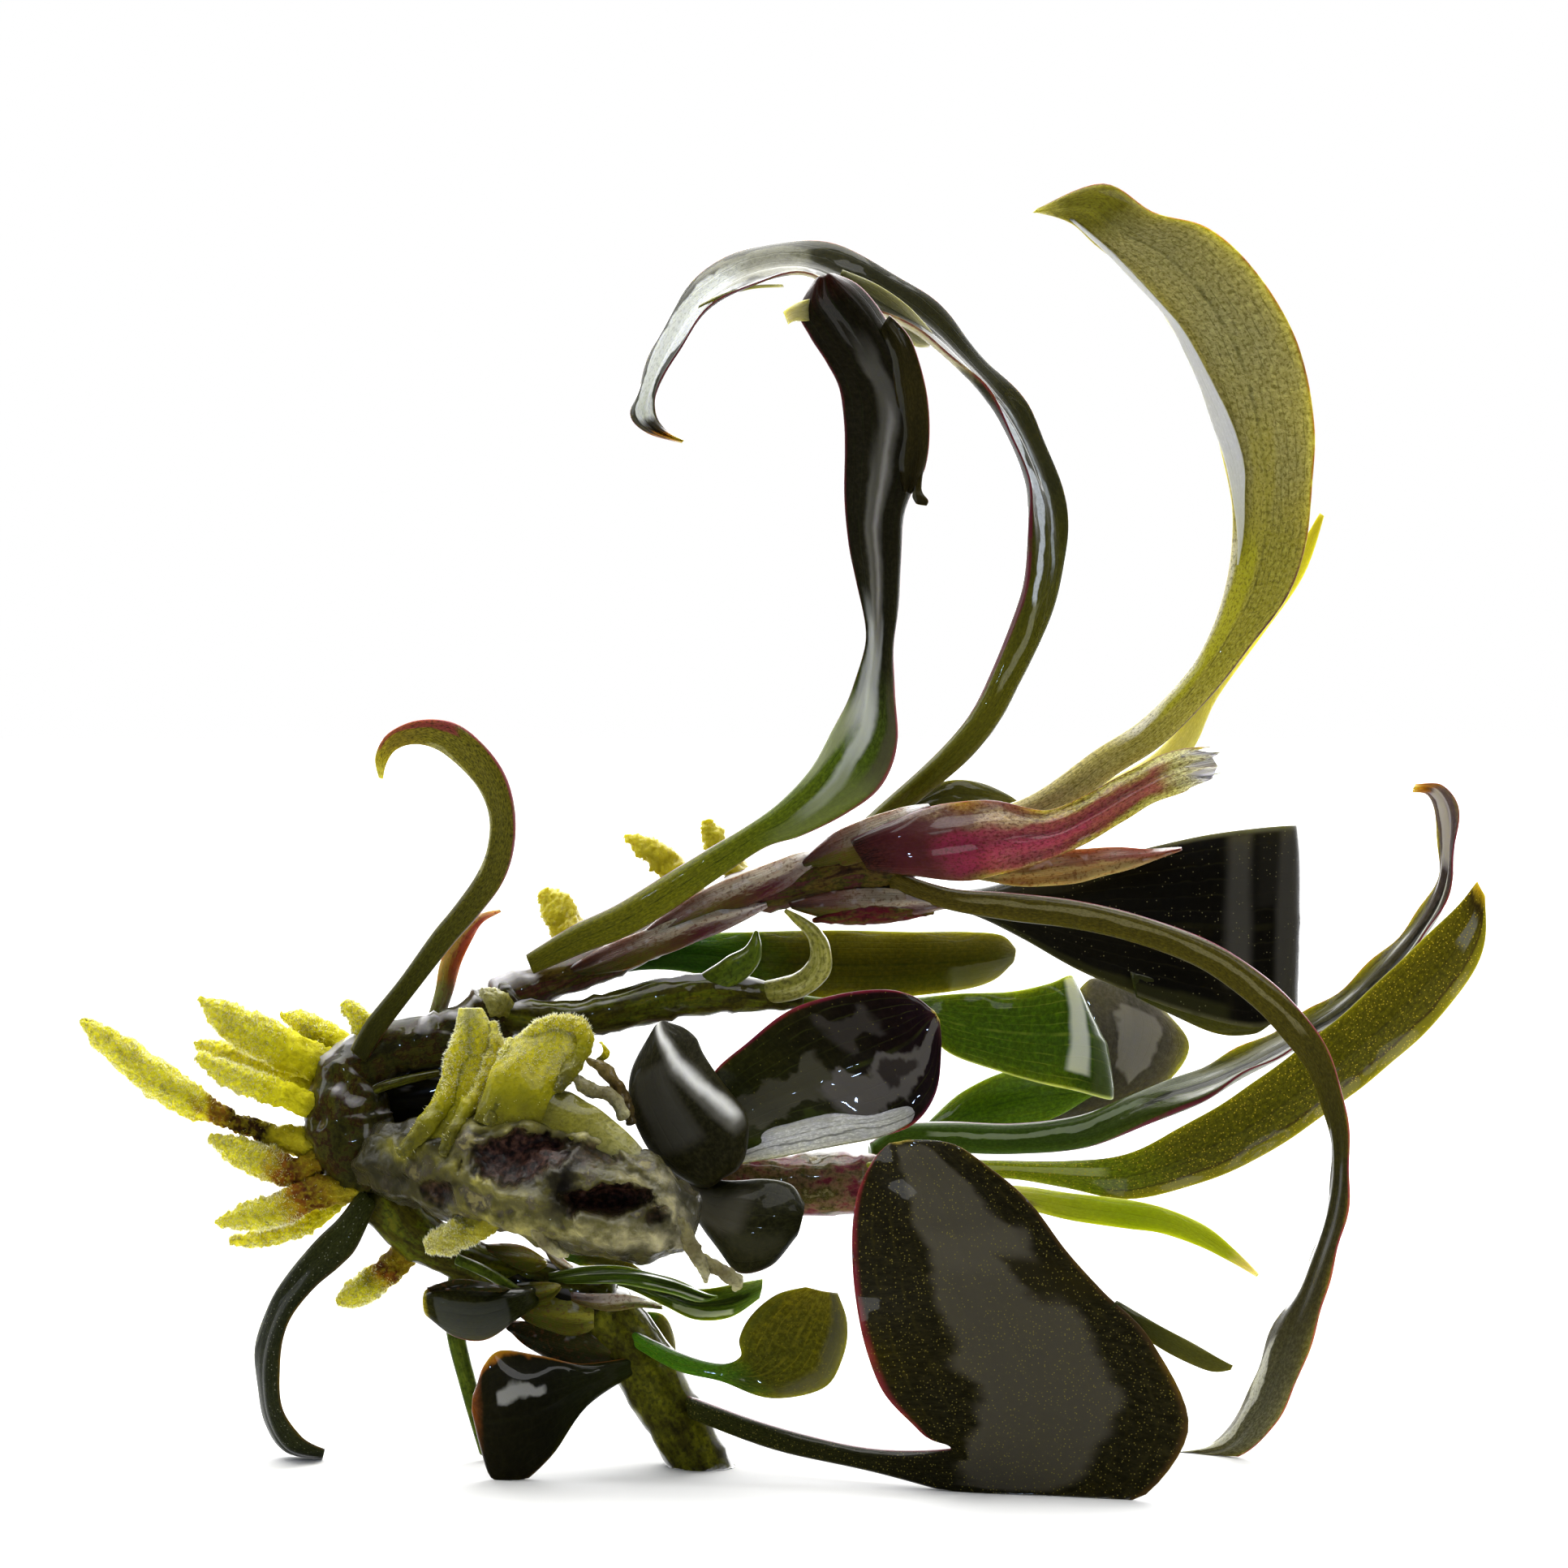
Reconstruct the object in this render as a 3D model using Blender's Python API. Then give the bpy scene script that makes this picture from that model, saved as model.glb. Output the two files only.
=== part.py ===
"""Bucephalandra, a creeping aquarium plant, lying as cut: rhizome, leaves, sheaths, buds and roots.

Metres, +Z up. The surface it rests on is z = 0 and the origin is the middle of its footprint.
Points are laid out in millimetres as they are seen from the front: how far across, how far up
and how deep (away from the viewer is positive). seen() turns that into a place in space.
"""

import math

import bmesh
import bpy
from mathutils import Vector
from mathutils.bvhtree import BVHTree

MM = 0.001

# The view that the plant is laid out in
VIEW_DISTANCE = 450.0
VIEW_ELEVATION = math.radians(5.5)
VIEW_MIDDLE_ACROSS = 48.3
VIEW_MIDDLE_UP = 41.7
TARGET_UP = 42.2
SHIFT_ACROSS = -0.1
SHIFT_DEPTH = 0.45

# Fits and faceting
GAP = 0.3
LEAF_SIDES = 8
BLADE_THICK = 0.55
RHIZOME_BEVEL = 2
ROOT_BEVEL = 1
RHIZOME_STEPS = 2
ROOT_STEPS = 2
HOLLOW_SEGMENTS = 10
HOLLOW_RINGS = 6
FLOOR_BLOCK = 200.0
WELD = 0.000002
LEAST_KEPT = 0.25


def seen(across, up, depth):
    """The place, in millimetres, of what is seen at (across, up) on the middle plane, at a depth."""
    a = across - VIEW_MIDDLE_ACROSS
    b = up - VIEW_MIDDLE_UP
    cos_e = math.cos(VIEW_ELEVATION)
    sin_e = math.sin(VIEW_ELEVATION)
    t = (depth + VIEW_DISTANCE * cos_e) / (VIEW_DISTANCE * cos_e + b * sin_e)
    z = TARGET_UP + VIEW_DISTANCE * sin_e + t * (b * cos_e - VIEW_DISTANCE * sin_e)
    return Vector((t * a + SHIFT_ACROSS, depth + SHIFT_DEPTH, z))


# Rhizome and stems: (across, up, depth, radius) along each piece, from its base
STEMS = {
    "rhizome_main": [
        (22.8, 17.4, -1.0, 2.0), (22.0, 19.2, -0.9, 2.7), (21.4, 21.4, -0.6, 2.7), (21.9, 24.0, 0.0, 2.1),
        (24.5, 25.5, 0.0, 1.8), (27.5, 26.1, 0.0, 1.8), (30.3, 27.3, 0.2, 1.9), (31.8, 28.4, 0.3, 1.6),
    ],
    "rhizome_cut": [
        (23.2, 18.6, -2.0, 2.2), (25.4, 18.4, -3.8, 2.9), (28.4, 18.2, -5.6, 3.7), (32.0, 17.8, -7.4, 4.1),
        (36.5, 17.2, -9.0, 4.4), (40.2, 16.4, -10.0, 3.9), (42.4, 15.7, -10.4, 2.5),
    ],
    "rhizome_upper": [
        (30.8, 28.4, 0.4, 1.5), (33.4, 29.4, 0.7, 1.35), (36.4, 30.5, 0.9, 1.2), (40.0, 32.0, 0.9, 1.15),
        (45.0, 34.6, 0.7, 1.35), (49.5, 35.9, 0.5, 1.6), (53.0, 36.9, 0.3, 2.3), (55.8, 36.6, 0.1, 1.7),
    ],
    "rhizome_middle": [
        (31.2, 27.5, -0.2, 1.1), (33.0, 27.3, -0.8, 1.15), (36.0, 27.3, -1.0, 1.15), (40.3, 28.3, -1.0, 1.3),
        (44.0, 28.8, -0.8, 1.25), (47.3, 28.6, -0.3, 0.9), (49.2, 28.4, 0.2, 0.6),
    ],
    "rhizome_lower": [
        (23.4, 16.4, -1.0, 1.7), (25.6, 14.0, -0.8, 1.6), (29.5, 12.2, -0.5, 1.4),
        (33.8, 11.0, -0.5, 1.5), (37.0, 9.7, -0.8, 1.9),
    ],
    "rhizome_back": [
        (24.2, 18.4, 0.8, 1.5), (30.0, 17.6, 2.0, 1.5), (38.0, 17.6, 2.0, 1.4),
        (45.0, 17.4, 1.6, 1.6), (50.0, 17.0, 1.2, 2.0), (53.0, 17.2, 1.2, 1.9), (54.8, 17.6, 1.4, 1.2),
    ],
    "stem_low": [
        (37.2, 9.4, -0.9, 1.9), (39.2, 6.6, -1.2, 2.0), (40.8, 4.0, -1.5, 1.95), (42.6, 0.9, -1.8, 1.9),
        (43.6, -1.2, -2.0, 1.9),
    ],
}

# Roots: stubby, club-shaped, from the free tip to the rhizome they grow from
ROOTS = {
    "root_long_left": [
        (4.95, 27.1, -1.0, 0.15), (6.6, 25.9, -1.0, 0.8), (9.6, 23.6, -0.9, 1.15), (12.2, 21.9, -0.8, 0.95),
        (14.2, 21.0, -0.7, 0.55), (16.0, 20.3, -0.7, 0.6), (18.4, 19.7, -0.7, 0.95), (20.6, 19.8, -0.7, 0.9),
    ],
    "root_left_top": [
        (12.3, 28.5, 0.6, 0.2), (14.0, 27.2, 0.6, 1.0), (16.5, 25.9, 0.5, 1.25), (19.0, 24.7, 0.4, 1.2),
        (21.4, 23.8, 0.2, 1.0),
    ],
    "root_left_upper": [
        (12.0, 25.7, 2.6, 0.2), (13.5, 25.2, 2.6, 0.75), (15.5, 24.5, 2.5, 0.85), (17.5, 23.8, 2.2, 0.85),
        (20.6, 22.4, 1.2, 0.8),
    ],
    "root_left_middle": [
        (12.2, 25.0, -1.6, 0.2), (14.0, 23.8, -1.6, 0.7), (16.0, 23.1, -1.6, 0.8), (17.8, 22.5, -1.5, 0.8),
        (20.6, 21.6, -1.2, 0.75),
    ],
    "root_upper_short": [
        (17.3, 27.5, 2.6, 0.2), (18.5, 27.0, 2.5, 0.75), (20.2, 26.0, 2.1, 0.9), (22.4, 24.8, 1.1, 0.8),
    ],
    "root_top_tiny": [(21.2, 28.2, -1.2, 0.2), (21.9, 27.4, -1.1, 0.65), (23.4, 25.8, -0.6, 0.7)],
    "root_left_low": [
        (12.9, 19.9, -1.8, 0.2), (14.5, 19.2, -1.8, 0.85), (16.5, 18.3, -1.8, 0.95), (18.4, 17.8, -1.7, 0.8),
        (21.0, 19.4, -1.2, 0.75),
    ],
    "root_lower_left": [
        (13.3, 14.7, -2.8, 0.2), (15.0, 15.0, -2.8, 0.8), (17.0, 15.5, -2.7, 1.0), (19.2, 16.4, -2.3, 1.0),
        (22.2, 17.0, -1.7, 0.9),
    ],
    "root_lower_thin": [
        (14.2, 13.5, 0.2, 0.2), (16.0, 13.8, 0.2, 0.65), (18.0, 14.4, 0.2, 0.7), (20.2, 15.8, 0.1, 0.7),
        (21.8, 17.6, -0.2, 0.7),
    ],
    "root_under": [
        (20.8, 9.8, -0.6, 0.2), (22.0, 10.4, -0.6, 0.8), (23.6, 11.4, -0.6, 0.85), (25.8, 13.4, -0.7, 0.8),
    ],
    "root_front_low": [
        (26.3, 13.2, -8.6, 0.3), (27.4, 13.6, -8.6, 0.9), (29.4, 14.6, -8.4, 0.9), (31.2, 16.0, -8.0, 0.8),
    ],
    "root_front_tall": [
        (29.4, 27.4, -5.0, 0.4), (29.1, 26.3, -5.0, 1.15), (28.2, 24.3, -5.0, 1.2), (27.2, 22.0, -5.0, 1.2),
        (26.8, 19.4, -4.8, 1.1),
    ],
    "root_front_square": [
        (34.8, 26.3, -6.4, 1.2), (34.0, 24.8, -6.6, 1.5), (32.9, 22.8, -6.9, 1.6), (32.2, 19.8, -7.2, 1.5),
    ],
    "root_top_pointed": [
        (38.5, 38.5, 2.9, 0.15), (39.4, 38.0, 2.9, 0.6), (40.7, 37.2, 2.8, 0.8), (42.2, 35.6, 2.2, 0.8),
        (43.4, 33.8, 1.1, 0.7),
    ],
    "root_top_ragged": [
        (43.5, 39.4, 3.0, 0.3), (43.9, 38.5, 3.0, 0.65), (44.9, 37.0, 2.6, 0.7), (46.4, 35.4, 1.3, 0.7),
    ],
    "root_stub_stem": [
        (33.4, 35.0, 2.8, 0.4), (34.1, 34.3, 2.8, 1.0), (35.0, 32.9, 2.4, 1.05), (35.9, 30.9, 1.2, 0.9),
    ],
    "root_bud_fork": [(29.7, 29.0, -1.6, 0.3), (30.5, 28.4, -1.7, 0.75), (31.0, 27.6, -0.6, 0.75)],
}

# Small tapering shoots: (across, up, depth, radius)
SHOOTS = {
    "young_leaf_rolled": [
        (43.0, 29.0, -0.6, 0.8), (45.1, 30.2, -1.3, 0.9), (46.3, 31.2, -1.4, 0.65), (46.6, 32.6, -1.4, 0.15),
    ],
    "young_leaf_hooked": [
        (47.0, 28.8, -0.4, 0.7), (49.2, 29.3, -1.2, 0.8), (50.5, 30.6, -1.6, 0.75), (50.2, 32.4, -1.7, 0.5),
        (48.4, 33.9, -1.7, 0.15),
    ],
    "bud_spindle": [
        (50.1, 33.3, -0.9, 0.15), (51.8, 33.6, -1.2, 0.6), (53.8, 33.9, -1.3, 0.85), (55.8, 33.9, -1.3, 0.6),
        (57.5, 33.8, -1.3, 0.15),
    ],
    "stalk_thin": [(28.2, 12.4, -2.2, 0.35), (30.2, 11.5, -2.6, 0.35), (32.0, 10.3, -2.4, 0.35)],
    "stalk_low": [
        (28.3, 12.0, -0.6, 0.6), (28.0, 8.5, -0.4, 0.6), (28.9, 4.5, -0.2, 0.55), (30.0, 0.6, 0.0, 0.5),
    ],
}

# Leaves and sheaths: one edge (across, up), the other edge (across, up), depth, and lean,
# which is how much nearer the second edge is; stations run from the base to the tip
LEAVES = {
    "leaf_tall": [
        (53.6, 38.3, 54.0, 36.8, 0.4, 0.0), (59.0, 39.6, 59.8, 37.9, 0.5, 0.0),
        (63.4, 41.0, 64.6, 39.3, 0.6, 0.0), (67.4, 43.8, 68.7, 42.2, 0.8, 0.0),
        (70.2, 45.6, 71.6, 44.1, 1.1, 0.2), (72.8, 48.2, 74.5, 47.0, 1.5, 0.5),
        (74.3, 50.6, 76.9, 50.0, 1.9, 0.8), (75.4, 53.5, 79.2, 53.2, 2.3, 1.2),
        (75.8, 57.0, 80.4, 56.6, 2.6, 1.6), (75.6, 60.2, 80.8, 60.1, 2.8, 2.0),
        (74.4, 64.8, 80.8, 64.0, 2.8, 2.2), (72.9, 68.3, 79.9, 68.8, 2.6, 2.2),
        (71.3, 70.9, 77.5, 72.8, 2.2, 2.0), (69.4, 73.1, 74.4, 75.9, 1.7, 1.8),
        (67.4, 74.9, 71.0, 76.9, 1.2, 1.2), (65.9, 76.2, 68.0, 78.6, 0.8, 0.6),
        (63.6, 76.9, 63.9, 77.2, 0.4, 0.0),
    ],
    "leaf_tall_young": [
        (54.5, 38.0, 54.8, 37.3, 2.4, 0.0), (62.5, 39.9, 62.9, 38.9, 3.0, 0.0),
        (68.5, 42.1, 69.3, 41.1, 3.4, 0.0), (71.8, 44.3, 73.1, 43.3, 3.8, 0.0),
        (73.5, 47.5, 75.0, 47.0, 4.4, 0.0), (76.6, 51.7, 77.8, 50.9, 5.4, 0.0),
        (79.2, 55.0, 80.3, 54.5, 6.0, 0.0), (81.3, 58.4, 81.6, 58.2, 6.0, 0.0),
    ],
    "leaf_arch": [
        (51.5, 37.9, 52.3, 36.8, 1.6, 0.0), (53.8, 40.1, 54.7, 39.0, 2.2, 0.0),
        (56.5, 42.5, 57.6, 41.4, 2.6, 0.0), (58.5, 44.5, 59.9, 43.4, 3.0, 0.0),
        (59.9, 46.3, 61.6, 45.6, 3.4, -0.4), (61.0, 48.4, 62.8, 48.0, 3.8, -0.8),
        (62.3, 51.5, 64.3, 51.3, 4.4, -1.4), (63.1, 54.3, 65.2, 54.3, 4.9, -2.0),
        (63.3, 57.5, 65.5, 57.4, 5.3, -2.6), (63.0, 60.5, 64.8, 60.9, 5.6, -3.2),
        (61.9, 63.5, 63.2, 64.4, 5.8, -3.8), (60.0, 66.3, 60.9, 67.1, 5.9, -4.4),
        (57.4, 68.7, 58.3, 70.1, 5.9, -4.8), (55.0, 70.0, 56.3, 71.9, 5.8, -4.8),
        (52.3, 71.4, 53.3, 73.8, 5.5, -4.6), (49.5, 72.8, 49.8, 74.9, 5.1, -4.4),
        (46.4, 72.4, 45.9, 74.4, 4.6, -4.0), (43.6, 70.7, 42.3, 72.0, 4.0, -3.4),
        (41.8, 68.4, 40.4, 68.8, 3.4, -2.6), (40.6, 66.1, 39.5, 66.2, 2.9, -1.4),
        (40.4, 64.6, 38.8, 64.5, 2.5, 0.0), (41.0, 63.6, 39.9, 63.3, 2.3, 0.0),
        (42.2, 62.9, 42.0, 62.7, 2.2, 0.0),
    ],
    "leaf_folded": [
        (32.4, 31.2, 32.9, 30.0, -1.6, 0.0), (35.3, 33.0, 36.0, 31.3, -1.7, 0.0),
        (37.8, 34.2, 38.6, 32.3, -1.8, 0.0), (40.3, 35.7, 41.2, 33.8, -1.8, 0.0),
        (43.6, 37.7, 44.7, 36.2, -1.8, 0.0), (46.1, 39.2, 47.2, 37.8, -2.0, 0.2),
        (48.0, 40.6, 49.4, 38.5, -2.3, 0.4), (49.9, 42.6, 52.2, 39.9, -2.8, 0.8),
        (51.3, 45.0, 54.3, 41.6, -3.3, 1.0), (52.3, 47.1, 55.3, 44.4, -3.7, 0.8),
        (53.1, 49.4, 55.1, 47.6, -4.0, 0.4), (53.3, 51.4, 55.1, 50.4, -4.2, 0.0),
        (52.7, 54.4, 55.5, 53.4, -4.5, -0.4), (52.1, 58.0, 55.7, 57.6, -4.8, -0.8),
        (52.1, 62.0, 56.7, 61.0, -5.0, -1.0), (51.9, 65.7, 57.2, 64.6, -5.1, -1.0),
        (51.0, 67.6, 56.0, 67.8, -5.1, -0.8), (49.9, 69.4, 54.7, 70.3, -5.0, -0.6),
        (49.2, 70.9, 53.0, 72.4, -4.8, -0.3), (50.2, 72.8, 51.4, 73.2, -4.6, 0.0),
    ],
    "leaf_hook": [
        (21.6, 25.4, 22.6, 24.6, -1.8, 0.0), (22.6, 27.2, 23.8, 26.5, -2.0, 0.0),
        (24.6, 29.7, 25.7, 29.0, -2.3, 0.0), (26.6, 32.5, 27.9, 31.8, -2.7, 0.0),
        (27.9, 34.1, 29.5, 33.6, -3.0, 0.2), (29.2, 35.9, 30.9, 35.5, -3.3, 0.4),
        (30.0, 37.6, 31.6, 37.5, -3.6, 0.6), (30.2, 39.5, 31.7, 39.9, -3.9, 0.8),
        (29.7, 41.1, 31.1, 42.2, -4.2, 1.0), (28.6, 42.5, 29.8, 44.1, -4.5, 1.0),
        (27.1, 43.7, 28.0, 45.4, -4.8, 0.8), (25.6, 44.1, 25.7, 45.6, -5.0, 0.6),
        (24.4, 43.8, 23.9, 44.8, -5.1, 0.3), (23.8, 42.9, 23.1, 43.4, -5.1, 0.0),
        (23.6, 42.0, 23.3, 42.1, -5.0, 0.0),
    ],
    "leaf_long_arch": [
        (54.8, 35.2, 55.0, 36.4, -1.2, 0.0), (58.2, 34.0, 58.5, 35.3, -1.5, 0.0),
        (62.0, 33.3, 62.3, 35.0, -1.8, 0.0), (66.0, 32.8, 66.5, 34.5, -2.2, 0.0),
        (69.9, 31.9, 70.6, 33.5, -2.8, 0.0), (73.8, 30.4, 74.8, 31.9, -3.4, 0.2),
        (76.7, 28.4, 78.1, 29.7, -4.0, 0.4), (78.9, 26.2, 80.5, 27.3, -4.4, 0.6),
        (80.5, 24.0, 82.1, 24.6, -4.6, 0.8), (81.6, 21.3, 82.9, 21.5, -4.6, 1.2),
        (82.0, 18.3, 83.1, 18.1, -4.4, 1.6), (81.6, 15.3, 82.8, 14.8, -3.8, 2.0),
        (80.1, 11.2, 81.7, 10.9, -3.0, 2.4), (78.2, 8.1, 80.9, 7.9, -2.0, 2.4),
        (77.2, 5.2, 79.8, 4.9, -1.0, 2.2), (76.0, 2.8, 78.4, 2.2, 0.2, 2.0),
        (74.4, 1.0, 76.2, 0.3, 1.4, 1.6), (71.6, 0.5, 72.0, 0.1, 3.0, 0.4),
    ],
    "leaf_black": [
        (56.0, 35.5, 56.4, 34.6, 1.6, 0.0), (59.5, 35.2, 60.0, 33.6, 2.8, 0.0),
        (62.5, 35.8, 63.1, 32.1, 3.4, 0.4), (66.0, 36.6, 66.5, 30.2, 3.6, 0.8),
        (70.0, 37.6, 70.0, 28.7, 3.7, 1.0), (74.0, 38.5, 73.8, 27.4, 3.8, 1.0),
        (77.5, 39.0, 77.3, 26.7, 4.2, 1.0), (79.6, 39.0, 79.4, 27.7, 5.4, 0.8),
        (80.0, 38.2, 79.9, 28.3, 7.4, 0.4), (79.2, 37.0, 79.0, 29.5, 9.6, 0.0),
        (77.8, 35.0, 77.6, 32.0, 11.6, 0.0),
    ],
    "leaf_speckled": [
        (53.0, 18.4, 53.1, 17.5, 0.2, 0.0), (57.5, 18.6, 57.5, 17.5, 0.4, 0.0),
        (62.0, 18.5, 62.0, 17.4, 0.6, 0.0), (66.0, 18.5, 65.7, 16.8, 0.6, 0.2),
        (69.4, 18.9, 69.4, 16.1, 0.7, 0.6), (72.5, 20.4, 73.4, 16.9, 0.9, 1.0),
        (76.0, 22.4, 77.4, 18.5, 1.2, 1.4), (79.5, 24.9, 81.3, 21.0, 1.5, 1.6),
        (82.8, 27.5, 85.0, 23.8, 1.9, 1.6), (85.8, 30.3, 88.1, 26.6, 2.4, 1.4),
        (88.3, 32.7, 90.5, 29.6, 3.0, 1.2), (90.0, 34.4, 91.5, 32.0, 3.6, 0.8),
        (91.0, 35.7, 91.5, 34.8, 4.0, 0.2),
    ],
    "leaf_silver": [
        (53.6, 19.6, 53.8, 18.2, 2.6, 0.0), (55.4, 20.7, 55.6, 19.2, 3.2, 0.0),
        (58.5, 20.9, 58.5, 19.0, 3.4, 0.0), (62.5, 20.8, 62.5, 18.9, 3.5, 0.0),
        (66.5, 21.3, 67.0, 19.3, 3.7, 0.4), (69.8, 22.5, 71.0, 20.9, 4.0, 1.4),
        (72.8, 23.5, 74.0, 22.1, 4.4, 2.4), (75.9, 24.9, 77.2, 23.8, 4.9, 3.0),
        (79.5, 26.8, 80.6, 25.6, 5.4, 3.2), (82.5, 28.7, 83.7, 27.5, 5.9, 3.0),
        (85.2, 31.2, 86.3, 30.2, 6.4, 2.6), (87.4, 33.6, 88.4, 33.0, 6.9, 2.2),
        (88.5, 35.7, 89.4, 35.4, 7.3, 1.8), (88.7, 37.8, 89.7, 37.9, 7.6, 1.4),
        (88.4, 39.8, 89.8, 40.3, 7.8, 1.0), (87.9, 41.0, 88.8, 41.7, 7.8, 0.4),
        (87.0, 41.2, 87.2, 41.7, 7.7, 0.0),
    ],
    "leaf_green": [
        (48.8, 28.8, 48.8, 28.0, 0.6, 0.0), (53.0, 28.3, 53.0, 27.4, 2.6, 0.0),
        (56.0, 28.5, 56.4, 26.9, 3.4, 0.2), (59.2, 28.8, 58.5, 25.1, 3.8, 0.4),
        (62.3, 28.9, 61.5, 24.0, 4.2, 0.4), (64.6, 29.4, 64.3, 23.2, 4.6, 0.4),
        (66.2, 29.9, 66.8, 22.7, 5.3, 0.2), (66.6, 29.0, 68.6, 22.3, 6.6, 0.0),
        (66.6, 27.6, 68.6, 22.8, 8.2, 0.0), (66.2, 26.2, 67.4, 23.8, 9.4, 0.0),
    ],
    "leaf_green_back": [
        (53.6, 19.4, 53.8, 18.4, 5.0, 0.0), (56.5, 20.4, 57.0, 19.3, 6.4, 0.0),
        (59.4, 22.8, 60.0, 20.0, 7.6, 0.2), (62.5, 24.1, 63.1, 20.5, 8.6, 0.2),
        (65.5, 23.9, 65.6, 21.4, 9.6, 0.0), (67.4, 23.2, 67.4, 22.5, 10.4, 0.0),
    ],
    "leaf_grey_back": [
        (53.3, 18.6, 53.5, 17.6, 6.4, 0.0), (60.0, 20.8, 60.3, 19.9, 9.0, 0.0),
        (66.5, 23.5, 67.5, 21.3, 11.0, 0.0), (66.9, 26.3, 71.5, 23.0, 11.8, 0.4),
        (66.3, 28.5, 73.3, 25.5, 12.4, 0.6), (67.0, 29.6, 71.8, 27.8, 12.8, 0.4),
        (67.8, 29.8, 70.0, 29.4, 13.0, 0.0),
    ],
    "leaf_round": [
        (43.0, 18.2, 43.4, 17.3, 0.0, 0.0), (43.4, 20.6, 45.0, 18.6, -1.8, 0.4),
        (43.8, 23.5, 48.0, 19.2, -2.4, 1.4), (46.0, 25.7, 51.5, 19.7, -2.8, 1.8),
        (48.6, 27.7, 54.4, 20.0, -2.9, 1.8), (51.5, 28.7, 56.5, 20.9, -2.9, 1.6),
        (54.5, 29.0, 57.7, 22.8, -2.7, 1.2), (56.3, 28.6, 58.0, 25.4, -2.4, 0.8),
        (57.5, 27.8, 57.9, 27.1, -2.2, 0.2),
    ],
    "leaf_glossy_small": [
        (41.0, 17.9, 41.5, 18.6, 0.6, 0.0), (41.0, 18.9, 43.2, 18.9, -3.4, 0.2),
        (39.4, 20.1, 45.7, 20.0, -5.2, 0.6), (38.7, 22.0, 44.9, 22.0, -5.6, 0.6),
        (38.9, 24.1, 43.5, 23.9, -5.8, 0.4), (39.7, 25.7, 42.8, 25.5, -5.6, 0.2),
        (40.8, 26.7, 42.2, 26.6, -5.2, 0.0),
    ],
    "leaf_lobe": [
        (40.6, 18.0, 40.6, 17.1, 0.8, 0.0), (42.5, 17.7, 42.4, 15.8, -2.0, 0.0),
        (44.5, 17.3, 43.8, 13.4, -4.0, 0.4), (46.8, 17.4, 45.3, 11.6, -5.2, 0.6),
        (48.7, 17.0, 47.5, 12.0, -5.6, 0.4), (49.6, 15.8, 49.1, 13.8, -5.6, 0.0),
    ],
    "leaf_broad_front": [
        (42.4, 4.0, 42.6, 2.6, -3.4, 0.0), (47.6, 2.2, 47.7, 0.7, -5.4, 0.0),
        (53.6, 0.8, 54.0, -0.7, -8.0, 0.0), (58.6, 0.9, 61.2, -2.4, -10.4, 0.2),
        (56.8, 2.2, 69.0, -2.8, -12.0, 0.6), (54.6, 4.2, 73.2, 2.0, -12.8, 0.8),
        (53.4, 7.0, 71.0, 7.4, -12.8, 0.8), (52.7, 10.3, 68.0, 10.4, -12.3, 0.8),
        (52.5, 13.4, 65.7, 12.9, -11.6, 0.8), (52.7, 15.8, 63.6, 15.6, -10.8, 0.6),
        (53.3, 17.4, 61.2, 17.8, -10.0, 0.4), (54.0, 18.6, 58.8, 19.5, -9.4, 0.2),
        (54.8, 19.5, 56.2, 19.8, -9.0, 0.0),
    ],
    "leaf_yellow_narrow": [
        (53.2, 16.2, 53.4, 15.4, 0.2, 0.0), (58.0, 16.6, 58.0, 15.8, -1.4, 0.0),
        (62.0, 17.0, 62.4, 15.6, -1.9, 0.1), (66.0, 16.5, 66.0, 14.8, -1.6, 0.2),
        (69.5, 16.1, 69.4, 14.3, -1.6, 0.3), (72.0, 15.5, 71.6, 14.0, -1.6, 0.3),
        (74.3, 14.5, 73.9, 13.2, -1.4, 0.2), (76.1, 13.0, 75.7, 12.3, -1.1, 0.0),
        (77.6, 11.5, 77.4, 11.3, -0.8, 0.0),
    ],
    "leaf_behind_stem": [
        (34.6, 30.0, 34.8, 29.2, 1.8, 0.0), (39.0, 31.4, 39.3, 30.2, 3.8, 0.0),
        (42.3, 32.4, 43.0, 30.0, 5.0, 0.2), (46.5, 32.6, 46.8, 28.9, 6.0, 0.3),
        (51.5, 32.7, 51.5, 28.4, 7.0, 0.3), (56.0, 32.6, 56.0, 28.6, 7.9, 0.3),
        (59.5, 32.6, 59.3, 29.0, 8.7, 0.2), (61.7, 32.4, 61.3, 29.6, 9.3, 0.1),
        (62.6, 31.6, 62.4, 30.6, 9.6, 0.0),
    ],
    "leaf_ribbon": [
        (22.2, 16.8, 23.2, 15.8, -2.4, 0.2), (20.9, 15.0, 22.0, 13.2, -3.0, 0.6),
        (19.5, 13.6, 20.9, 12.0, -3.0, 1.0), (17.9, 11.7, 19.3, 10.6, -2.8, 1.4),
        (16.5, 9.6, 17.9, 8.9, -2.4, 1.8), (15.7, 6.9, 17.2, 6.6, -1.8, 2.2),
        (15.8, 4.3, 17.1, 4.4, -1.2, 2.6), (16.3, 2.2, 17.5, 2.6, -0.8, 3.0),
        (17.4, 0.5, 18.5, 1.2, -0.4, 3.0), (19.8, 0.1, 20.0, 0.6, 0.0, 1.4),
    ],
    "leaf_bowl": [
        (33.2, 10.9, 33.4, 9.9, -1.6, 0.0), (31.4, 10.6, 31.8, 8.6, -4.4, 0.3),
        (29.0, 10.6, 29.8, 7.4, -5.0, 0.4), (27.0, 10.9, 27.7, 7.7, -5.0, 0.3),
        (26.1, 10.5, 26.2, 8.9, -4.6, 0.0),
    ],
    "leaf_low_dark": [
        (39.0, 6.4, 39.1, 5.4, -2.6, 0.0), (35.8, 6.0, 36.1, 3.3, -4.6, 0.4),
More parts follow.
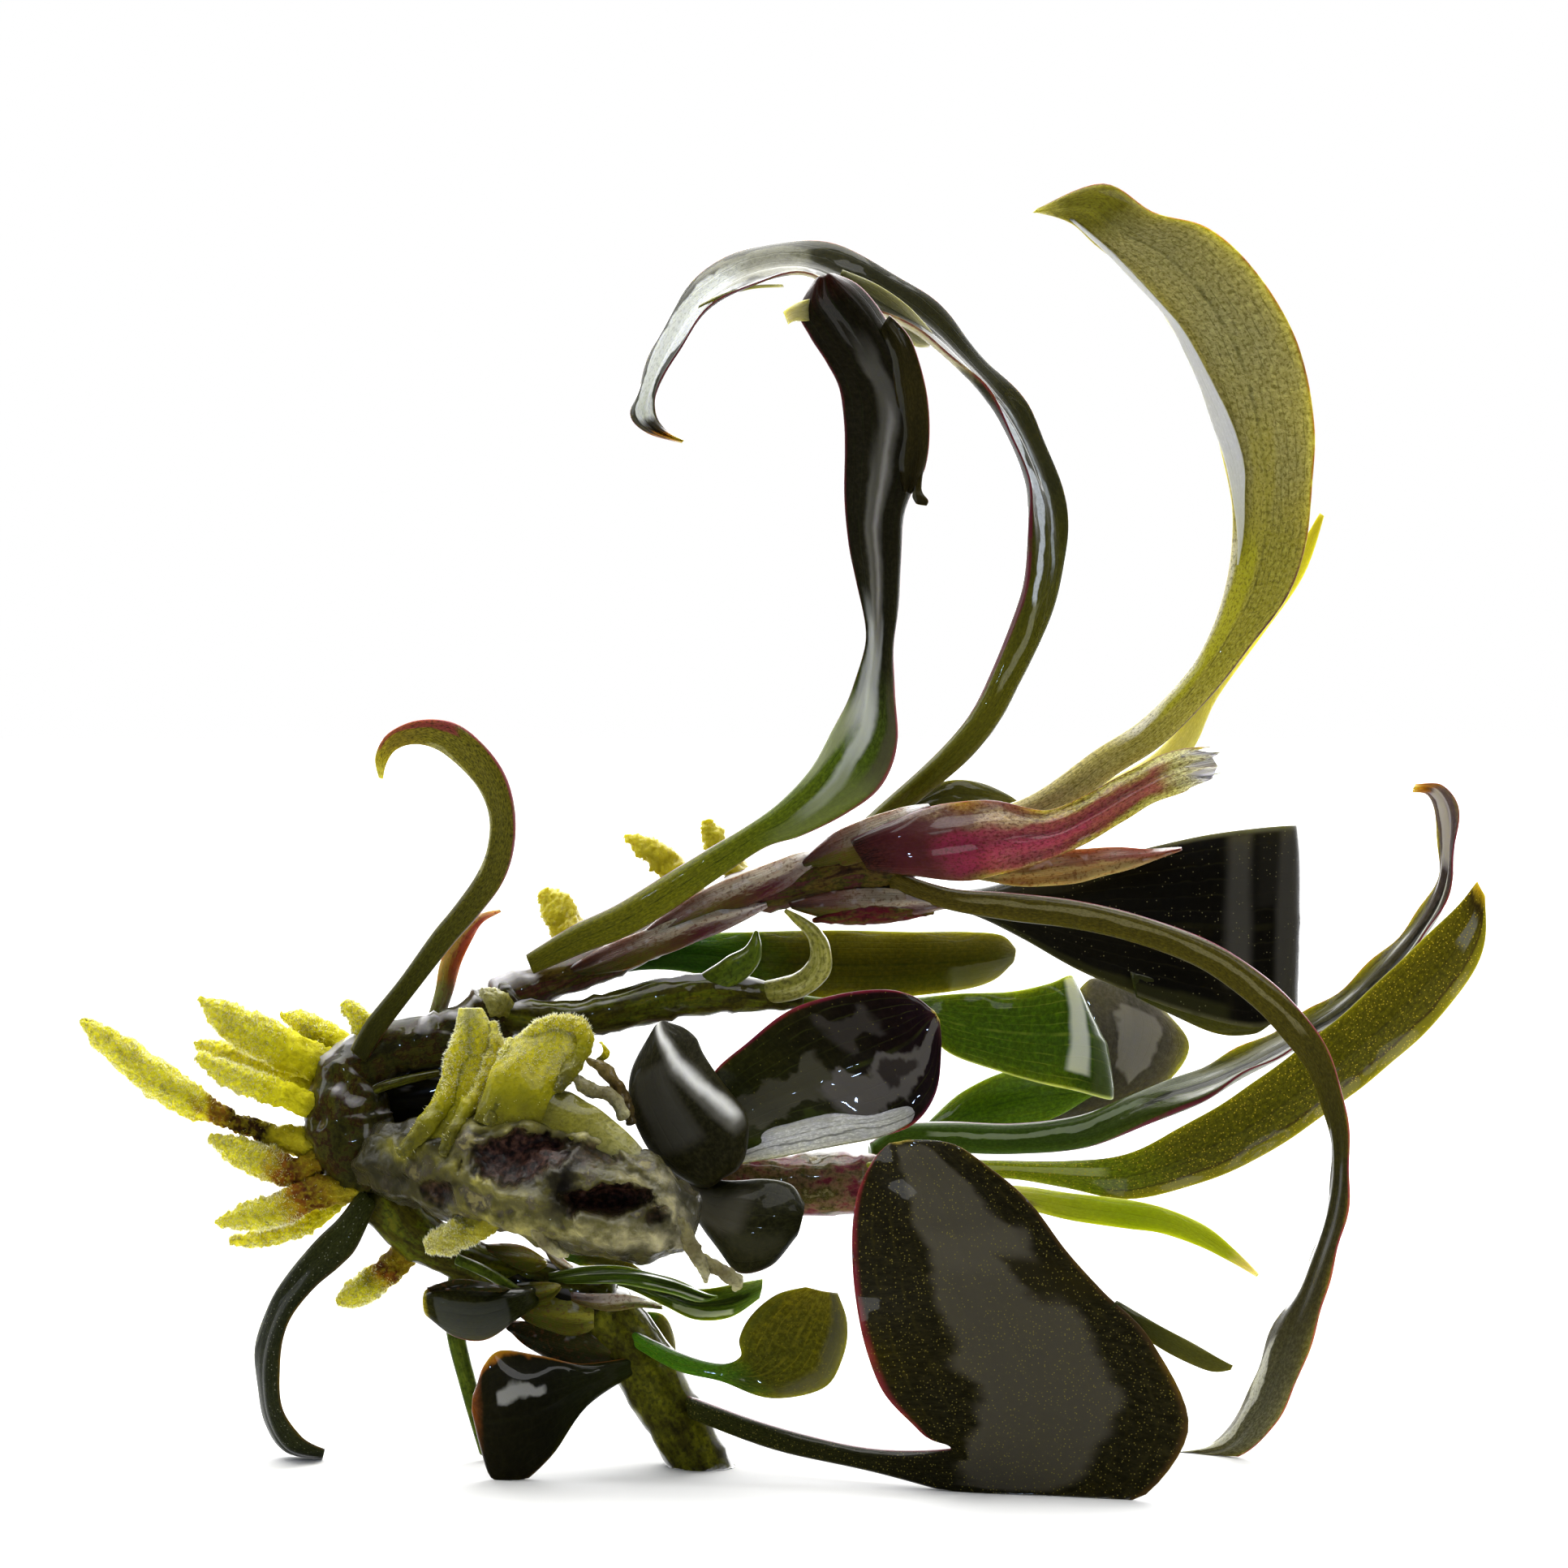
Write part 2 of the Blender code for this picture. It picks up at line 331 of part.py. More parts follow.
        (33.3, 6.5, 34.0, 0.2, -5.6, 0.8), (30.9, 6.8, 31.7, -1.6, -6.4, 0.8),
        (29.8, 5.9, 30.0, -0.8, -6.4, 0.4), (29.2, 4.3, 29.1, 2.7, -6.0, 0.0),
    ],
    "leaf_low_green": [
        (34.4, 12.0, 34.5, 11.0, 0.4, 0.0), (37.8, 11.8, 38.0, 10.8, 1.6, 0.0),
        (40.8, 11.1, 40.8, 9.6, 2.0, 0.2), (43.0, 10.6, 42.8, 8.7, 2.2, 0.3),
        (45.3, 10.9, 45.0, 8.8, 2.4, 0.2), (47.0, 11.2, 46.8, 10.0, 2.6, 0.0),
    ],
    "leaf_spoon": [
        (38.6, 8.3, 38.7, 7.3, -2.2, 0.0), (41.8, 6.7, 41.6, 5.6, -4.6, 0.0),
        (44.4, 6.0, 44.4, 4.9, -5.4, 0.2), (45.7, 6.5, 47.6, 3.9, -6.0, 0.4),
        (45.6, 7.6, 50.8, 4.6, -6.4, 0.6), (46.3, 9.0, 52.0, 6.5, -6.6, 0.6),
        (47.8, 10.2, 52.2, 8.5, -6.4, 0.4), (49.6, 10.7, 51.6, 10.3, -6.0, 0.0),
    ],
    "leaf_low_olive": [
        (37.8, 8.9, 38.2, 8.1, 0.8, 0.0), (39.6, 9.2, 38.9, 7.6, 2.4, 0.0),
        (41.0, 8.9, 39.8, 6.0, 3.2, 0.2), (41.7, 7.2, 40.2, 4.5, 3.8, 0.2),
        (41.4, 4.6, 40.8, 3.8, 4.2, 0.0),
    ],
    "leaf_low_small": [
        (32.8, 12.0, 33.0, 11.3, 0.8, 0.0), (35.0, 13.0, 35.5, 12.0, 2.8, 0.0),
        (37.5, 12.9, 37.7, 11.8, 3.8, 0.2), (39.8, 11.6, 39.6, 11.2, 4.6, 0.0),
    ],
    "leaf_dark_back": [
        (53.6, 38.8, 53.9, 38.0, 2.6, 0.0), (56.4, 41.0, 57.0, 39.7, 3.8, 0.2),
        (58.3, 41.9, 58.8, 40.1, 4.4, 0.3), (60.5, 41.8, 60.8, 40.0, 5.0, 0.3),
        (62.4, 40.9, 62.3, 39.8, 5.6, 0.1), (63.5, 39.7, 63.4, 39.3, 6.0, 0.0),
    ],
    "sheath_pink": [
        (52.4, 38.3, 53.6, 36.4, -2.4, 0.0), (55.0, 39.5, 56.5, 36.0, -2.6, 0.2),
        (57.7, 40.4, 59.3, 35.7, -2.7, 0.3), (61.1, 40.7, 62.0, 36.2, -2.5, 0.3),
        (64.4, 40.1, 65.1, 37.2, -2.2, 0.2), (67.0, 41.1, 67.8, 38.5, -2.0, 0.2),
        (70.4, 42.4, 70.6, 40.2, -1.7, 0.0), (72.5, 43.0, 72.8, 41.6, -1.5, 0.0),
        (74.4, 43.1, 74.3, 41.9, -1.4, 0.0),
    ],
    "sheath_tan": [
        (56.6, 37.2, 56.8, 36.5, 1.0, 0.0), (59.4, 37.0, 59.7, 35.9, 1.3, 0.0),
        (62.5, 37.1, 62.8, 35.4, 1.4, 0.0), (65.2, 37.6, 65.8, 35.5, 1.5, 0.0),
        (68.7, 37.8, 68.8, 36.2, 1.5, 0.0), (71.0, 37.7, 71.0, 36.9, 1.4, 0.0),
        (72.8, 37.8, 72.8, 37.6, 1.4, 0.0),
    ],
    "sheath_left": [
        (26.2, 27.0, 27.2, 26.8, 0.2, 0.0), (26.8, 29.0, 27.9, 28.8, 0.8, 0.0),
        (27.1, 30.7, 28.4, 30.6, 1.0, 0.0), (27.9, 32.3, 29.1, 32.1, 1.0, 0.0),
        (29.3, 33.6, 29.8, 33.2, 1.0, 0.0), (30.8, 34.0, 30.9, 33.8, 1.0, 0.0),
    ],
}

# How far along each leaf its round stalk keeps its thickness, and where the flat blade begins
STALK_SHARES = {
    "leaf_tall": (0.20, 0.55), "leaf_tall_young": (0.35, 0.70), "leaf_arch": (0.20, 0.45),
    "leaf_folded": (0.35, 0.50), "leaf_hook": (0.40, 0.85), "leaf_long_arch": (0.20, 0.50),
    "leaf_speckled": (0.20, 0.35), "leaf_silver": (0.25, 0.45), "leaf_broad_front": (0.15, 0.30),
    "leaf_ribbon": (0.10, 0.45), "leaf_yellow_narrow": (0.15, 0.45), "leaf_spoon": (0.25, 0.40),
}
USUAL_STALK = (0.10, 0.30)

# How far the middle of a blade stands towards the viewer, as a share of its width
BOWS = {
    "leaf_tall": 0.12, "leaf_arch": -0.15, "leaf_folded": 0.10, "leaf_long_arch": 0.10,
    "leaf_black": -0.10, "leaf_speckled": -0.16, "leaf_silver": -0.15, "leaf_green": -0.08,
    "leaf_round": -0.08, "leaf_broad_front": -0.10, "leaf_glossy_small": 0.20, "leaf_lobe": 0.20,
    "leaf_bowl": 0.20, "leaf_spoon": -0.20, "sheath_pink": 0.14, "sheath_tan": 0.15,
    "sheath_left": 0.15,
}
USUAL_BOW = 0.08
FOLDED_THICK = 1.2
THICKNESSES = {"leaf_folded": FOLDED_THICK}
STALK_ROUNDNESS = 0.9
TIP_ROUNDNESS = 0.7

# The hollows of the old cut end: (across, up, depth), half sizes and turn in degrees
CUT_HOLLOWS = [
    ((32.0, 18.7, -11.6), (2.8, 2.0, 1.7), -8.0),
    ((37.0, 15.9, -13.6), (2.9, 1.8, 0.7), -6.0),
]

# Colours: linear red, green and blue
DARK_GREEN = (0.016, 0.020, 0.008)
OLIVE = (0.180, 0.170, 0.024)
FRESH_GREEN = (0.050, 0.140, 0.008)
LIME = (0.380, 0.420, 0.016)
WINE = (0.060, 0.022, 0.022)
PINK = (0.340, 0.035, 0.070)
TAN = (0.320, 0.220, 0.090)
ROOT_YELLOW = (0.560, 0.480, 0.055)
CUT_PALE = (0.420, 0.380, 0.160)
COLOURS = {
    "leaf_tall": OLIVE, "leaf_tall_young": LIME, "leaf_hook": OLIVE, "leaf_speckled": OLIVE,
    "leaf_long_arch": OLIVE, "leaf_green": FRESH_GREEN, "leaf_green_back": FRESH_GREEN,
    "leaf_yellow_narrow": LIME, "leaf_behind_stem": OLIVE, "leaf_spoon": OLIVE,
    "leaf_low_olive": OLIVE, "leaf_low_green": FRESH_GREEN, "leaf_low_small": OLIVE,
    "sheath_pink": PINK, "sheath_tan": TAN, "sheath_left": TAN, "young_leaf_rolled": FRESH_GREEN,
    "young_leaf_hooked": OLIVE, "bud_spindle": WINE, "stalk_thin": FRESH_GREEN,
    "stalk_low": FRESH_GREEN, "rhizome_cut": CUT_PALE, "rhizome_main": WINE, "rhizome_upper": WINE,
    "rhizome_middle": OLIVE, "rhizome_lower": OLIVE, "rhizome_back": WINE, "stem_low": OLIVE,
}
WET_ROUGHNESS = 0.2
ROOT_ROUGHNESS = 0.5


def smooth_path(points, steps):
    """More points on one smooth curve through these, with every other value carried along."""
    rows = [Vector(point) for point in points]
    path = []
    for i in range(len(rows) - 1):
        before = rows[max(i - 1, 0)]
        start = rows[i]
        end = rows[i + 1]
        after = rows[min(i + 2, len(rows) - 1)]
        for step in range(steps):
            u = step / steps
            pull_in = (end - before) * 0.5
            pull_out = (after - start) * 0.5
            path.append(
                start * (2 * u**3 - 3 * u**2 + 1) + pull_in * (u**3 - 2 * u**2 + u)
                + end * (3 * u**2 - 2 * u**3) + pull_out * (u**3 - u**2)
            )
    path.append(rows[-1])
    return path


def ease(value, start, end):
    """0 before start, 1 after end and a smooth rise between them."""
    u = min(max((value - start) / (end - start), 0.0), 1.0)
    return u * u * (3 - 2 * u)


def add_object(name, mesh, collection):
    obj = bpy.data.objects.new(name, mesh)
    collection.objects.link(obj)
    return obj


def mesh_from(obj, name):
    """A mesh of the object as it is evaluated, with its loose caps welded."""
    bpy.context.view_layer.update()
    graph = bpy.context.evaluated_depsgraph_get()
    mesh = bpy.data.meshes.new_from_object(obj.evaluated_get(graph), depsgraph=graph)
    mesh.name = name
    work = bmesh.new()
    work.from_mesh(mesh)
    bmesh.ops.remove_doubles(work, verts=work.verts, dist=WELD)
    bmesh.ops.recalc_face_normals(work, faces=work.faces)
    work.to_mesh(mesh)
    work.free()
    return mesh


def add_tube(name, points, steps, bevel, collection):
    """A tapering stem or root: a bevelled curve through its points, made a mesh."""
    path = smooth_path(points, steps)
    curve = bpy.data.curves.new(name, "CURVE")
    curve.dimensions = "3D"
    curve.bevel_depth = MM
    curve.bevel_resolution = bevel
    curve.use_fill_caps = True
    spline = curve.splines.new("POLY")
    spline.points.add(len(path) - 1)
    for point, row in zip(spline.points, path):
        place = seen(row[0], row[1], row[2]) * MM
        point.co = (place.x, place.y, place.z, 1.0)
        point.radius = row[3]
    guide = add_object(name + "_curve", curve, collection)
    mesh = mesh_from(guide, name)
    bpy.data.objects.remove(guide)
    bpy.data.curves.remove(curve)
    mesh.shade_smooth()
    return add_object(name, mesh, collection)


def ring(centre, along, half_width, half_thick, facing, bow):
    """One cross-section of a leaf: a flat lens, or a round stalk where it is as thick as wide."""
    points = []
    for side in range(LEAF_SIDES):
        angle = 2 * math.pi * side / LEAF_SIDES
        out = half_width * math.cos(angle)
        forward = half_thick * math.sin(angle) - bow * math.cos(angle) ** 2
        points.append(centre + along * out + facing * forward)
    return points


def blade_facings(edges):
    """The way the blade faces at each station, towards the viewer at the tip and with no flips."""
    middles = [(first + second) / 2 for first, second in edges]
    last = len(edges) - 1
    facings = []
    for i in range(last, -1, -1):
        way = middles[min(i + 1, last)] - middles[max(i - 1, 0)]
        facing = (edges[i][1] - edges[i][0]).cross(way).normalized()
        towards = facings[0] if facings else Vector((0.0, -1.0, 0.0))
        facings.insert(0, facing if facing.dot(towards) > 0 else -facing)
    return facings


def add_leaf(name, stations, collection):
    """A leaf or sheath: a loft through its stations, from a round stalk to a thin bowed blade."""
    stalk_end, blade_start = STALK_SHARES.get(name, USUAL_STALK)
    blade = THICKNESSES.get(name, BLADE_THICK)
    bow_share = BOWS.get(name, USUAL_BOW)
    edges = []
    for a0, up0, a1, up1, depth, lean in stations:
        edges.append((seen(a0, up0, depth + lean / 2), seen(a1, up1, depth - lean / 2)))
    facings = blade_facings(edges)
    work = bmesh.new()
    rings = []
    last = len(stations) - 1
    for i, (first, second) in enumerate(edges):
        middle = (first + second) / 2
        width = (second - first).length
        along = (second - first) / width
        facing = facings[i]
        flatness = ease(i / last, stalk_end, blade_start)
        thick = width * STALK_ROUNDNESS * (1 - flatness) + blade * flatness
        thick = min(thick, width * TIP_ROUNDNESS) if flatness == 1.0 else thick
        bow = bow_share * width * flatness
        section = ring(middle + facing * bow / 2, along, width / 2, thick / 2, facing, bow)
        rings.append([work.verts.new(point * MM) for point in section])
    for lower, upper in zip(rings, rings[1:]):
        for side in range(LEAF_SIDES):
            other = (side + 1) % LEAF_SIDES
            work.faces.new((lower[side], lower[other], upper[other], upper[side]))
    work.faces.new(list(reversed(rings[0])))
    work.faces.new(rings[-1])
    bmesh.ops.recalc_face_normals(work, faces=work.faces)
    mesh = bpy.data.meshes.new(name)
    work.to_mesh(mesh)
    work.free()
    mesh.shade_smooth()
    return add_object(name, mesh, collection)


def add_cutter(name, mesh, collection):
    cutter = add_object(name, mesh, collection)
    cutter.hide_render = True
    cutter.display_type = "WIRE"
    return cutter


def keep_largest_body(mesh):
    """Deletes the slivers that a cut left loose."""
    work = bmesh.new()
    work.from_mesh(mesh)
    bodies = []
    unseen = set(work.verts)
    while unseen:
        body = [unseen.pop()]
        for vert in body:
            for edge in vert.link_edges:
                other = edge.other_vert(vert)
                if other in unseen:
                    unseen.remove(other)
                    body.append(other)
        bodies.append(body)
    bodies.sort(key=len)
    for body in bodies[:-1]:
        bmesh.ops.delete(work, geom=body, context="VERTS")
    work.to_mesh(mesh)
    work.free()


def volume_if_closed(mesh):
    """The mesh's volume, or nothing where it has an open edge."""
    work = bmesh.new()
    work.from_mesh(mesh)
    closed = all(len(edge.link_faces) == 2 for edge in work.edges)
    volume = work.calc_volume(signed=True)
    work.free()
    return volume if closed else 0.0


def cut(obj, cutter):
    """Takes the cutter's volume out of the object and keeps the result as its mesh.

    The exact solver loses a body now and then where two surfaces graze, and the other takes over.
    """
    old = obj.data
    whole = volume_if_closed(old)
    modifier = obj.modifiers.new("cut", "BOOLEAN")
    modifier.operation = "DIFFERENCE"
    modifier.object = cutter
    for solver in ("EXACT", "MANIFOLD"):
        modifier.solver = solver
        mesh = mesh_from(obj, obj.name)
        keep_largest_body(mesh)
        if LEAST_KEPT * whole < volume_if_closed(mesh) <= whole:
            break
    obj.modifiers.remove(modifier)
    obj.data = mesh
    bpy.data.meshes.remove(old)


def clearance_mesh(obj):
    """A copy of the object's mesh, grown by the gap that touching pieces keep."""
    mesh = obj.data.copy()
    work = bmesh.new()
    work.from_mesh(mesh)
    work.normal_update()
    moves = [(vert, vert.normal * GAP * MM * vert.calc_shell_factor()) for vert in work.verts]
    for vert, move in moves:
        vert.co += move
    work.to_mesh(mesh)
    work.free()
    return mesh


def box_of(obj):
    corners = [vert.co for vert in obj.data.vertices]
    low = Vector([min(corner[axis] for corner in corners) for axis in range(3)])
    high = Vector([max(corner[axis] for corner in corners) for axis in range(3)])
    return low, high


def boxes_meet(box_a, box_b):
    spare = GAP * MM
    return all(
        box_a[0][axis] - spare < box_b[1][axis] and box_b[0][axis] - spare < box_a[1][axis]
        for axis in range(3)
    )


def surfaces_meet(obj, mesh):
    """Whether the object crosses this surface."""
    trees = []
    for data in (obj.data, mesh):
        work = bmesh.new()
        work.from_mesh(data)
        trees.append(BVHTree.FromBMesh(work))
        work.free()
    return bool(trees[0].overlap(trees[1]))


def trim_to_neighbours(pieces, cutters):
    """Cuts each piece back from the pieces made before it, so that a gap is left where they meet."""
    for place, piece in enumerate(pieces):
        for earlier in pieces[:place]:
            if not boxes_meet(box_of(piece), box_of(earlier)):
                continue
            mesh = clearance_mesh(earlier)
            if surfaces_meet(piece, mesh):
                cutter = add_cutter("clearance", mesh, cutters)
                cut(piece, cutter)
                bpy.data.objects.remove(cutter)
            bpy.data.meshes.remove(mesh)


def hollow_cut_end(obj, cutters):
    """The sunken pith and the split in the old cut end."""
    for number, (place, half_sizes, turn) in enumerate(CUT_HOLLOWS, 1):
        work = bmesh.new()
        bmesh.ops.create_uvsphere(
            work, u_segments=HOLLOW_SEGMENTS, v_segments=HOLLOW_RINGS, radius=MM
        )
        mesh = bpy.data.meshes.new(f"hollow_{number}")
        work.to_mesh(mesh)
        work.free()
        cutter = add_cutter(f"hollow_{number}", mesh, cutters)
        cutter.location = seen(*place) * MM
        cutter.rotation_euler = (0.0, math.radians(turn), 0.0)
        cutter.scale = half_sizes
        cut(obj, cutter)


def level_on_floor(pieces, cutters):
    """Flattens the pieces that press on the surface that the plant lies on."""
    work = bmesh.new()
    bmesh.ops.create_cube(work, size=FLOOR_BLOCK * MM)
    mesh = bpy.data.meshes.new("floor_block")
    work.to_mesh(mesh)
    work.free()
    cutter = add_cutter("floor_block", mesh, cutters)
    cutter.location.z = -FLOOR_BLOCK * MM / 2
    for piece in pieces:
        if box_of(piece)[0].z < 0:
            cut(piece, cutter)


def add_material(obj):
    is_root = obj.name.startswith("root")
    material = bpy.data.materials.new(obj.name)
    material.use_nodes = True
    shader = material.node_tree.nodes["Principled BSDF"]
    colour = COLOURS.get(obj.name, ROOT_YELLOW if is_root else DARK_GREEN)
    shader.inputs["Base Color"].default_value = (*colour, 1.0)
    shader.inputs["Roughness"].default_value = ROOT_ROUGHNESS if is_root else WET_ROUGHNESS
    shader.inputs["Metallic"].default_value = 0.0
    obj.data.materials.clear()
    obj.data.materials.append(material)


def main():
    for obj in list(bpy.data.objects):
        bpy.data.objects.remove(obj)
    plant = bpy.data.collections.new("bucephalandra")
    cutters = bpy.data.collections.new("cutters")
    for collection in (plant, cutters):
        bpy.context.scene.collection.children.link(collection)
    pieces = []
    for name, points in STEMS.items():
        pieces.append(add_tube(name, points, RHIZOME_STEPS, RHIZOME_BEVEL, plant))
    for name, stations in LEAVES.items():
        pieces.append(add_leaf(name, stations, plant))
    for name, points in SHOOTS.items():
        pieces.append(add_tube(name, points, ROOT_STEPS, ROOT_BEVEL, plant))
    for name, points in ROOTS.items():
        pieces.append(add_tube(name, points, ROOT_STEPS, ROOT_BEVEL, plant))
    trim_to_neighbours(pieces, cutters)
    hollow_cut_end(plant.objects["rhizome_cut"], cutters)
    level_on_floor(pieces, cutters)
    for piece in pieces:
        add_material(piece)


main()
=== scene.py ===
# %% [markdown]
# # A bucephalandra, wet from the tank
# A bucephalandra is a small water plant that creeps over stones. Its rhizome, a stem that lies
# down, carries long leaves on round stalks, papery sheaths, and stubby roots with a fur of fine
# hairs. This lesson dresses a plain solid model of one. The solids give the sizes and places, and
# each cell here grows one kind of piece again in fine mesh, with skin, veins, gloss and fuzz.

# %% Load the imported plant
import math
from functools import partial

import bmesh
import bpy
import numpy as np
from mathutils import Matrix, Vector, noise


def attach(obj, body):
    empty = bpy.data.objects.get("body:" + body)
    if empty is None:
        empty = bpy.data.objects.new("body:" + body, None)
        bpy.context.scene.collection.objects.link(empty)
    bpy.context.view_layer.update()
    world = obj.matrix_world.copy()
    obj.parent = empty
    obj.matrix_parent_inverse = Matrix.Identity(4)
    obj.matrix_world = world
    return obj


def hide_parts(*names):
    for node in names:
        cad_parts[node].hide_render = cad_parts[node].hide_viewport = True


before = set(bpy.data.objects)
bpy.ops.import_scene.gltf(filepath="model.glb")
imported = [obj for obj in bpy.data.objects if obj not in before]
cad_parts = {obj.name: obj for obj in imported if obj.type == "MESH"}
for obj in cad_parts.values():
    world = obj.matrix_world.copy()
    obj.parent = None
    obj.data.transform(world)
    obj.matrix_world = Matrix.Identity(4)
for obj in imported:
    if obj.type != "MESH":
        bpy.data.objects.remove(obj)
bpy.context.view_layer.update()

# %% [markdown]
# ## The view that the plant is laid out in
# The tables further down give each point as it is seen from the front: millimetres across,
# millimetres up, and how deep it lies. One could type plain x, y and z, but a point that is laid
# out as it is seen can be checked against a picture at once. `seen` turns such points into places
# in space, for a camera at this distance and this angle above the table.

# %% From seen points to space
MM = 0.001
VIEW_DISTANCE = 450.0
VIEW_WIDTH = 96.6
VIEW_MIDDLE = (48.3, 41.7)
TARGET = (-0.1, 0.45, 42.2)
ELEVATION = math.radians(5.5)
COS, SIN = math.cos(ELEVATION), math.sin(ELEVATION)


def seen(across, up, depth):
    """Places in space, in millimetres, of points seen at (across, up) and lying this deep."""
    a = np.asarray(across, float) - VIEW_MIDDLE[0]
    b = np.asarray(up, float) - VIEW_MIDDLE[1]
    depth = np.asarray(depth, float)
    t = (depth + VIEW_DISTANCE * COS) / (VIEW_DISTANCE * COS + b * SIN)
    z = TARGET[2] + VIEW_DISTANCE * SIN + t * (b * COS - VIEW_DISTANCE * SIN)
    return np.stack([t * a + TARGET[0], depth + TARGET[1], z], axis=-1)


def seen_place(points):
    """Where points in space, in millimetres, are seen: their across and up."""
    offset = np.asarray(points, float) - np.array(TARGET) - VIEW_DISTANCE * np.array([0.0, -COS, SIN])
    far = (offset @ np.array([0.0, COS, -SIN])) / VIEW_DISTANCE
    up = (offset @ np.array([0.0, SIN, COS])) / far
    return offset[..., 0] / far + VIEW_MIDDLE[0], up + VIEW_MIDDLE[1]


middle = seen(*VIEW_MIDDLE, 0.0)
print("the middle lies at", middle.round(2), "and is seen at", np.round(seen_place(middle), 3))

# %% [markdown]
# ## The camera
# A long lens from almost half a metre away gives the flat, calm perspective of a studio close-up.
# The lens length follows from the width that the picture takes in at that distance.

# %% Camera
SENSOR = 36.0
camera_data = bpy.data.cameras.new("camera")
camera_data.sensor_width = SENSOR
camera_data.lens = SENSOR * VIEW_DISTANCE / VIEW_WIDTH
camera_data.clip_start = 0.01
camera_data.clip_end = 20.0
camera = bpy.data.objects.new("camera", camera_data)
back = Vector((0.0, -COS, SIN))
camera.location = (Vector(TARGET) + back * VIEW_DISTANCE) * MM
camera.rotation_mode = "QUATERNION"
camera.rotation_quaternion = (-back).to_track_quat("-Z", "Y")
bpy.context.scene.collection.objects.link(camera)
bpy.context.scene.camera = camera
print("lens", round(camera_data.lens, 1), "mm")

# %% [markdown]
# ## One small tool for materials
# A material in Blender is a graph of nodes. `add` adds one node, sets its own fields, and feeds
# its inputs with plain values or with the outputs of other nodes. Colours are written as the hex
# codes of a paint program, which are sRGB, and `colour` turns them into the linear light that
# Blender counts in. A run of colours gives each colour's place between 0 and 1.


# %% Colours and nodes
def colour(code):
    """An sRGB hex code as linear red, green, blue and alpha."""
    parts = [int(code[i:i + 2], 16) / 255 for i in (0, 2, 4)]
    return tuple(x / 12.92 if x <= 0.04045 else ((x + 0.055) / 1.055) ** 2.4 for x in parts) + (1.0,)


# the field that says how a node of this kind works
WAY_FIELD = {"Math": "operation", "Mix": "data_type", "MapRange": "interpolation_type"}


def add(tree, kind, *values, feeds=None, stops=None, give=0, **named):
    """Adds a node of this kind, such as Math, or Math MULTIPLY. Values feed its first inputs and
    `feeds` those of these numbers. What is named feeds the input, or sets the field, of that name.
    `stops` is its run of colours. Gives one of its outputs."""
    kind, *way = kind.split()
    made = tree.nodes.new("ShaderNode" + kind)
    if way:
        setattr(made, WAY_FIELD[kind], way[0])
    feeds = dict(enumerate(values)) | (feeds or {})
    for name, value in named.items():
        if name in made.inputs:
            feeds[name] = value
        else:
            setattr(made, name, value)
    for socket, value in feeds.items():
        if isinstance(value, bpy.types.NodeSocket):
            tree.links.new(value, made.inputs[socket])
        else:
            made.inputs[socket].default_value = value
    if stops:
        ramp = made.color_ramp.elements
        while len(ramp) < len(stops):
            ramp.new(1.0)
        for element, (position, shade) in zip(ramp, stops.items()):
            element.position = position
            element.color = colour(shade)
    return made.outputs[give] if len(made.outputs) else made


print("mid grey 808080 is", round(colour("808080")[0], 3), "in linear light")

# %% [markdown]
# ## Floor, room and lamps
# The plant lies on a pale table in a bright studio. Most light comes from behind and above, so
# thin leaves glow and wet edges shine white, while the room on the viewer's side is dim, which
# keeps the faces of the black leaves black. A world with a soft change from dim to bright does
# the room, and large area lamps stand for the softboxes whose images show in the wet leaves. The
# table is left out of mirror images, because a pale table would turn the black leaves grey.

# %% Floor
FLOOR_CORNERS = [(-0.45, -0.14), (0.45, -0.14), (0.45, 0.50), (-0.45, 0.50)]
floor_mesh = bpy.data.meshes.new("floor")
floor_mesh.from_pydata([(x, y, 0.0) for x, y in FLOOR_CORNERS], [], [(0, 1, 2, 3)])
floor = bpy.data.objects.new("floor", floor_mesh)
bpy.context.scene.collection.objects.link(floor)
# a sheet of matt white card: it takes soft shadows and hardly shines
floor_material = bpy.data.materials.new("matt white table")
floor_material.use_nodes = True
floor_shader = floor_material.node_tree.nodes["Principled BSDF"]
floor_shader.inputs["Base Color"].default_value = colour("f7f7f7")
floor_shader.inputs["Roughness"].default_value = 0.9
floor_shader.inputs["Specular IOR Level"].default_value = 0.1
floor_mesh.materials.append(floor_material)
floor.visible_glossy = False
print("the table is", FLOOR_CORNERS[1][0] - FLOOR_CORNERS[0][0], "m wide")

# %% Room
world = bpy.data.worlds.new("studio")
bpy.context.scene.world = world
world.use_nodes = True
room = world.node_tree
room.nodes.clear()
node = partial(add, room)
parts = node("SeparateXYZ", node("TexCoord", give="Generated")).node.outputs
behind = node("Math MULTIPLY_ADD", parts["Z"], 0.5, parts["Y"])
dim_to_bright = node("ValToRGB", node("MapRange", behind, -0.55, 0.75), stops={
    0: "0d0c09", 0.42: "1b1a16", 0.60: "6a6a68", 0.78: "e8e9ec", 1: "ffffff"})
lit = node("Background", dim_to_bright)
shown = node("Background", colour("ffffff"))
node("OutputWorld", node("MixShader", node("LightPath", give="Is Camera Ray"), lit, shown))
bpy.context.scene.view_settings.view_transform = "Standard"
print("a room of", len(room.nodes), "nodes")

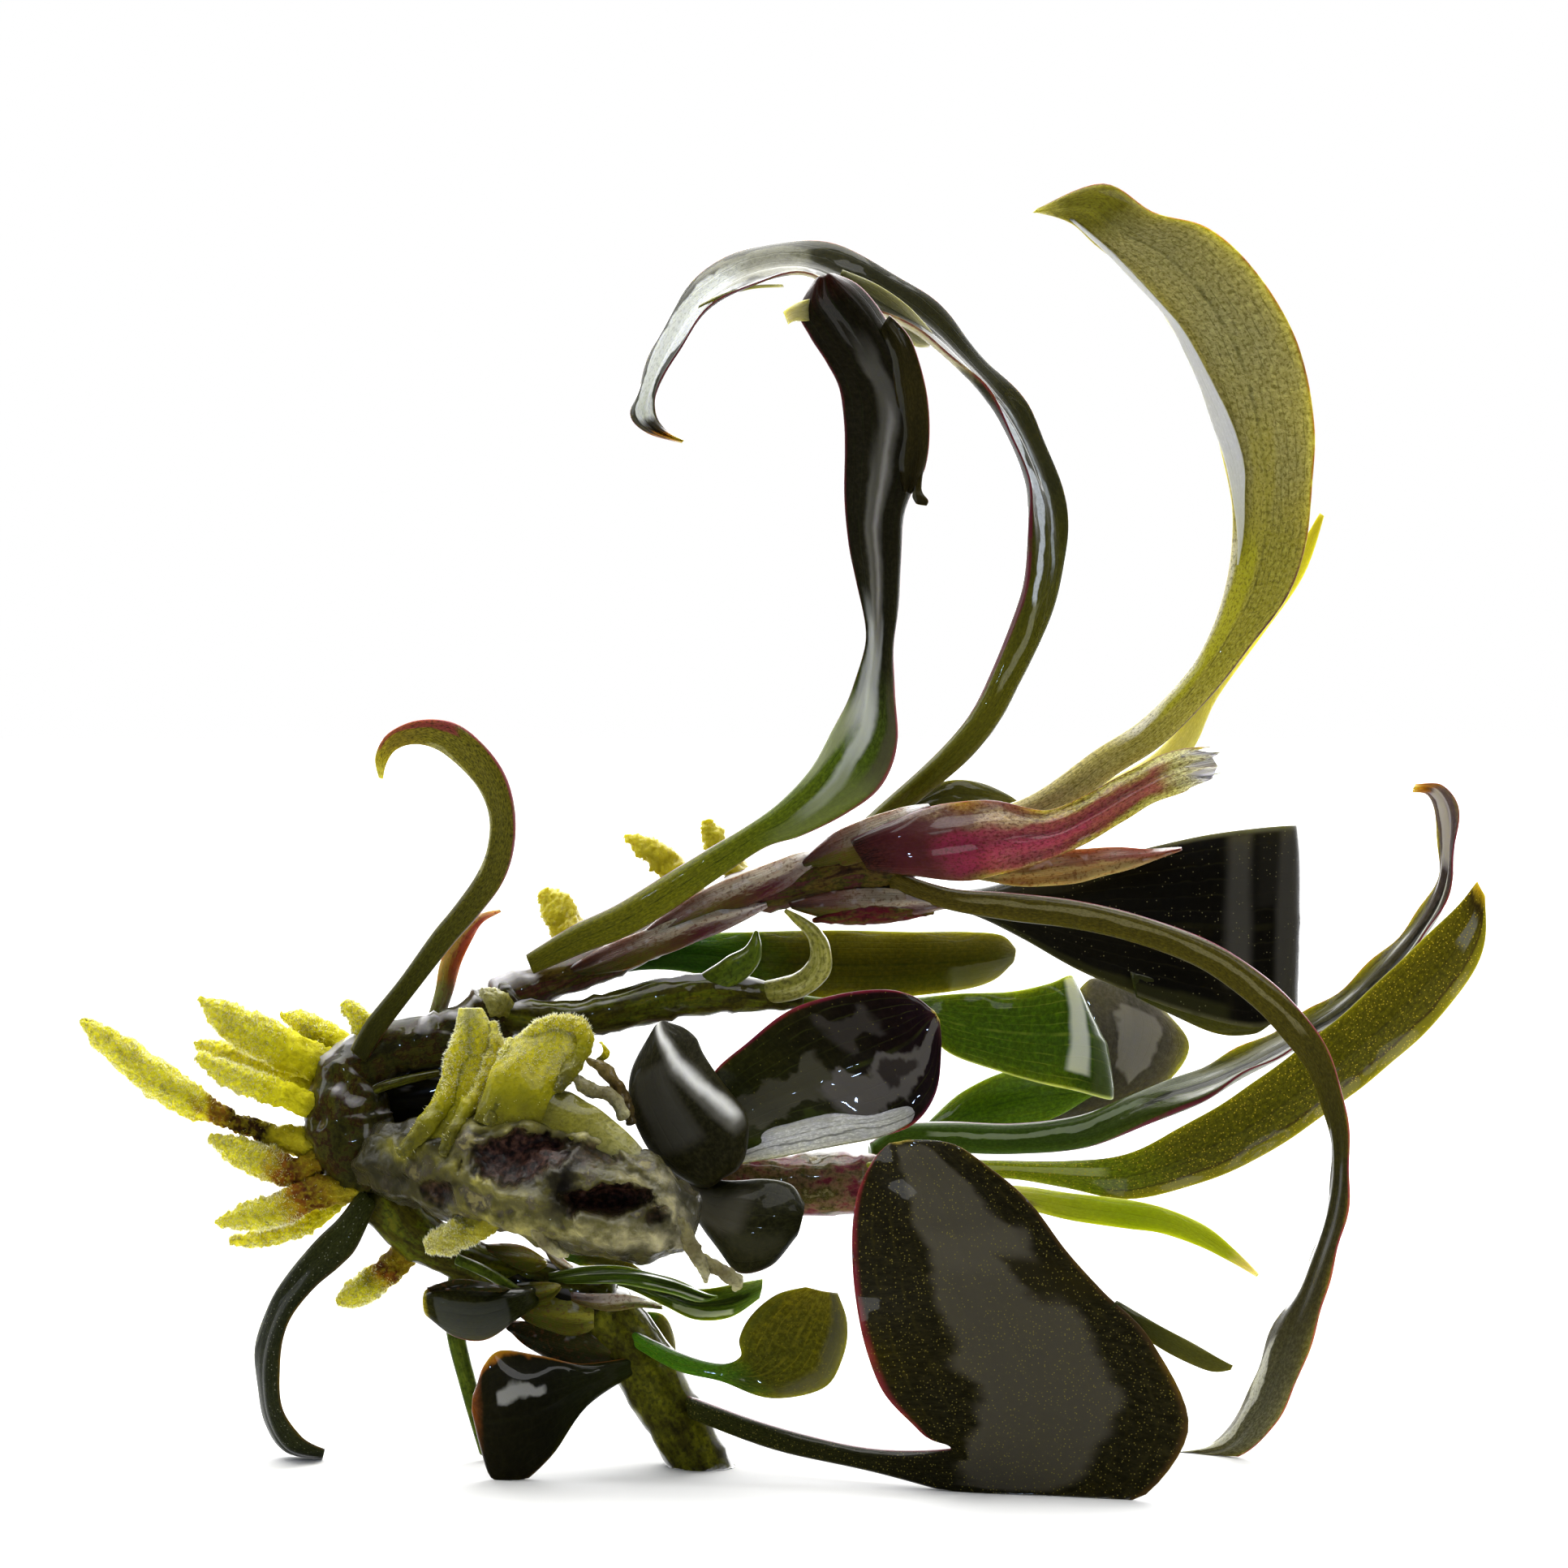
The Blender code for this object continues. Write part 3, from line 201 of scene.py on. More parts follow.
# %% Lamps
LAMPS = {
    # name: place and target in metres, width, height, watts, colour
    "softbox_behind": ((0.10, 0.55, 0.22), (0, 0, 0.04), 0.9, 0.6, 6.5, "ffffff"),
    "softbox_above": ((-0.05, 0.10, 0.55), (0, 0, 0), 0.8, 0.6, 5.5, "fffefa"),
    "softbox_right": ((0.22, -0.30, 0.36), (0.01, 0, 0.03), 0.24, 0.20, 0.42, "ffffff"),
    "softbox_left": ((-0.42, 0.02, 0.22), (-0.02, 0, 0.03), 0.12, 0.35, 0.30, "f6faff"),
    "small_lamp": ((-0.12, -0.36, 0.20), (0, 0, 0.03), 0.012, 0.012, 0.09, "b9d4ff"),
}
for name, (place, target, width, height, watts, tint) in LAMPS.items():
    lamp_data = bpy.data.lights.new(name, "AREA")
    lamp_data.shape = "RECTANGLE"
    lamp_data.size = width
    lamp_data.size_y = height
    lamp_data.energy = watts
    lamp_data.color = colour(tint)[:3]
    lamp = bpy.data.objects.new(name, lamp_data)
    lamp.location = place
    lamp.rotation_mode = "QUATERNION"
    lamp.rotation_quaternion = (Vector(target) - Vector(place)).to_track_quat("-Z", "Y")
    lamp.visible_camera = False
    bpy.context.scene.collection.objects.link(lamp)
print(len(LAMPS), "lamps")

# %% [markdown]
# ## The plan of the plant
# These tables are the drawing of the plant. A stem, root or shoot is a row of points along its
# middle with a radius. A leaf is a row of cross-sections, each with its two edges, how deep it
# lies, and its lean: how much nearer the second edge is. Modelling by hand with a grab brush would
# also do, but a table can be read, checked and changed one leaf at a time.

# %% Stems in the plan
# The rhizome and its branches: (across, up, depth, radius) along each piece, from its base
STEMS = {
    "rhizome_main": [
        (22.8, 17.4, -1, 2), (22, 19.2, -0.9, 2.7), (21.4, 21.4, -0.6, 2.7), (21.9, 24, 0, 2.1),
        (24.5, 25.5, 0, 1.8), (27.5, 26.1, 0, 1.8), (30.3, 27.3, 0.2, 1.9), (31.8, 28.4, 0.3, 1.6)],
    "rhizome_cut": [
        (23.2, 18.6, -2, 2.2), (25.4, 18.4, -3.8, 2.9), (28.4, 18.2, -5.6, 3.7), (32, 17.8, -7.4, 4.1),
        (36.5, 17.2, -9, 4.4), (40.2, 16.4, -10, 3.9), (42.4, 15.7, -10.4, 2.5)],
    "rhizome_upper": [
        (30.8, 28.4, 0.4, 1.5), (33.4, 29.4, 0.7, 1.35), (36.4, 30.5, 0.9, 1.2), (40, 32, 0.9, 1.15),
        (45, 34.6, 0.7, 1.35), (49.5, 35.9, 0.5, 1.6), (53, 36.9, 0.3, 2.3), (55.8, 36.6, 0.1, 1.7)],
    "rhizome_middle": [
        (31.2, 27.5, -0.2, 1.1), (33, 27.3, -0.8, 1.15), (36, 27.3, -1, 1.15), (40.3, 28.3, -1, 1.3),
        (44, 28.8, -0.8, 1.25), (47.3, 28.6, -0.3, 0.9), (49.2, 28.4, 0.2, 0.6)],
    "rhizome_lower": [
        (23.4, 16.4, -1, 1.7), (25.6, 14, -0.8, 1.6), (29.5, 12.2, -0.5, 1.4), (33.8, 11, -0.5, 1.5),
        (37, 9.7, -0.8, 1.9)],
    "rhizome_back": [
        (24.2, 18.4, 0.8, 1.5), (30, 17.6, 2, 1.5), (38, 17.6, 2, 1.4), (45, 17.4, 1.6, 1.6),
        (50, 17, 1.2, 2), (53, 17.2, 1.2, 1.9), (54.8, 17.6, 1.4, 1.2)],
    "stem_low": [
        (37.2, 9.4, -0.9, 1.9), (39.2, 6.6, -1.2, 2), (40.8, 4, -1.5, 1.95), (42.6, 0.9, -1.8, 1.9),
        (43.6, -1.2, -2, 1.9)],
}
print(len(STEMS), "stems")

# %% Roots in the plan
# Stubby and club-shaped: (across, up, depth, radius), from the free tip to the rhizome
ROOTS = {
    "root_long_left": [
        (4.95, 27.1, -1, 0.15), (6.6, 25.9, -1, 0.8), (9.6, 23.6, -0.9, 1.15), (12.2, 21.9, -0.8, 0.95),
        (14.2, 21, -0.7, 0.55), (16, 20.3, -0.7, 0.6), (18.4, 19.7, -0.7, 0.95), (20.6, 19.8, -0.7, 0.9)],
    "root_left_top": [
        (12.3, 28.5, 0.6, 0.2), (14, 27.2, 0.6, 1), (16.5, 25.9, 0.5, 1.25), (19, 24.7, 0.4, 1.2),
        (21.4, 23.8, 0.2, 1)],
    "root_left_upper": [
        (12, 25.7, 2.6, 0.2), (13.5, 25.2, 2.6, 0.75), (15.5, 24.5, 2.5, 0.85), (17.5, 23.8, 2.2, 0.85),
        (20.6, 22.4, 1.2, 0.8)],
    "root_left_middle": [
        (12.2, 25, -1.6, 0.2), (14, 23.8, -1.6, 0.7), (16, 23.1, -1.6, 0.8), (17.8, 22.5, -1.5, 0.8),
        (20.6, 21.6, -1.2, 0.75)],
    "root_upper_short": [
        (17.3, 27.5, 2.6, 0.2), (18.5, 27, 2.5, 0.75), (20.2, 26, 2.1, 0.9), (22.4, 24.8, 1.1, 0.8)],
    "root_top_tiny": [(21.2, 28.2, -1.2, 0.2), (21.9, 27.4, -1.1, 0.65), (23.4, 25.8, -0.6, 0.7)],
    "root_left_low": [
        (12.9, 19.9, -1.8, 0.2), (14.5, 19.2, -1.8, 0.85), (16.5, 18.3, -1.8, 0.95),
        (18.4, 17.8, -1.7, 0.8), (21, 19.4, -1.2, 0.75)],
    "root_lower_left": [
        (13.3, 14.7, -2.8, 0.2), (15, 15, -2.8, 0.8), (17, 15.5, -2.7, 1), (19.2, 16.4, -2.3, 1),
        (22.2, 17, -1.7, 0.9)],
    "root_lower_thin": [
        (14.2, 13.5, 0.2, 0.2), (16, 13.8, 0.2, 0.65), (18, 14.4, 0.2, 0.7), (20.2, 15.8, 0.1, 0.7),
        (21.8, 17.6, -0.2, 0.7)],
    "root_under": [
        (20.8, 9.8, -0.6, 0.2), (22, 10.4, -0.6, 0.8), (23.6, 11.4, -0.6, 0.85), (25.8, 13.4, -0.7, 0.8)],
    "root_front_low": [
        (26.3, 13.2, -8.6, 0.3), (27.4, 13.6, -8.6, 0.9), (29.4, 14.6, -8.4, 0.9), (31.2, 16, -8, 0.8)],
    "root_front_tall": [
        (29.4, 27.4, -5, 0.4), (29.1, 26.3, -5, 1.15), (28.2, 24.3, -5, 1.2), (27.2, 22, -5, 1.2),
        (26.8, 19.4, -4.8, 1.1)],
    "root_front_square": [
        (34.8, 26.3, -6.4, 1.2), (34, 24.8, -6.6, 1.5), (32.9, 22.8, -6.9, 1.6), (32.2, 19.8, -7.2, 1.5)],
    "root_top_pointed": [
        (38.5, 38.5, 2.9, 0.15), (39.4, 38, 2.9, 0.6), (40.7, 37.2, 2.8, 0.8), (42.2, 35.6, 2.2, 0.8),
        (43.4, 33.8, 1.1, 0.7)],
    "root_top_ragged": [
        (43.5, 39.4, 3, 0.3), (43.9, 38.5, 3, 0.65), (44.9, 37, 2.6, 0.7), (46.4, 35.4, 1.3, 0.7)],
    "root_stub_stem": [
        (33.4, 35, 2.8, 0.4), (34.1, 34.3, 2.8, 1), (35, 32.9, 2.4, 1.05), (35.9, 30.9, 1.2, 0.9)],
    "root_bud_fork": [(29.7, 29, -1.6, 0.3), (30.5, 28.4, -1.7, 0.75), (31, 27.6, -0.6, 0.75)],
}
print(len(ROOTS), "roots")

# %% Shoots in the plan
# Small tapering shoots and thin stalks: (across, up, depth, radius)
SHOOTS = {
    "young_leaf_rolled": [
        (43, 29, -0.6, 0.8), (45.1, 30.2, -1.3, 0.9), (46.3, 31.2, -1.4, 0.65), (46.6, 32.6, -1.4, 0.15)],
    "young_leaf_hooked": [
        (47, 28.8, -0.4, 0.7), (49.2, 29.3, -1.2, 0.8), (50.5, 30.6, -1.6, 0.75), (50.2, 32.4, -1.7, 0.5),
        (48.4, 33.9, -1.7, 0.15)],
    "bud_spindle": [
        (50.1, 33.3, -0.9, 0.15), (51.8, 33.6, -1.2, 0.6), (53.8, 33.9, -1.3, 0.85),
        (55.8, 33.9, -1.3, 0.6), (57.5, 33.8, -1.3, 0.15)],
    "stalk_thin": [(28.2, 12.4, -3.2, 0.35), (30.2, 11.5, -3.6, 0.35), (32, 10.3, -3.4, 0.35)],
    "stalk_low": [
        (28.3, 12, -0.6, 0.6), (28, 8.5, -0.4, 0.6), (28.9, 4.5, -0.2, 0.55), (30, 0.6, 0, 0.5)],
}
print(len(SHOOTS), "shoots")

# %% The tall leaves in the plan
# One edge (across, up), the other edge (across, up), depth and lean, from the base to the tip
LEAVES = {
    "leaf_tall": [
        (53.6, 38.3, 54, 36.8, 0.4, 0), (59, 39.6, 59.8, 37.9, 0.5, 0), (63.4, 41, 64.6, 39.3, 0.6, 0),
        (67.4, 43.8, 68.7, 42.2, 0.8, 0), (70.2, 45.6, 71.6, 44.1, 1.1, 0.2),
        (72.8, 48.2, 74.5, 47, 1.5, 0.5), (74.3, 50.6, 76.9, 50, 1.9, 0.8),
        (75.4, 53.5, 79.2, 53.2, 2.3, 1.2), (75.8, 57, 80.4, 56.6, 2.6, 1.6),
        (75.6, 60.2, 80.8, 60.1, 2.8, 2), (74.4, 64.8, 80.8, 64, 2.8, 2.2),
        (72.9, 68.3, 79.9, 68.8, 2.6, 2.2), (71.3, 70.9, 77.5, 72.8, 2.2, 2),
        (69.4, 73.1, 74.4, 75.9, 1.7, 1.8), (67.4, 74.9, 71, 76.9, 1.2, 1.2),
        (65.9, 76.2, 68, 78.6, 0.8, 0.6), (63.6, 76.9, 63.9, 77.2, 0.4, 0)],
    "leaf_tall_young": [
        (54.5, 38, 54.8, 37.3, 2.4, 0), (62.5, 39.9, 62.9, 38.9, 3, 0), (68.5, 42.1, 69.3, 41.1, 3.4, 0),
        (71.8, 44.3, 73.1, 43.3, 3.8, 0), (73.5, 47.5, 75, 47, 4.4, 0), (76.6, 51.7, 77.8, 50.9, 5.4, 0),
        (79.2, 55, 80.3, 54.5, 6, 0), (81.3, 58.4, 81.6, 58.2, 6, 0)],
    "leaf_arch": [
        (51.5, 37.9, 52.3, 36.8, 1.6, 0), (53.8, 40.1, 54.7, 39, 2.2, 0),
        (56.5, 42.5, 57.6, 41.4, 2.6, 0), (58.5, 44.5, 59.9, 43.4, 3, 0),
        (59.9, 46.3, 61.6, 45.6, 3.4, -0.4), (61, 48.4, 62.8, 48, 3.8, -0.8),
        (62.3, 51.5, 64.3, 51.3, 4.4, -1.4), (63.1, 54.3, 65.2, 54.3, 4.9, -2),
        (63.3, 57.5, 65.5, 57.4, 5.3, -2.6), (63, 60.5, 64.8, 60.9, 5.6, -3.2),
        (61.9, 63.5, 63.2, 64.4, 5.8, -3.8), (60, 66.3, 60.9, 67.1, 5.9, -4.4),
        (57.4, 68.7, 58.3, 70.1, 5.9, -4.8), (55, 70, 56.3, 71.9, 5.8, -4.8),
        (52.3, 71.4, 53.3, 73.8, 5.5, -4.6), (49.5, 72.8, 49.8, 74.9, 5.1, -4.4),
        (46.4, 72.4, 45.9, 74.4, 4.6, -4), (43.6, 70.7, 42.3, 72, 4, -3.4),
        (41.8, 68.4, 40.4, 68.8, 3.4, -2.6), (40.6, 66.1, 39.5, 66.2, 2.9, -1.4),
        (40.4, 64.6, 38.8, 64.5, 2.5, 0), (41, 63.6, 39.9, 63.3, 2.3, 0), (42.2, 62.9, 42, 62.7, 2.2, 0)],
    "leaf_folded": [
        (32.4, 31.2, 32.9, 30, -1.6, 0), (35.3, 33, 36, 31.3, -1.7, 0), (37.8, 34.2, 38.6, 32.3, -1.8, 0),
        (40.3, 35.7, 41.2, 33.8, -1.8, 0), (43.6, 37.7, 44.7, 36.2, -1.8, 0),
        (46.1, 39.2, 47.2, 37.8, -2, 0.2), (48, 40.6, 49.4, 38.5, -2.3, 0.4),
        (49.9, 42.6, 52.2, 39.9, -2.8, 0.8), (51.3, 45, 54.3, 41.6, -3.3, 1),
        (52.3, 47.1, 55.3, 44.4, -3.7, 0.8), (53.1, 49.4, 55.1, 47.6, -4, 0.4),
        (53.3, 51.4, 55.1, 50.4, -4.2, 0), (52.7, 54.4, 55.5, 53.4, -4.5, -0.4),
        (52.1, 58, 55.7, 57.6, -4.8, -0.8), (52.1, 62, 56.7, 61, -5, -1),
        (51.9, 65.7, 57.2, 64.6, -5.1, -1), (51, 67.6, 56, 67.8, -5.1, -0.8),
        (49.9, 69.4, 54.7, 70.3, -5, -0.6), (49.2, 70.9, 53, 72.4, -4.8, -0.3),
        (50.2, 72.8, 51.4, 73.2, -4.6, 0)],
    "leaf_hook": [
        (21.6, 25.4, 22.6, 24.6, -1.8, 0), (22.6, 27.2, 23.8, 26.5, -2, 0),
        (24.6, 29.7, 25.7, 29, -2.3, 0), (26.6, 32.5, 27.9, 31.8, -2.7, 0),
        (27.9, 34.1, 29.5, 33.6, -3, 0.2), (29.2, 35.9, 30.9, 35.5, -3.3, 0.4),
        (30, 37.6, 31.6, 37.5, -3.6, 0.6), (30.2, 39.5, 31.7, 39.9, -3.9, 0.8),
        (29.7, 41.1, 31.1, 42.2, -4.2, 1), (28.6, 42.5, 29.8, 44.1, -4.5, 1),
        (27.1, 43.7, 28, 45.4, -4.8, 0.8), (25.6, 44.1, 25.7, 45.6, -5, 0.6),
        (24.4, 43.8, 23.9, 44.8, -5.1, 0.3), (23.8, 42.9, 23.1, 43.4, -5.1, 0),
        (23.6, 42, 23.3, 42.1, -5, 0)],
    "leaf_long_arch": [
        (54.8, 35.2, 55, 36.4, -1.2, 0), (58.2, 34, 58.5, 35.3, -1.5, 0), (62, 33.3, 62.3, 35, -1.8, 0),
        (66, 32.8, 66.5, 34.5, -2.2, 0), (69.9, 31.9, 70.6, 33.5, -2.8, 0),
        (73.8, 30.4, 74.8, 31.9, -3.4, 0.2), (76.7, 28.4, 78.1, 29.7, -4, 0.4),
        (78.9, 26.2, 80.5, 27.3, -4.4, 0.6), (80.5, 24, 82.1, 24.6, -4.6, 0.8),
        (81.6, 21.3, 82.9, 21.5, -4.6, 1.2), (82, 18.3, 83.1, 18.1, -4.4, 1.6),
        (81.6, 15.3, 82.8, 14.8, -3.8, 2), (80.1, 11.2, 81.7, 10.9, -3, 2.4),
        (78.2, 8.1, 80.9, 7.9, -2, 2.4), (77.2, 5.2, 79.8, 4.9, -1, 2.2), (76, 2.8, 78.4, 2.2, 0.2, 2),
        (74.4, 1, 76.2, 0.3, 1.4, 1.6), (71.6, 0.5, 72, 0.1, 3, 0.4)],
}
print(len(LEAVES), "tall leaves")

# %% The leaves at the right in the plan
LEAVES |= {
    "leaf_black": [
        (56, 35.5, 56.4, 34.6, 1.6, 0), (59.5, 35.2, 60, 33.6, 2.8, 0),
        (62.5, 35.8, 63.1, 32.1, 3.4, 0.4), (66, 36.6, 66.5, 30.2, 3.6, 0.8),
        (70, 37.6, 70, 28.7, 3.7, 1), (74, 38.5, 73.8, 27.4, 3.8, 1), (77.5, 39, 77.3, 26.7, 4.2, 1),
        (79.7, 39.15, 79.5, 27.4, 5.2, 0.8), (80, 39, 79.9, 28, 7.2, 0.4), (79.2, 37, 79, 29.5, 9.6, 0),
        (77.8, 35, 77.6, 32, 11.6, 0)],
    "leaf_speckled": [
        (53, 18.4, 53.1, 17.5, 0.2, 0), (57.5, 18.6, 57.5, 17.5, 0.4, 0), (62, 18.5, 62, 17.4, 0.6, 0),
        (66, 18.5, 65.7, 16.8, 0.6, 0.2), (69.4, 18.9, 69.4, 16.1, 0.7, 0.6),
        (72.5, 20.4, 73.4, 16.9, 0.9, 1), (76, 22.4, 77.4, 18.5, 1.2, 1.4),
        (79.5, 24.9, 81.3, 21, 1.5, 1.6), (82.8, 27.5, 85, 23.8, 1.9, 1.6),
        (85.8, 30.3, 88.1, 26.6, 2.4, 1.4), (88.3, 32.7, 90.5, 29.6, 3, 1.2),
        (90, 34.4, 91.5, 32, 3.6, 0.8), (91, 35.7, 91.5, 34.8, 4, 0.2)],
    "leaf_silver": [
        (53.6, 19.6, 53.8, 18.2, 2.6, 0), (55.4, 20.7, 55.6, 19.2, 3.2, 0),
        (58.5, 20.9, 58.5, 19, 3.4, 0), (62.5, 20.8, 62.5, 18.9, 3.5, 0),
        (66.5, 21.3, 67, 19.3, 3.7, 0.4), (69.8, 22.5, 71, 20.9, 4, 1.4),
        (72.8, 23.5, 74, 22.1, 4.4, 2.4), (75.9, 24.9, 77.2, 23.8, 4.9, 3),
        (79.5, 26.8, 80.6, 25.6, 5.4, 3.2), (82.5, 28.7, 83.7, 27.5, 5.9, 3),
        (85.2, 31.2, 86.3, 30.2, 6.4, 2.6), (87.4, 33.6, 88.4, 33, 6.9, 2.2),
        (88.5, 35.7, 89.4, 35.4, 7.3, 1.8), (88.7, 37.8, 89.7, 37.9, 7.6, 1.4),
        (88.4, 39.8, 89.8, 40.3, 7.8, 1), (87.9, 41, 88.8, 41.7, 7.8, 0.4),
        (87, 41.2, 87.2, 41.7, 7.7, 0)],
    "leaf_green": [
        (48.8, 28.8, 48.8, 28, 0.6, 0), (53, 28.3, 53, 27.4, 2.6, 0), (56, 28.5, 56.4, 26.9, 3.4, 0.2),
        (59.2, 28.8, 58.5, 25.1, 3.8, 0.4), (62.3, 28.9, 61.5, 24, 4.2, 0.4),
        (64.6, 29.4, 64.3, 23.2, 4.6, 0.4), (66.2, 29.9, 66.8, 22.7, 5.3, 0.2),
        (66.6, 29, 68.6, 22.3, 6.6, 0), (66.6, 27.6, 68.6, 22.8, 8.2, 0),
        (66.2, 26.2, 67.4, 23.8, 9.4, 0)],
    "leaf_green_back": [
        (53.6, 19.4, 53.8, 18.4, 5, 0), (56.5, 20.4, 57, 19.3, 6.4, 0), (59.4, 22.8, 60, 20, 7.6, 0.2),
        (62.5, 24.1, 63.1, 20.5, 8.6, 0.2), (65.5, 23.9, 65.6, 21.4, 9.6, 0),
        (67.4, 23.2, 67.4, 22.5, 10.4, 0)],
    "leaf_grey_back": [
        (53.3, 18.6, 53.5, 17.6, 6.4, 0), (60, 20.8, 60.3, 19.9, 9, 0), (66.5, 23.5, 67.5, 21.3, 11, 0),
        (66.9, 26.3, 71.5, 23, 11.8, 0.4), (66.3, 28.5, 73.3, 25.5, 12.4, 0.6),
        (67, 29.6, 71.8, 27.8, 12.8, 0.4), (67.8, 29.8, 70, 29.4, 13, 0)],
}
print(len(LEAVES), "leaves")

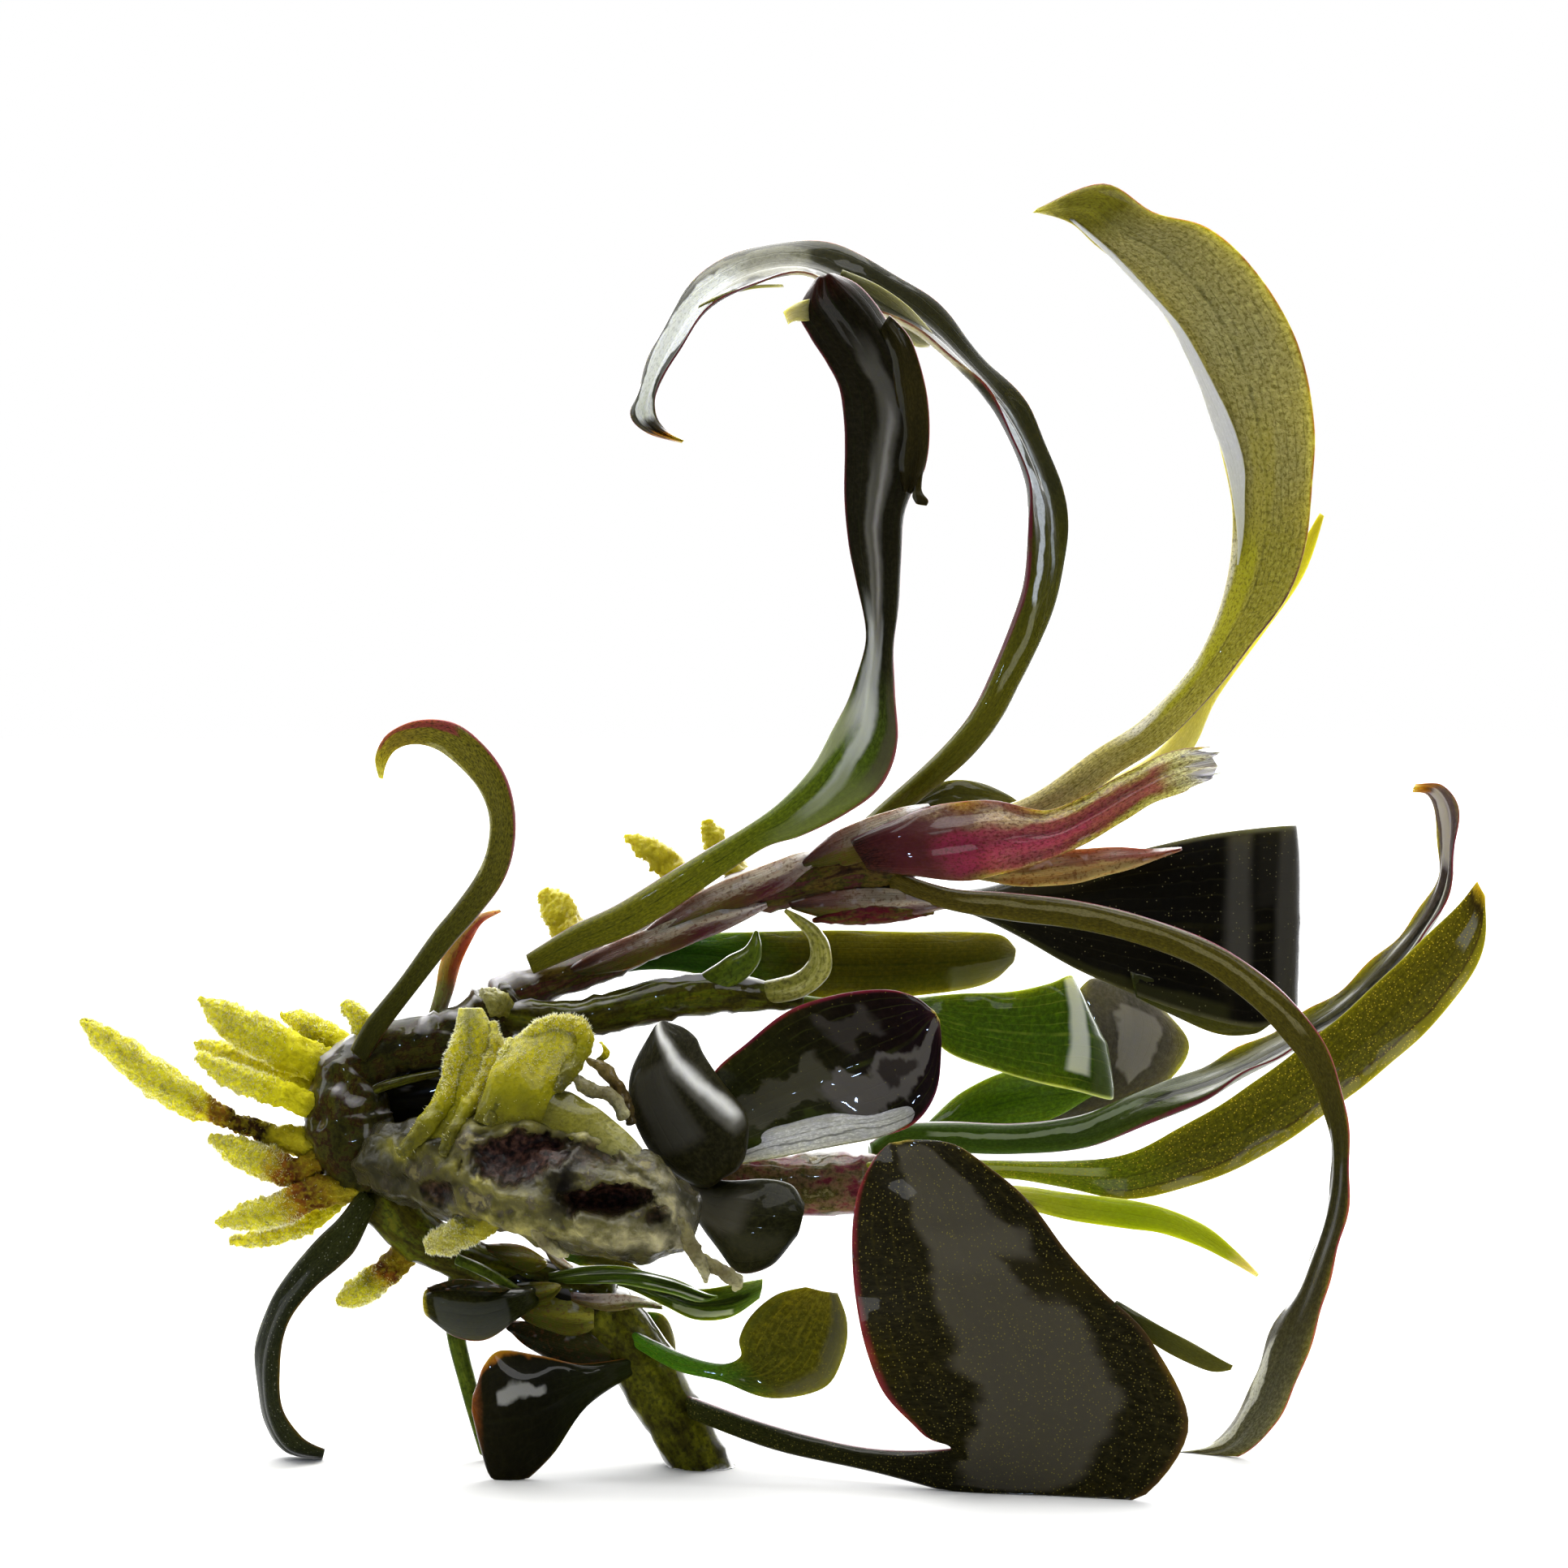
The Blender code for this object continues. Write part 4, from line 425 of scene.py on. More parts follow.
# %% The other leaves in the plan
# the fleshy small leaf leans over the cut end and is drawn along its fold
LEAVES |= {
    "leaf_round": [
        (43, 18.2, 43.4, 17.3, 0, 0), (43.4, 20.6, 45, 18.6, -1.8, 0.4),
        (43.8, 23.5, 48, 19.2, -2.4, 1.4), (46, 25.7, 51.5, 19.7, -2.8, 1.8),
        (48.6, 27.7, 54.4, 20, -2.9, 1.8), (51.5, 28.7, 56.5, 20.9, -2.9, 1.6),
        (54.5, 29, 57.7, 22.8, -2.7, 1.2), (56.3, 28.6, 58, 25.4, -2.4, 0.8),
        (57.5, 27.8, 57.9, 27.1, -2.2, 0.2)],
    "leaf_glossy_small": [
        (41, 17.9, 41.5, 18.6, 0.6, 0), (42, 17.6, 45.6, 19.8, -4, 0.2),
        (40.2, 18.7, 46, 21.2, -5.4, 0.4), (39.2, 20.5, 44.4, 23.4, -5.8, 0.4),
        (38.7, 22.3, 43.3, 25, -5.9, 0.4), (38.8, 24.1, 42.8, 26.1, -5.8, 0.3),
        (39.6, 25.8, 42, 26.8, -5.5, 0.2), (40.7, 26.7, 41.4, 26.9, -5.2, 0)],
    "leaf_lobe": [
        (40.6, 18, 40.6, 17.1, 0.8, 0), (42.5, 17.7, 42.4, 15.8, -2, 0),
        (44.5, 17.3, 43.8, 13.4, -4, 0.4), (46.8, 17.4, 45.3, 11.6, -5.2, 0.6),
        (48.7, 17, 47.5, 12, -5.6, 0.4), (49.6, 15.8, 49.1, 13.8, -5.6, 0)],
    "leaf_broad_front": [
        (42.4, 4, 42.6, 2.6, -3.4, 0), (47.6, 2.2, 47.7, 0.7, -5.4, 0), (53.6, 0.8, 54, -0.7, -8, 0),
        (58.6, 0.9, 61.2, -2.4, -10.4, 0.2), (56.8, 2.2, 69, -2.8, -12, 0.6),
        (54.6, 4.2, 73.2, 2, -12.8, 0.8), (53.4, 7, 71, 7.4, -12.8, 0.8),
        (52.7, 10.3, 68, 10.4, -12.3, 0.8), (52.5, 13.4, 65.7, 12.9, -11.6, 0.8),
        (52.7, 15.8, 63.6, 15.6, -10.8, 0.6), (53.3, 17.4, 61.2, 17.8, -10, 0.4),
        (54, 18.6, 58.8, 19.5, -9.4, 0.2), (54.8, 19.5, 56.2, 19.8, -9, 0)],
    "leaf_yellow_narrow": [
        (53.2, 16.2, 53.4, 15.4, 0.2, 0), (58, 16.6, 58, 15.8, -1.4, 0), (62, 17, 62.4, 15.6, -1.9, 0.1),
        (66, 16.5, 66, 14.8, -1.6, 0.2), (69.5, 16.1, 69.4, 14.3, -1.6, 0.3),
        (72, 15.5, 71.6, 14, -1.6, 0.3), (74.3, 14.5, 73.9, 13.2, -1.4, 0.2),
        (76.1, 13, 75.7, 12.3, -1.1, 0), (77.6, 11.5, 77.4, 11.3, -0.8, 0)],
    "leaf_behind_stem": [
        (34.6, 30, 34.8, 29.2, 1.8, 0), (39, 31.4, 39.3, 30.2, 3.8, 0), (42.3, 32.4, 43, 30, 5, 0.2),
        (46.5, 32.6, 46.8, 28.9, 6, 0.3), (51.5, 32.7, 51.5, 28.4, 7, 0.3),
        (56, 32.6, 56, 28.6, 7.9, 0.3), (59.5, 32.6, 59.3, 29, 8.7, 0.2),
        (61.7, 32.4, 61.3, 29.6, 9.3, 0.1), (62.6, 31.6, 62.4, 30.6, 9.6, 0)],
    "leaf_ribbon": [
        (22.2, 16.8, 23.2, 15.8, -2.4, 0.2), (20.9, 15, 22, 13.2, -3, 0.6), (19.5, 13.6, 20.9, 12, -3, 1),
        (17.9, 11.7, 19.3, 10.6, -2.8, 1.4), (16.5, 9.6, 17.9, 8.9, -2.4, 1.8),
        (15.7, 6.9, 17.2, 6.6, -1.8, 2.2), (15.8, 4.3, 17.1, 4.4, -1.2, 2.6),
        (16.3, 2.2, 17.5, 2.6, -0.8, 3), (17.4, 0.5, 18.5, 1.2, -0.4, 3), (19.8, 0.1, 20, 0.6, 0, 1.4)],
    "leaf_bowl": [
        (33.2, 10.9, 33.4, 9.9, -1.6, 0), (31.4, 10.6, 31.8, 8.6, -4.4, 0.3),
        (29, 10.6, 29.8, 7.4, -5, 0.4), (27, 10.9, 27.7, 7.7, -5, 0.3), (26.1, 10.5, 26.2, 8.9, -4.6, 0)],
    "leaf_low_dark": [
        (39, 6.4, 39.1, 5.4, -2.6, 0), (35.8, 6, 36.1, 3.3, -4.6, 0.4), (33.3, 6.5, 34, 0.2, -5.6, 0.8),
        (30.9, 6.8, 31.7, -1.6, -6.4, 0.8), (29.8, 5.9, 30, -0.8, -6.4, 0.4),
        (29.2, 4.3, 29.1, 2.7, -6, 0)],
    "leaf_low_green": [
        (34.4, 12, 34.5, 11, 0.4, 0), (37.8, 11.8, 38, 10.8, 1.6, 0), (40.8, 11.1, 40.8, 9.6, 2, 0.2),
        (43, 10.6, 42.8, 8.7, 2.2, 0.3), (45.3, 10.9, 45, 8.8, 2.4, 0.2), (47, 11.2, 46.8, 10, 2.6, 0)],
    "leaf_spoon": [
        (38.6, 8.3, 38.7, 7.3, -2.2, 0), (41.8, 6.7, 41.6, 5.6, -4.6, 0), (44.4, 6, 44.4, 4.9, -5.4, 0.2),
        (45.7, 6.5, 47.6, 3.9, -6, 0.4), (45.6, 7.6, 50.8, 4.6, -6.4, 0.6), (46.3, 9, 52, 6.5, -6.6, 0.6),
        (47.8, 10.2, 52.2, 8.5, -6.4, 0.4), (49.6, 10.7, 51.6, 10.3, -6, 0)],
    "leaf_low_olive": [
        (37.8, 8.9, 38.2, 8.1, 0.8, 0), (39.6, 9.2, 38.9, 7.6, 2.4, 0), (41, 8.9, 39.8, 6, 3.2, 0.2),
        (41.7, 7.2, 40.2, 4.5, 3.8, 0.2), (41.4, 4.6, 40.8, 3.8, 4.2, 0)],
    "leaf_low_small": [
        (32.8, 12, 33, 11.3, 0.8, 0), (35, 13, 35.5, 12, 2.8, 0), (37.5, 12.9, 37.7, 11.8, 3.8, 0.2),
        (39.8, 11.6, 39.6, 11.2, 4.6, 0)],
    "leaf_dark_back": [
        (53.6, 38.8, 53.9, 38, 2.6, 0), (56.4, 41, 57, 39.7, 3.8, 0.2),
        (58.3, 41.9, 58.8, 40.1, 4.4, 0.3), (60.5, 41.8, 60.8, 40, 5, 0.3),
        (62.4, 40.9, 62.3, 39.8, 5.6, 0.1), (63.5, 39.7, 63.4, 39.3, 6, 0)],
}
print(len(LEAVES), "leaves")

# %% Sheaths in the plan
# the torn end of the pink one is a little wider than that of its solid
LEAVES |= {
    "sheath_pink": [
        (52.4, 38.3, 53.6, 36.4, -2.4, 0), (55, 39.5, 56.5, 36, -2.6, 0.2),
        (57.7, 40.4, 59.3, 35.7, -2.7, 0.3), (61.1, 40.7, 62, 36.2, -2.5, 0.3),
        (64.4, 40.1, 65.1, 37.2, -2.2, 0.2), (67, 41.1, 67.8, 38.5, -2, 0.2),
        (70.2, 42.8, 70.6, 40.2, -1.7, 0), (72.6, 43.8, 73, 41.2, -1.6, 0),
        (74.2, 43.9, 74.3, 41.7, -1.5, 0)],
    "sheath_tan": [
        (56.6, 37.2, 56.8, 36.5, 1, 0), (59.4, 37, 59.7, 35.9, 1.3, 0), (62.5, 37.1, 62.8, 35.4, 1.4, 0),
        (65.2, 37.6, 65.8, 35.5, 1.5, 0), (68.7, 37.8, 68.8, 36.2, 1.5, 0), (71, 37.7, 71, 36.9, 1.4, 0),
        (72.8, 37.8, 72.8, 37.6, 1.4, 0)],
    "sheath_left": [
        (26.2, 27, 27.2, 26.8, 0.2, 0), (26.8, 29, 27.9, 28.8, 0.8, 0), (27.1, 30.7, 28.4, 30.6, 1, 0),
        (27.9, 32.3, 29.1, 32.1, 1, 0), (29.3, 33.6, 29.8, 33.2, 1, 0), (30.8, 34, 30.9, 33.8, 1, 0)],
}
print(len(LEAVES), "leaves and sheaths")

# %% [markdown]
# ## Smooth lines through the tables
# A table has few rows so that it stays easy to read. Nature has no corners there, so each line is
# rounded with a curve that passes through every row and leaves it in the direction of its
# neighbours. Blender's own curves do the same, but here every column, widths and depths too, is
# smoothed alike.


# %% Smooth rows
def smooth_rows(rows, steps):
    """More rows on one smooth curve through these."""
    rows = np.array(rows, float)
    last = len(rows) - 1
    found = []
    for i in range(last):
        start, end = rows[i], rows[i + 1]
        pull_in = (end - rows[max(i - 1, 0)]) / 2
        pull_out = (rows[min(i + 2, last)] - start) / 2
        for u in np.arange(steps) / steps:
            found.append(start * (2 * u**3 - 3 * u**2 + 1) + pull_in * (u**3 - 2 * u**2 + u)
                         + end * (3 * u**2 - 2 * u**3) + pull_out * (u**3 - u**2))
    found.append(rows[last])
    return np.array(found)


def unit(vectors):
    """Vectors of length one."""
    return vectors / np.maximum(np.linalg.norm(vectors, axis=-1, keepdims=True), 1e-9)


def lengths_along(points):
    """How far along a line each of its points lies, in millimetres."""
    return np.concatenate([[0.0], np.cumsum(np.linalg.norm(np.diff(points, axis=0), axis=1))])


def bumps(points, size, seed, octaves=3):
    """Soft random heights, about -1 to 1, with features of this size in millimetres."""
    shift = Vector((seed * 7.31, seed * 3.17, seed * 5.71))
    return np.array([noise.fractal(Vector(p) / size + shift, 1.0, 2.0, octaves) for p in points])


arch = LEAVES["leaf_long_arch"]
print("a leaf of", len(arch), "rows becomes one of", len(smooth_rows(arch, 7)))

# %% [markdown]
# ## A skin over rings
# Every stem, root and leaf here is one closed skin: a ring of points for each place along it,
# neighbouring rings joined by quads, and both ends closed. The rings could be extruded by hand
# from a circle, and that is what this does. Each point also remembers where on the plant it is,
# (across, millimetres along, share of the way to the tip) and which face of the leaf it lies on,
# because the materials colour a leaf by that and not by its place in the room.


# %% Shapes and pieces
def skin(rings, across, along, share, side):
    """A shape: points, faces and the place of each point on its leaf or stem."""
    count, around = rings.shape[:2]
    number = np.arange(count * around).reshape(count, around)
    nearer, farther = number[:-1], number[1:]
    quads = np.stack([nearer, np.roll(nearer, -1, 1), np.roll(farther, -1, 1), farther], -1)
    faces = [tuple(face) for face in quads.reshape(-1, 4).tolist()]
    faces += [tuple(number[0][::-1].tolist()), tuple(number[-1].tolist())]
    spread = np.ones((count, around))
    places = np.stack([across * spread, along[:, None] * spread, share[:, None] * spread], -1)
    return {"points": rings.reshape(-1, 3), "faces": faces, "places": places.reshape(-1, 3),
            "sides": (side * spread).reshape(-1)}


FLOOR_CLEARANCE = 0.02


def grow(node, parts):
    """One piece from (shape, finish) parts: it stands for the CAD node and moves with the plant."""
    shapes = [shape for shape, _ in parts]
    finishes = list(dict.fromkeys(finish for _, finish in parts))
    faces, marks = [], []
    start = 0
    for shape, finish in parts:
        faces += [tuple(i + start for i in face) for face in shape["faces"]]
        marks += [finishes.index(finish)] * len(shape["faces"])
        start += len(shape["points"])
    points = np.concatenate([shape["points"] for shape in shapes])
    points[:, 2] = np.maximum(points[:, 2], FLOOR_CLEARANCE)
    mesh = bpy.data.meshes.new(node + "_grown")
    mesh.from_pydata((points * MM).tolist(), [], faces)
    for finish in finishes:
        mesh.materials.append(finish)
    mesh.polygons.foreach_set("material_index", marks)
    places = mesh.attributes.new("leaf_place", "FLOAT_VECTOR", "POINT")
    places.data.foreach_set("vector", np.concatenate([shape["places"] for shape in shapes]).ravel())
    sides = mesh.attributes.new("leaf_side", "FLOAT", "POINT")
    sides.data.foreach_set("value", np.concatenate([shape["sides"] for shape in shapes]))
    work = bmesh.new()
    work.from_mesh(mesh)
    bmesh.ops.recalc_face_normals(work, faces=work.faces)
    work.to_mesh(mesh)
    work.free()
    mesh.shade_smooth()
    piece = bpy.data.objects.new(node + "_grown", mesh)
    bpy.context.scene.collection.objects.link(piece)
    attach(piece, "root")
    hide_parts(node)


# %% [markdown]
# ## Leaves
# A leaf starts as a round, slightly grooved stalk and flattens into a blade with a sunken midrib
# on its upper face, a raised one below, and edges that ripple a little. A flat picture on a bent
# plane would look right from one side only. So the cross-section itself changes along the leaf:
# two faces with real thickness between them, more points near the edges and the midrib.

# %% Leaf sections
BLADE_THICK = 0.34
STALK_ROUNDNESS = 0.9
TIP_ROUNDNESS = 0.6
# where the round stalk of a usual leaf ends and where its flat blade begins, as shares of it
USUAL_STALK = (0.10, 0.30)
# how far the middle of a usual blade stands towards the viewer, as a share of its width
USUAL_BOW = 0.08
# a flap or plate has no stalk and is flat from its first row
FLAT_STALK = (-1.0, -0.5)
HALF_ACROSS = (0.0, 0.035, 0.08, 0.14, 0.22, 0.31, 0.41, 0.52,
               0.63, 0.73, 0.82, 0.89, 0.94, 0.975, 0.993, 1.0)
ACROSS = np.array([-x for x in HALF_ACROSS[:0:-1]] + list(HALF_ACROSS))
RING_ACROSS = np.concatenate([ACROSS, ACROSS[-2:0:-1]])
RING_SIDE = np.concatenate([np.ones(len(ACROSS)), -np.ones(len(ACROSS) - 2)])


def ease(value, start, end):
    """0 before start, 1 after end and a smooth rise between them."""
    u = np.clip((np.asarray(value, float) - start) / (end - start), 0.0, 1.0)
    return u * u * (3 - 2 * u)


def leaf_frame(rows):
    """The middle line, the way across, the width and the facing of each section."""
    first = seen(rows[:, 0], rows[:, 1], rows[:, 4] + rows[:, 5] / 2)
    second = seen(rows[:, 2], rows[:, 3], rows[:, 4] - rows[:, 5] / 2)
    middle = (first + second) / 2
    width = np.linalg.norm(second - first, axis=1)
    sideways = unit(second - first)
    facing = unit(np.cross(second - first, np.gradient(middle, axis=0)))
    towards = np.array([0.0, -1.0, 0.0])
    for i in range(len(rows) - 1, -1, -1):
        if facing[i] @ towards < 0:
            facing[i] = -facing[i]
        towards = facing[i]
    for _ in range(4):
        facing[1:-1] = (facing[:-2] + 2 * facing[1:-1] + facing[2:]) / 4
        facing = unit(facing - sideways * (facing * sideways).sum(1, keepdims=True))
    return middle, sideways, width, facing


def leaf_shape(rows, stalk=USUAL_STALK, bow=USUAL_BOW, thick=BLADE_THICK, rib=0.10, ripple=0.12,
               wave=5.0, dent=0.10, pleat=(0, 0.0), ragged=0.0, seed=0.0, steps=7):
    """A leaf from its table. Lengths are in millimetres; a rib below zero stands to the viewer, and
    a pleat is a number of lengthwise folds and their height."""
    rows = smooth_rows(rows, steps)
    share = np.linspace(0.0, 1.0, len(rows))
    middle, sideways, width, facing = leaf_frame(rows)
    along = lengths_along(middle)
    flat = ease(share, *stalk)[:, None]
    half = (width / 2)[:, None]
    u = RING_ACROSS[None, :]
    side = RING_SIDE[None, :]
    round_body = half * STALK_ROUNDNESS * np.sqrt(1 - u**2)
    blade = np.minimum(thick / 2, half * TIP_ROUNDNESS)
    flat_body = blade * (1 - u**2) ** 0.35
    forward = side * (round_body * (1 - flat) + flat_body * flat)
    bowed = bow * width[:, None] * flat
    forward = forward + bowed / 2 - bowed * u**2
    near_rib = np.exp(-((u * half / 0.30) ** 2)) * flat
    forward = forward - rib * near_rib * np.where(side * np.sign(rib) < 0, 1.0, 0.6)
    turns = 2 * math.pi * along[:, None] / wave + seed
    forward = forward + ripple * flat * np.abs(u) ** 3 * np.sin(turns + 1.3 * (u > 0))
    groove = np.exp(-((u / 0.45) ** 2)) * (side > 0) * (1 - flat)
    forward = forward - 0.22 * half * groove
    forward = forward + pleat[1] * flat * np.sin(math.pi * pleat[0] * (u + 1) + share[:, None] * 5.0)
    flat_place = [u * half, along[:, None] * np.ones_like(u), side * 0.3 * np.ones_like(half)]
    flat_place = np.stack(flat_place, -1).reshape(-1, 3) * np.array([1.0, 0.7, 1.0])
    soft = bumps(flat_place, 3.2, seed, 2).reshape(forward.shape)
    forward = forward + dent * soft * np.minimum(half / 2.5, 1.0)
    centre = middle[:, None]
    if ragged:
        torn = bumps(np.stack([u[0] * 2.0, 0 * u[0], 0.1 * side[0]], -1), 0.35, seed, 3)
        pull = ragged * torn[None, :, None] * ease(share, 0.86, 1.0)[:, None, None]
        centre = centre + pull * unit(np.gradient(middle, axis=0))[:, None]
    rings = centre + sideways[:, None] * (u * half)[..., None] + facing[:, None] * forward[..., None]
    return skin(rings, u, along, share, side)


test_leaf = leaf_shape(LEAVES["leaf_tall"])
print("leaf_tall is", round(float(test_leaf["places"][:, 1].max()), 1), "mm long")

# %% [markdown]
# ## Stems and roots
# Stems and roots are round, so they are tubes along a smooth line. The ring at each place is
# turned as little as possible from the one before, which keeps the skin from twisting, and a
# relief function pushes its points in and out: nodes and scars on a stem, crusts on a root.


# %% Tubes
END_TURNS = np.radians([75.0, 50.0, 25.0])
END_STRETCH = 0.45


def tube_shape(rows, steps, around, relief=None):
    """A tube from its table, with rounded ends; relief gives heights in millimetres."""
    rows = smooth_rows(rows, steps)
    centre = seen(rows[:, 0], rows[:, 1], rows[:, 2])
    radius = rows[:, 3]
    way = unit(np.gradient(centre, axis=0))
    ends_back = [centre[0] - way[0] * radius[0] * END_STRETCH * math.sin(t) for t in END_TURNS]
    ends_on = [centre[-1] + way[-1] * radius[-1] * END_STRETCH * math.sin(t) for t in END_TURNS[::-1]]
    centre = np.concatenate([ends_back, centre, ends_on])
    radius = np.concatenate([radius[0] * np.cos(END_TURNS), radius, radius[-1] * np.cos(END_TURNS[::-1])])
    way = np.concatenate([way[:1].repeat(3, 0), way, way[-1:].repeat(3, 0)])
    sideways = np.zeros_like(way)
    latest = unit(np.cross(way[0], (0.0, 1.0, 0.0)))
    for i in range(len(way)):
        latest = unit(latest - way[i] * (latest @ way[i]))
        sideways[i] = latest
    other = np.cross(way, sideways)
    angles = 2 * math.pi * np.arange(around) / around
    turn = angles[None, :, None]
    out = sideways[:, None] * np.cos(turn) + other[:, None] * np.sin(turn)
    along = lengths_along(centre)
    rings = centre[:, None] + out * radius[:, None, None]
    if relief:
        heights = relief(rings.reshape(-1, 3), np.repeat(along, around), np.tile(angles, len(along)))
        rings = rings + out * heights.reshape(len(along), around, 1)
    shape = skin(rings, (angles / math.pi - 1)[None, :], along, along / along[-1], 1.0)
    shape["out"] = out.reshape(-1, 3)
    return shape


example = STEMS["rhizome_main"]
print("a stem of", len(example), "rows becomes", len(tube_shape(example, 9, 40)["faces"]), "faces")

# %% [markdown]
# ## Hairs
# Most roots wear a fur of hairs finer than a hundredth of a millimetre. Particle hair would be
# quick, but it is no mesh and is lost on export. Here each hair is a tapered three-sided spike that
# is joined to its root's mesh. Ones that fine would vanish in the picture, so they are drawn as
# thick as the tufts that real ones form when they are wet.


# %% Hairs
# three corners and a point each, so four faces with the base
HAIR_FACES = ((0, 1, 3), (1, 2, 3), (2, 0, 3), (2, 1, 0))


def hairs(shape, per_mm2, length, thick, seed, keep, droop=0.35):
    """Spikes out of random places of a shape's skin, where `keep` lets them stay."""
    rng = np.random.default_rng(seed)
    quads = np.array([face for face in shape["faces"] if len(face) == 4])
    corners = shape["points"][quads]
    normal = np.cross(corners[:, 2] - corners[:, 0], corners[:, 3] - corners[:, 1])
    area = np.linalg.norm(normal, axis=1) / 2
    count = int(area.sum() * per_mm2)
    chosen = rng.choice(len(quads), count, p=area / area.sum())
    a, b = rng.random((2, count, 1))
    c = corners[chosen]
    root = (c[:, 0] * (1 - a) + c[:, 1] * a) * (1 - b) + (c[:, 3] * (1 - a) + c[:, 2] * a) * b
    up = unit(shape["out"][quads[chosen, 0]]) if "out" in shape else unit(normal[chosen])
    place = shape["places"][quads[chosen, 0]]
    kept = keep(place, rng)
    root, up, place = root[kept], up[kept], place[kept]
    up = unit(up + droop * rng.normal(size=up.shape))
    side = unit(np.cross(up, rng.normal(size=up.shape)))
    other = np.cross(up, side)
    size = length * (0.45 + 0.55 * rng.random((len(root), 1)))
    width = thick * (0.7 + 0.6 * rng.random((len(root), 1)))
    base = root - up * 0.03
    ring = [base + width * (side * math.cos(t) + other * math.sin(t)) for t in (0.0, 2.09, 4.19)]
    points = np.stack([*ring, root + up * size], 1).reshape(-1, 3)
    first = np.arange(len(root)) * 4
    faces = []
    for i, j, k in HAIR_FACES:
        faces += list(zip((first + i).tolist(), (first + j).tolist(), (first + k).tolist()))
    return {"points": points, "faces": faces, "places": place.repeat(4, 0),
            "sides": np.tile([0.0, 0.0, 0.0, 1.0], len(root))}


print("a hair has", len(HAIR_FACES), "faces")

# %% [markdown]
# ## Leaf skin
# A leaf of this plant is a thin slab of green tissue: light from behind comes through it, more
# through the young olive ones and hardly any through the black ones. Subsurface scattering does
# that. Over the skin lies a film of water, which is a coat with the refraction of water, 1.33: it
# gives the sharp white images of the softboxes. Under water the skin itself hardly mirrors,
# because its own refraction, 1.42, is so close to that of the water, so its specular level is
# nearly nothing and black stays black. The constants of such tissue are set in one place, `wet`,
# and every colour that lies over another is laid there by `paint`.

# %% Wet tissue
WATER_IOR = 1.33
LEAF_IOR = 1.42
UNDER_WATER = 0.12
FILM_ROUGHNESS = 0.03
# green tissue lets red and green light travel and stops blue, which makes a lit leaf yellow;
# the red sap of a sheath lets mostly red light travel
GREEN_RADIUS = (1.0, 0.95, 0.18)
SAP_RADIUS = (1.0, 0.6, 0.4)
TISSUE_DEPTH = 0.7 * MM


def tissue(name):
    """A new material, a way to add nodes to it, and where each point is on its leaf or stem."""
    material = bpy.data.materials.new(name)
    material.use_nodes = True
    node = partial(add, material.node_tree)
    return material, node, node("Attribute", attribute_name="leaf_place", give="Vector")


def paint(node, body, *layers):
    """Lays colours over the body's: each layer is where it lies, how strongly, and its colour."""
    for where, strength, shade in layers:
        shade = colour(shade) if isinstance(shade, str) else shade
        amount = node("Math MULTIPLY", where, strength)
        body = node("Mix RGBA", feeds={0: amount, 6: body, 7: shade}, give=2)
    return body


def sheen(node, place, strength):
    """A layer of painted highlight: pale colour laid where the surface faces up, in smooth, broken bands."""
    upward = node("SeparateXYZ", node("NewGeometry", give="Normal")).node.outputs["Z"]
    bands = node("TexNoise", Vector=place, Scale=0.9, Detail=1.5)
    painted_highlight = node("Math MULTIPLY", node("MapRange", upward, 0.35, 0.85), node("MapRange", bands, 0.54, 0.60))
    return painted_highlight, strength, "dcdae2"


def wet(material, node, body, bumps_of, glow, rough, film, radius=GREEN_RADIUS):
    """Fits a colour and bumps, each its height, strength and size in millimetres, and sets the
    constants of wet tissue on the shader's own inputs."""
    shader = material.node_tree.nodes["Principled BSDF"]
    material.node_tree.links.new(body, shader.inputs["Base Color"])
    for socket, (height, strength, size) in bumps_of.items():
        bump = node("Bump", Height=height, Strength=strength, Distance=size * MM)
        material.node_tree.links.new(bump, shader.inputs[socket])
    constants = {"IOR": LEAF_IOR, "Specular IOR Level": UNDER_WATER, "Roughness": rough,
                 "Subsurface Weight": glow, "Subsurface Radius": radius,
                 "Subsurface Scale": TISSUE_DEPTH, "Coat Weight": film, "Coat IOR": WATER_IOR,
                 "Coat Roughness": FILM_ROUGHNESS}
    for name, value in constants.items():
        shader.inputs[name].default_value = value
    return material


print("water bends light", WATER_IOR, "and leaf", LEAF_IOR)
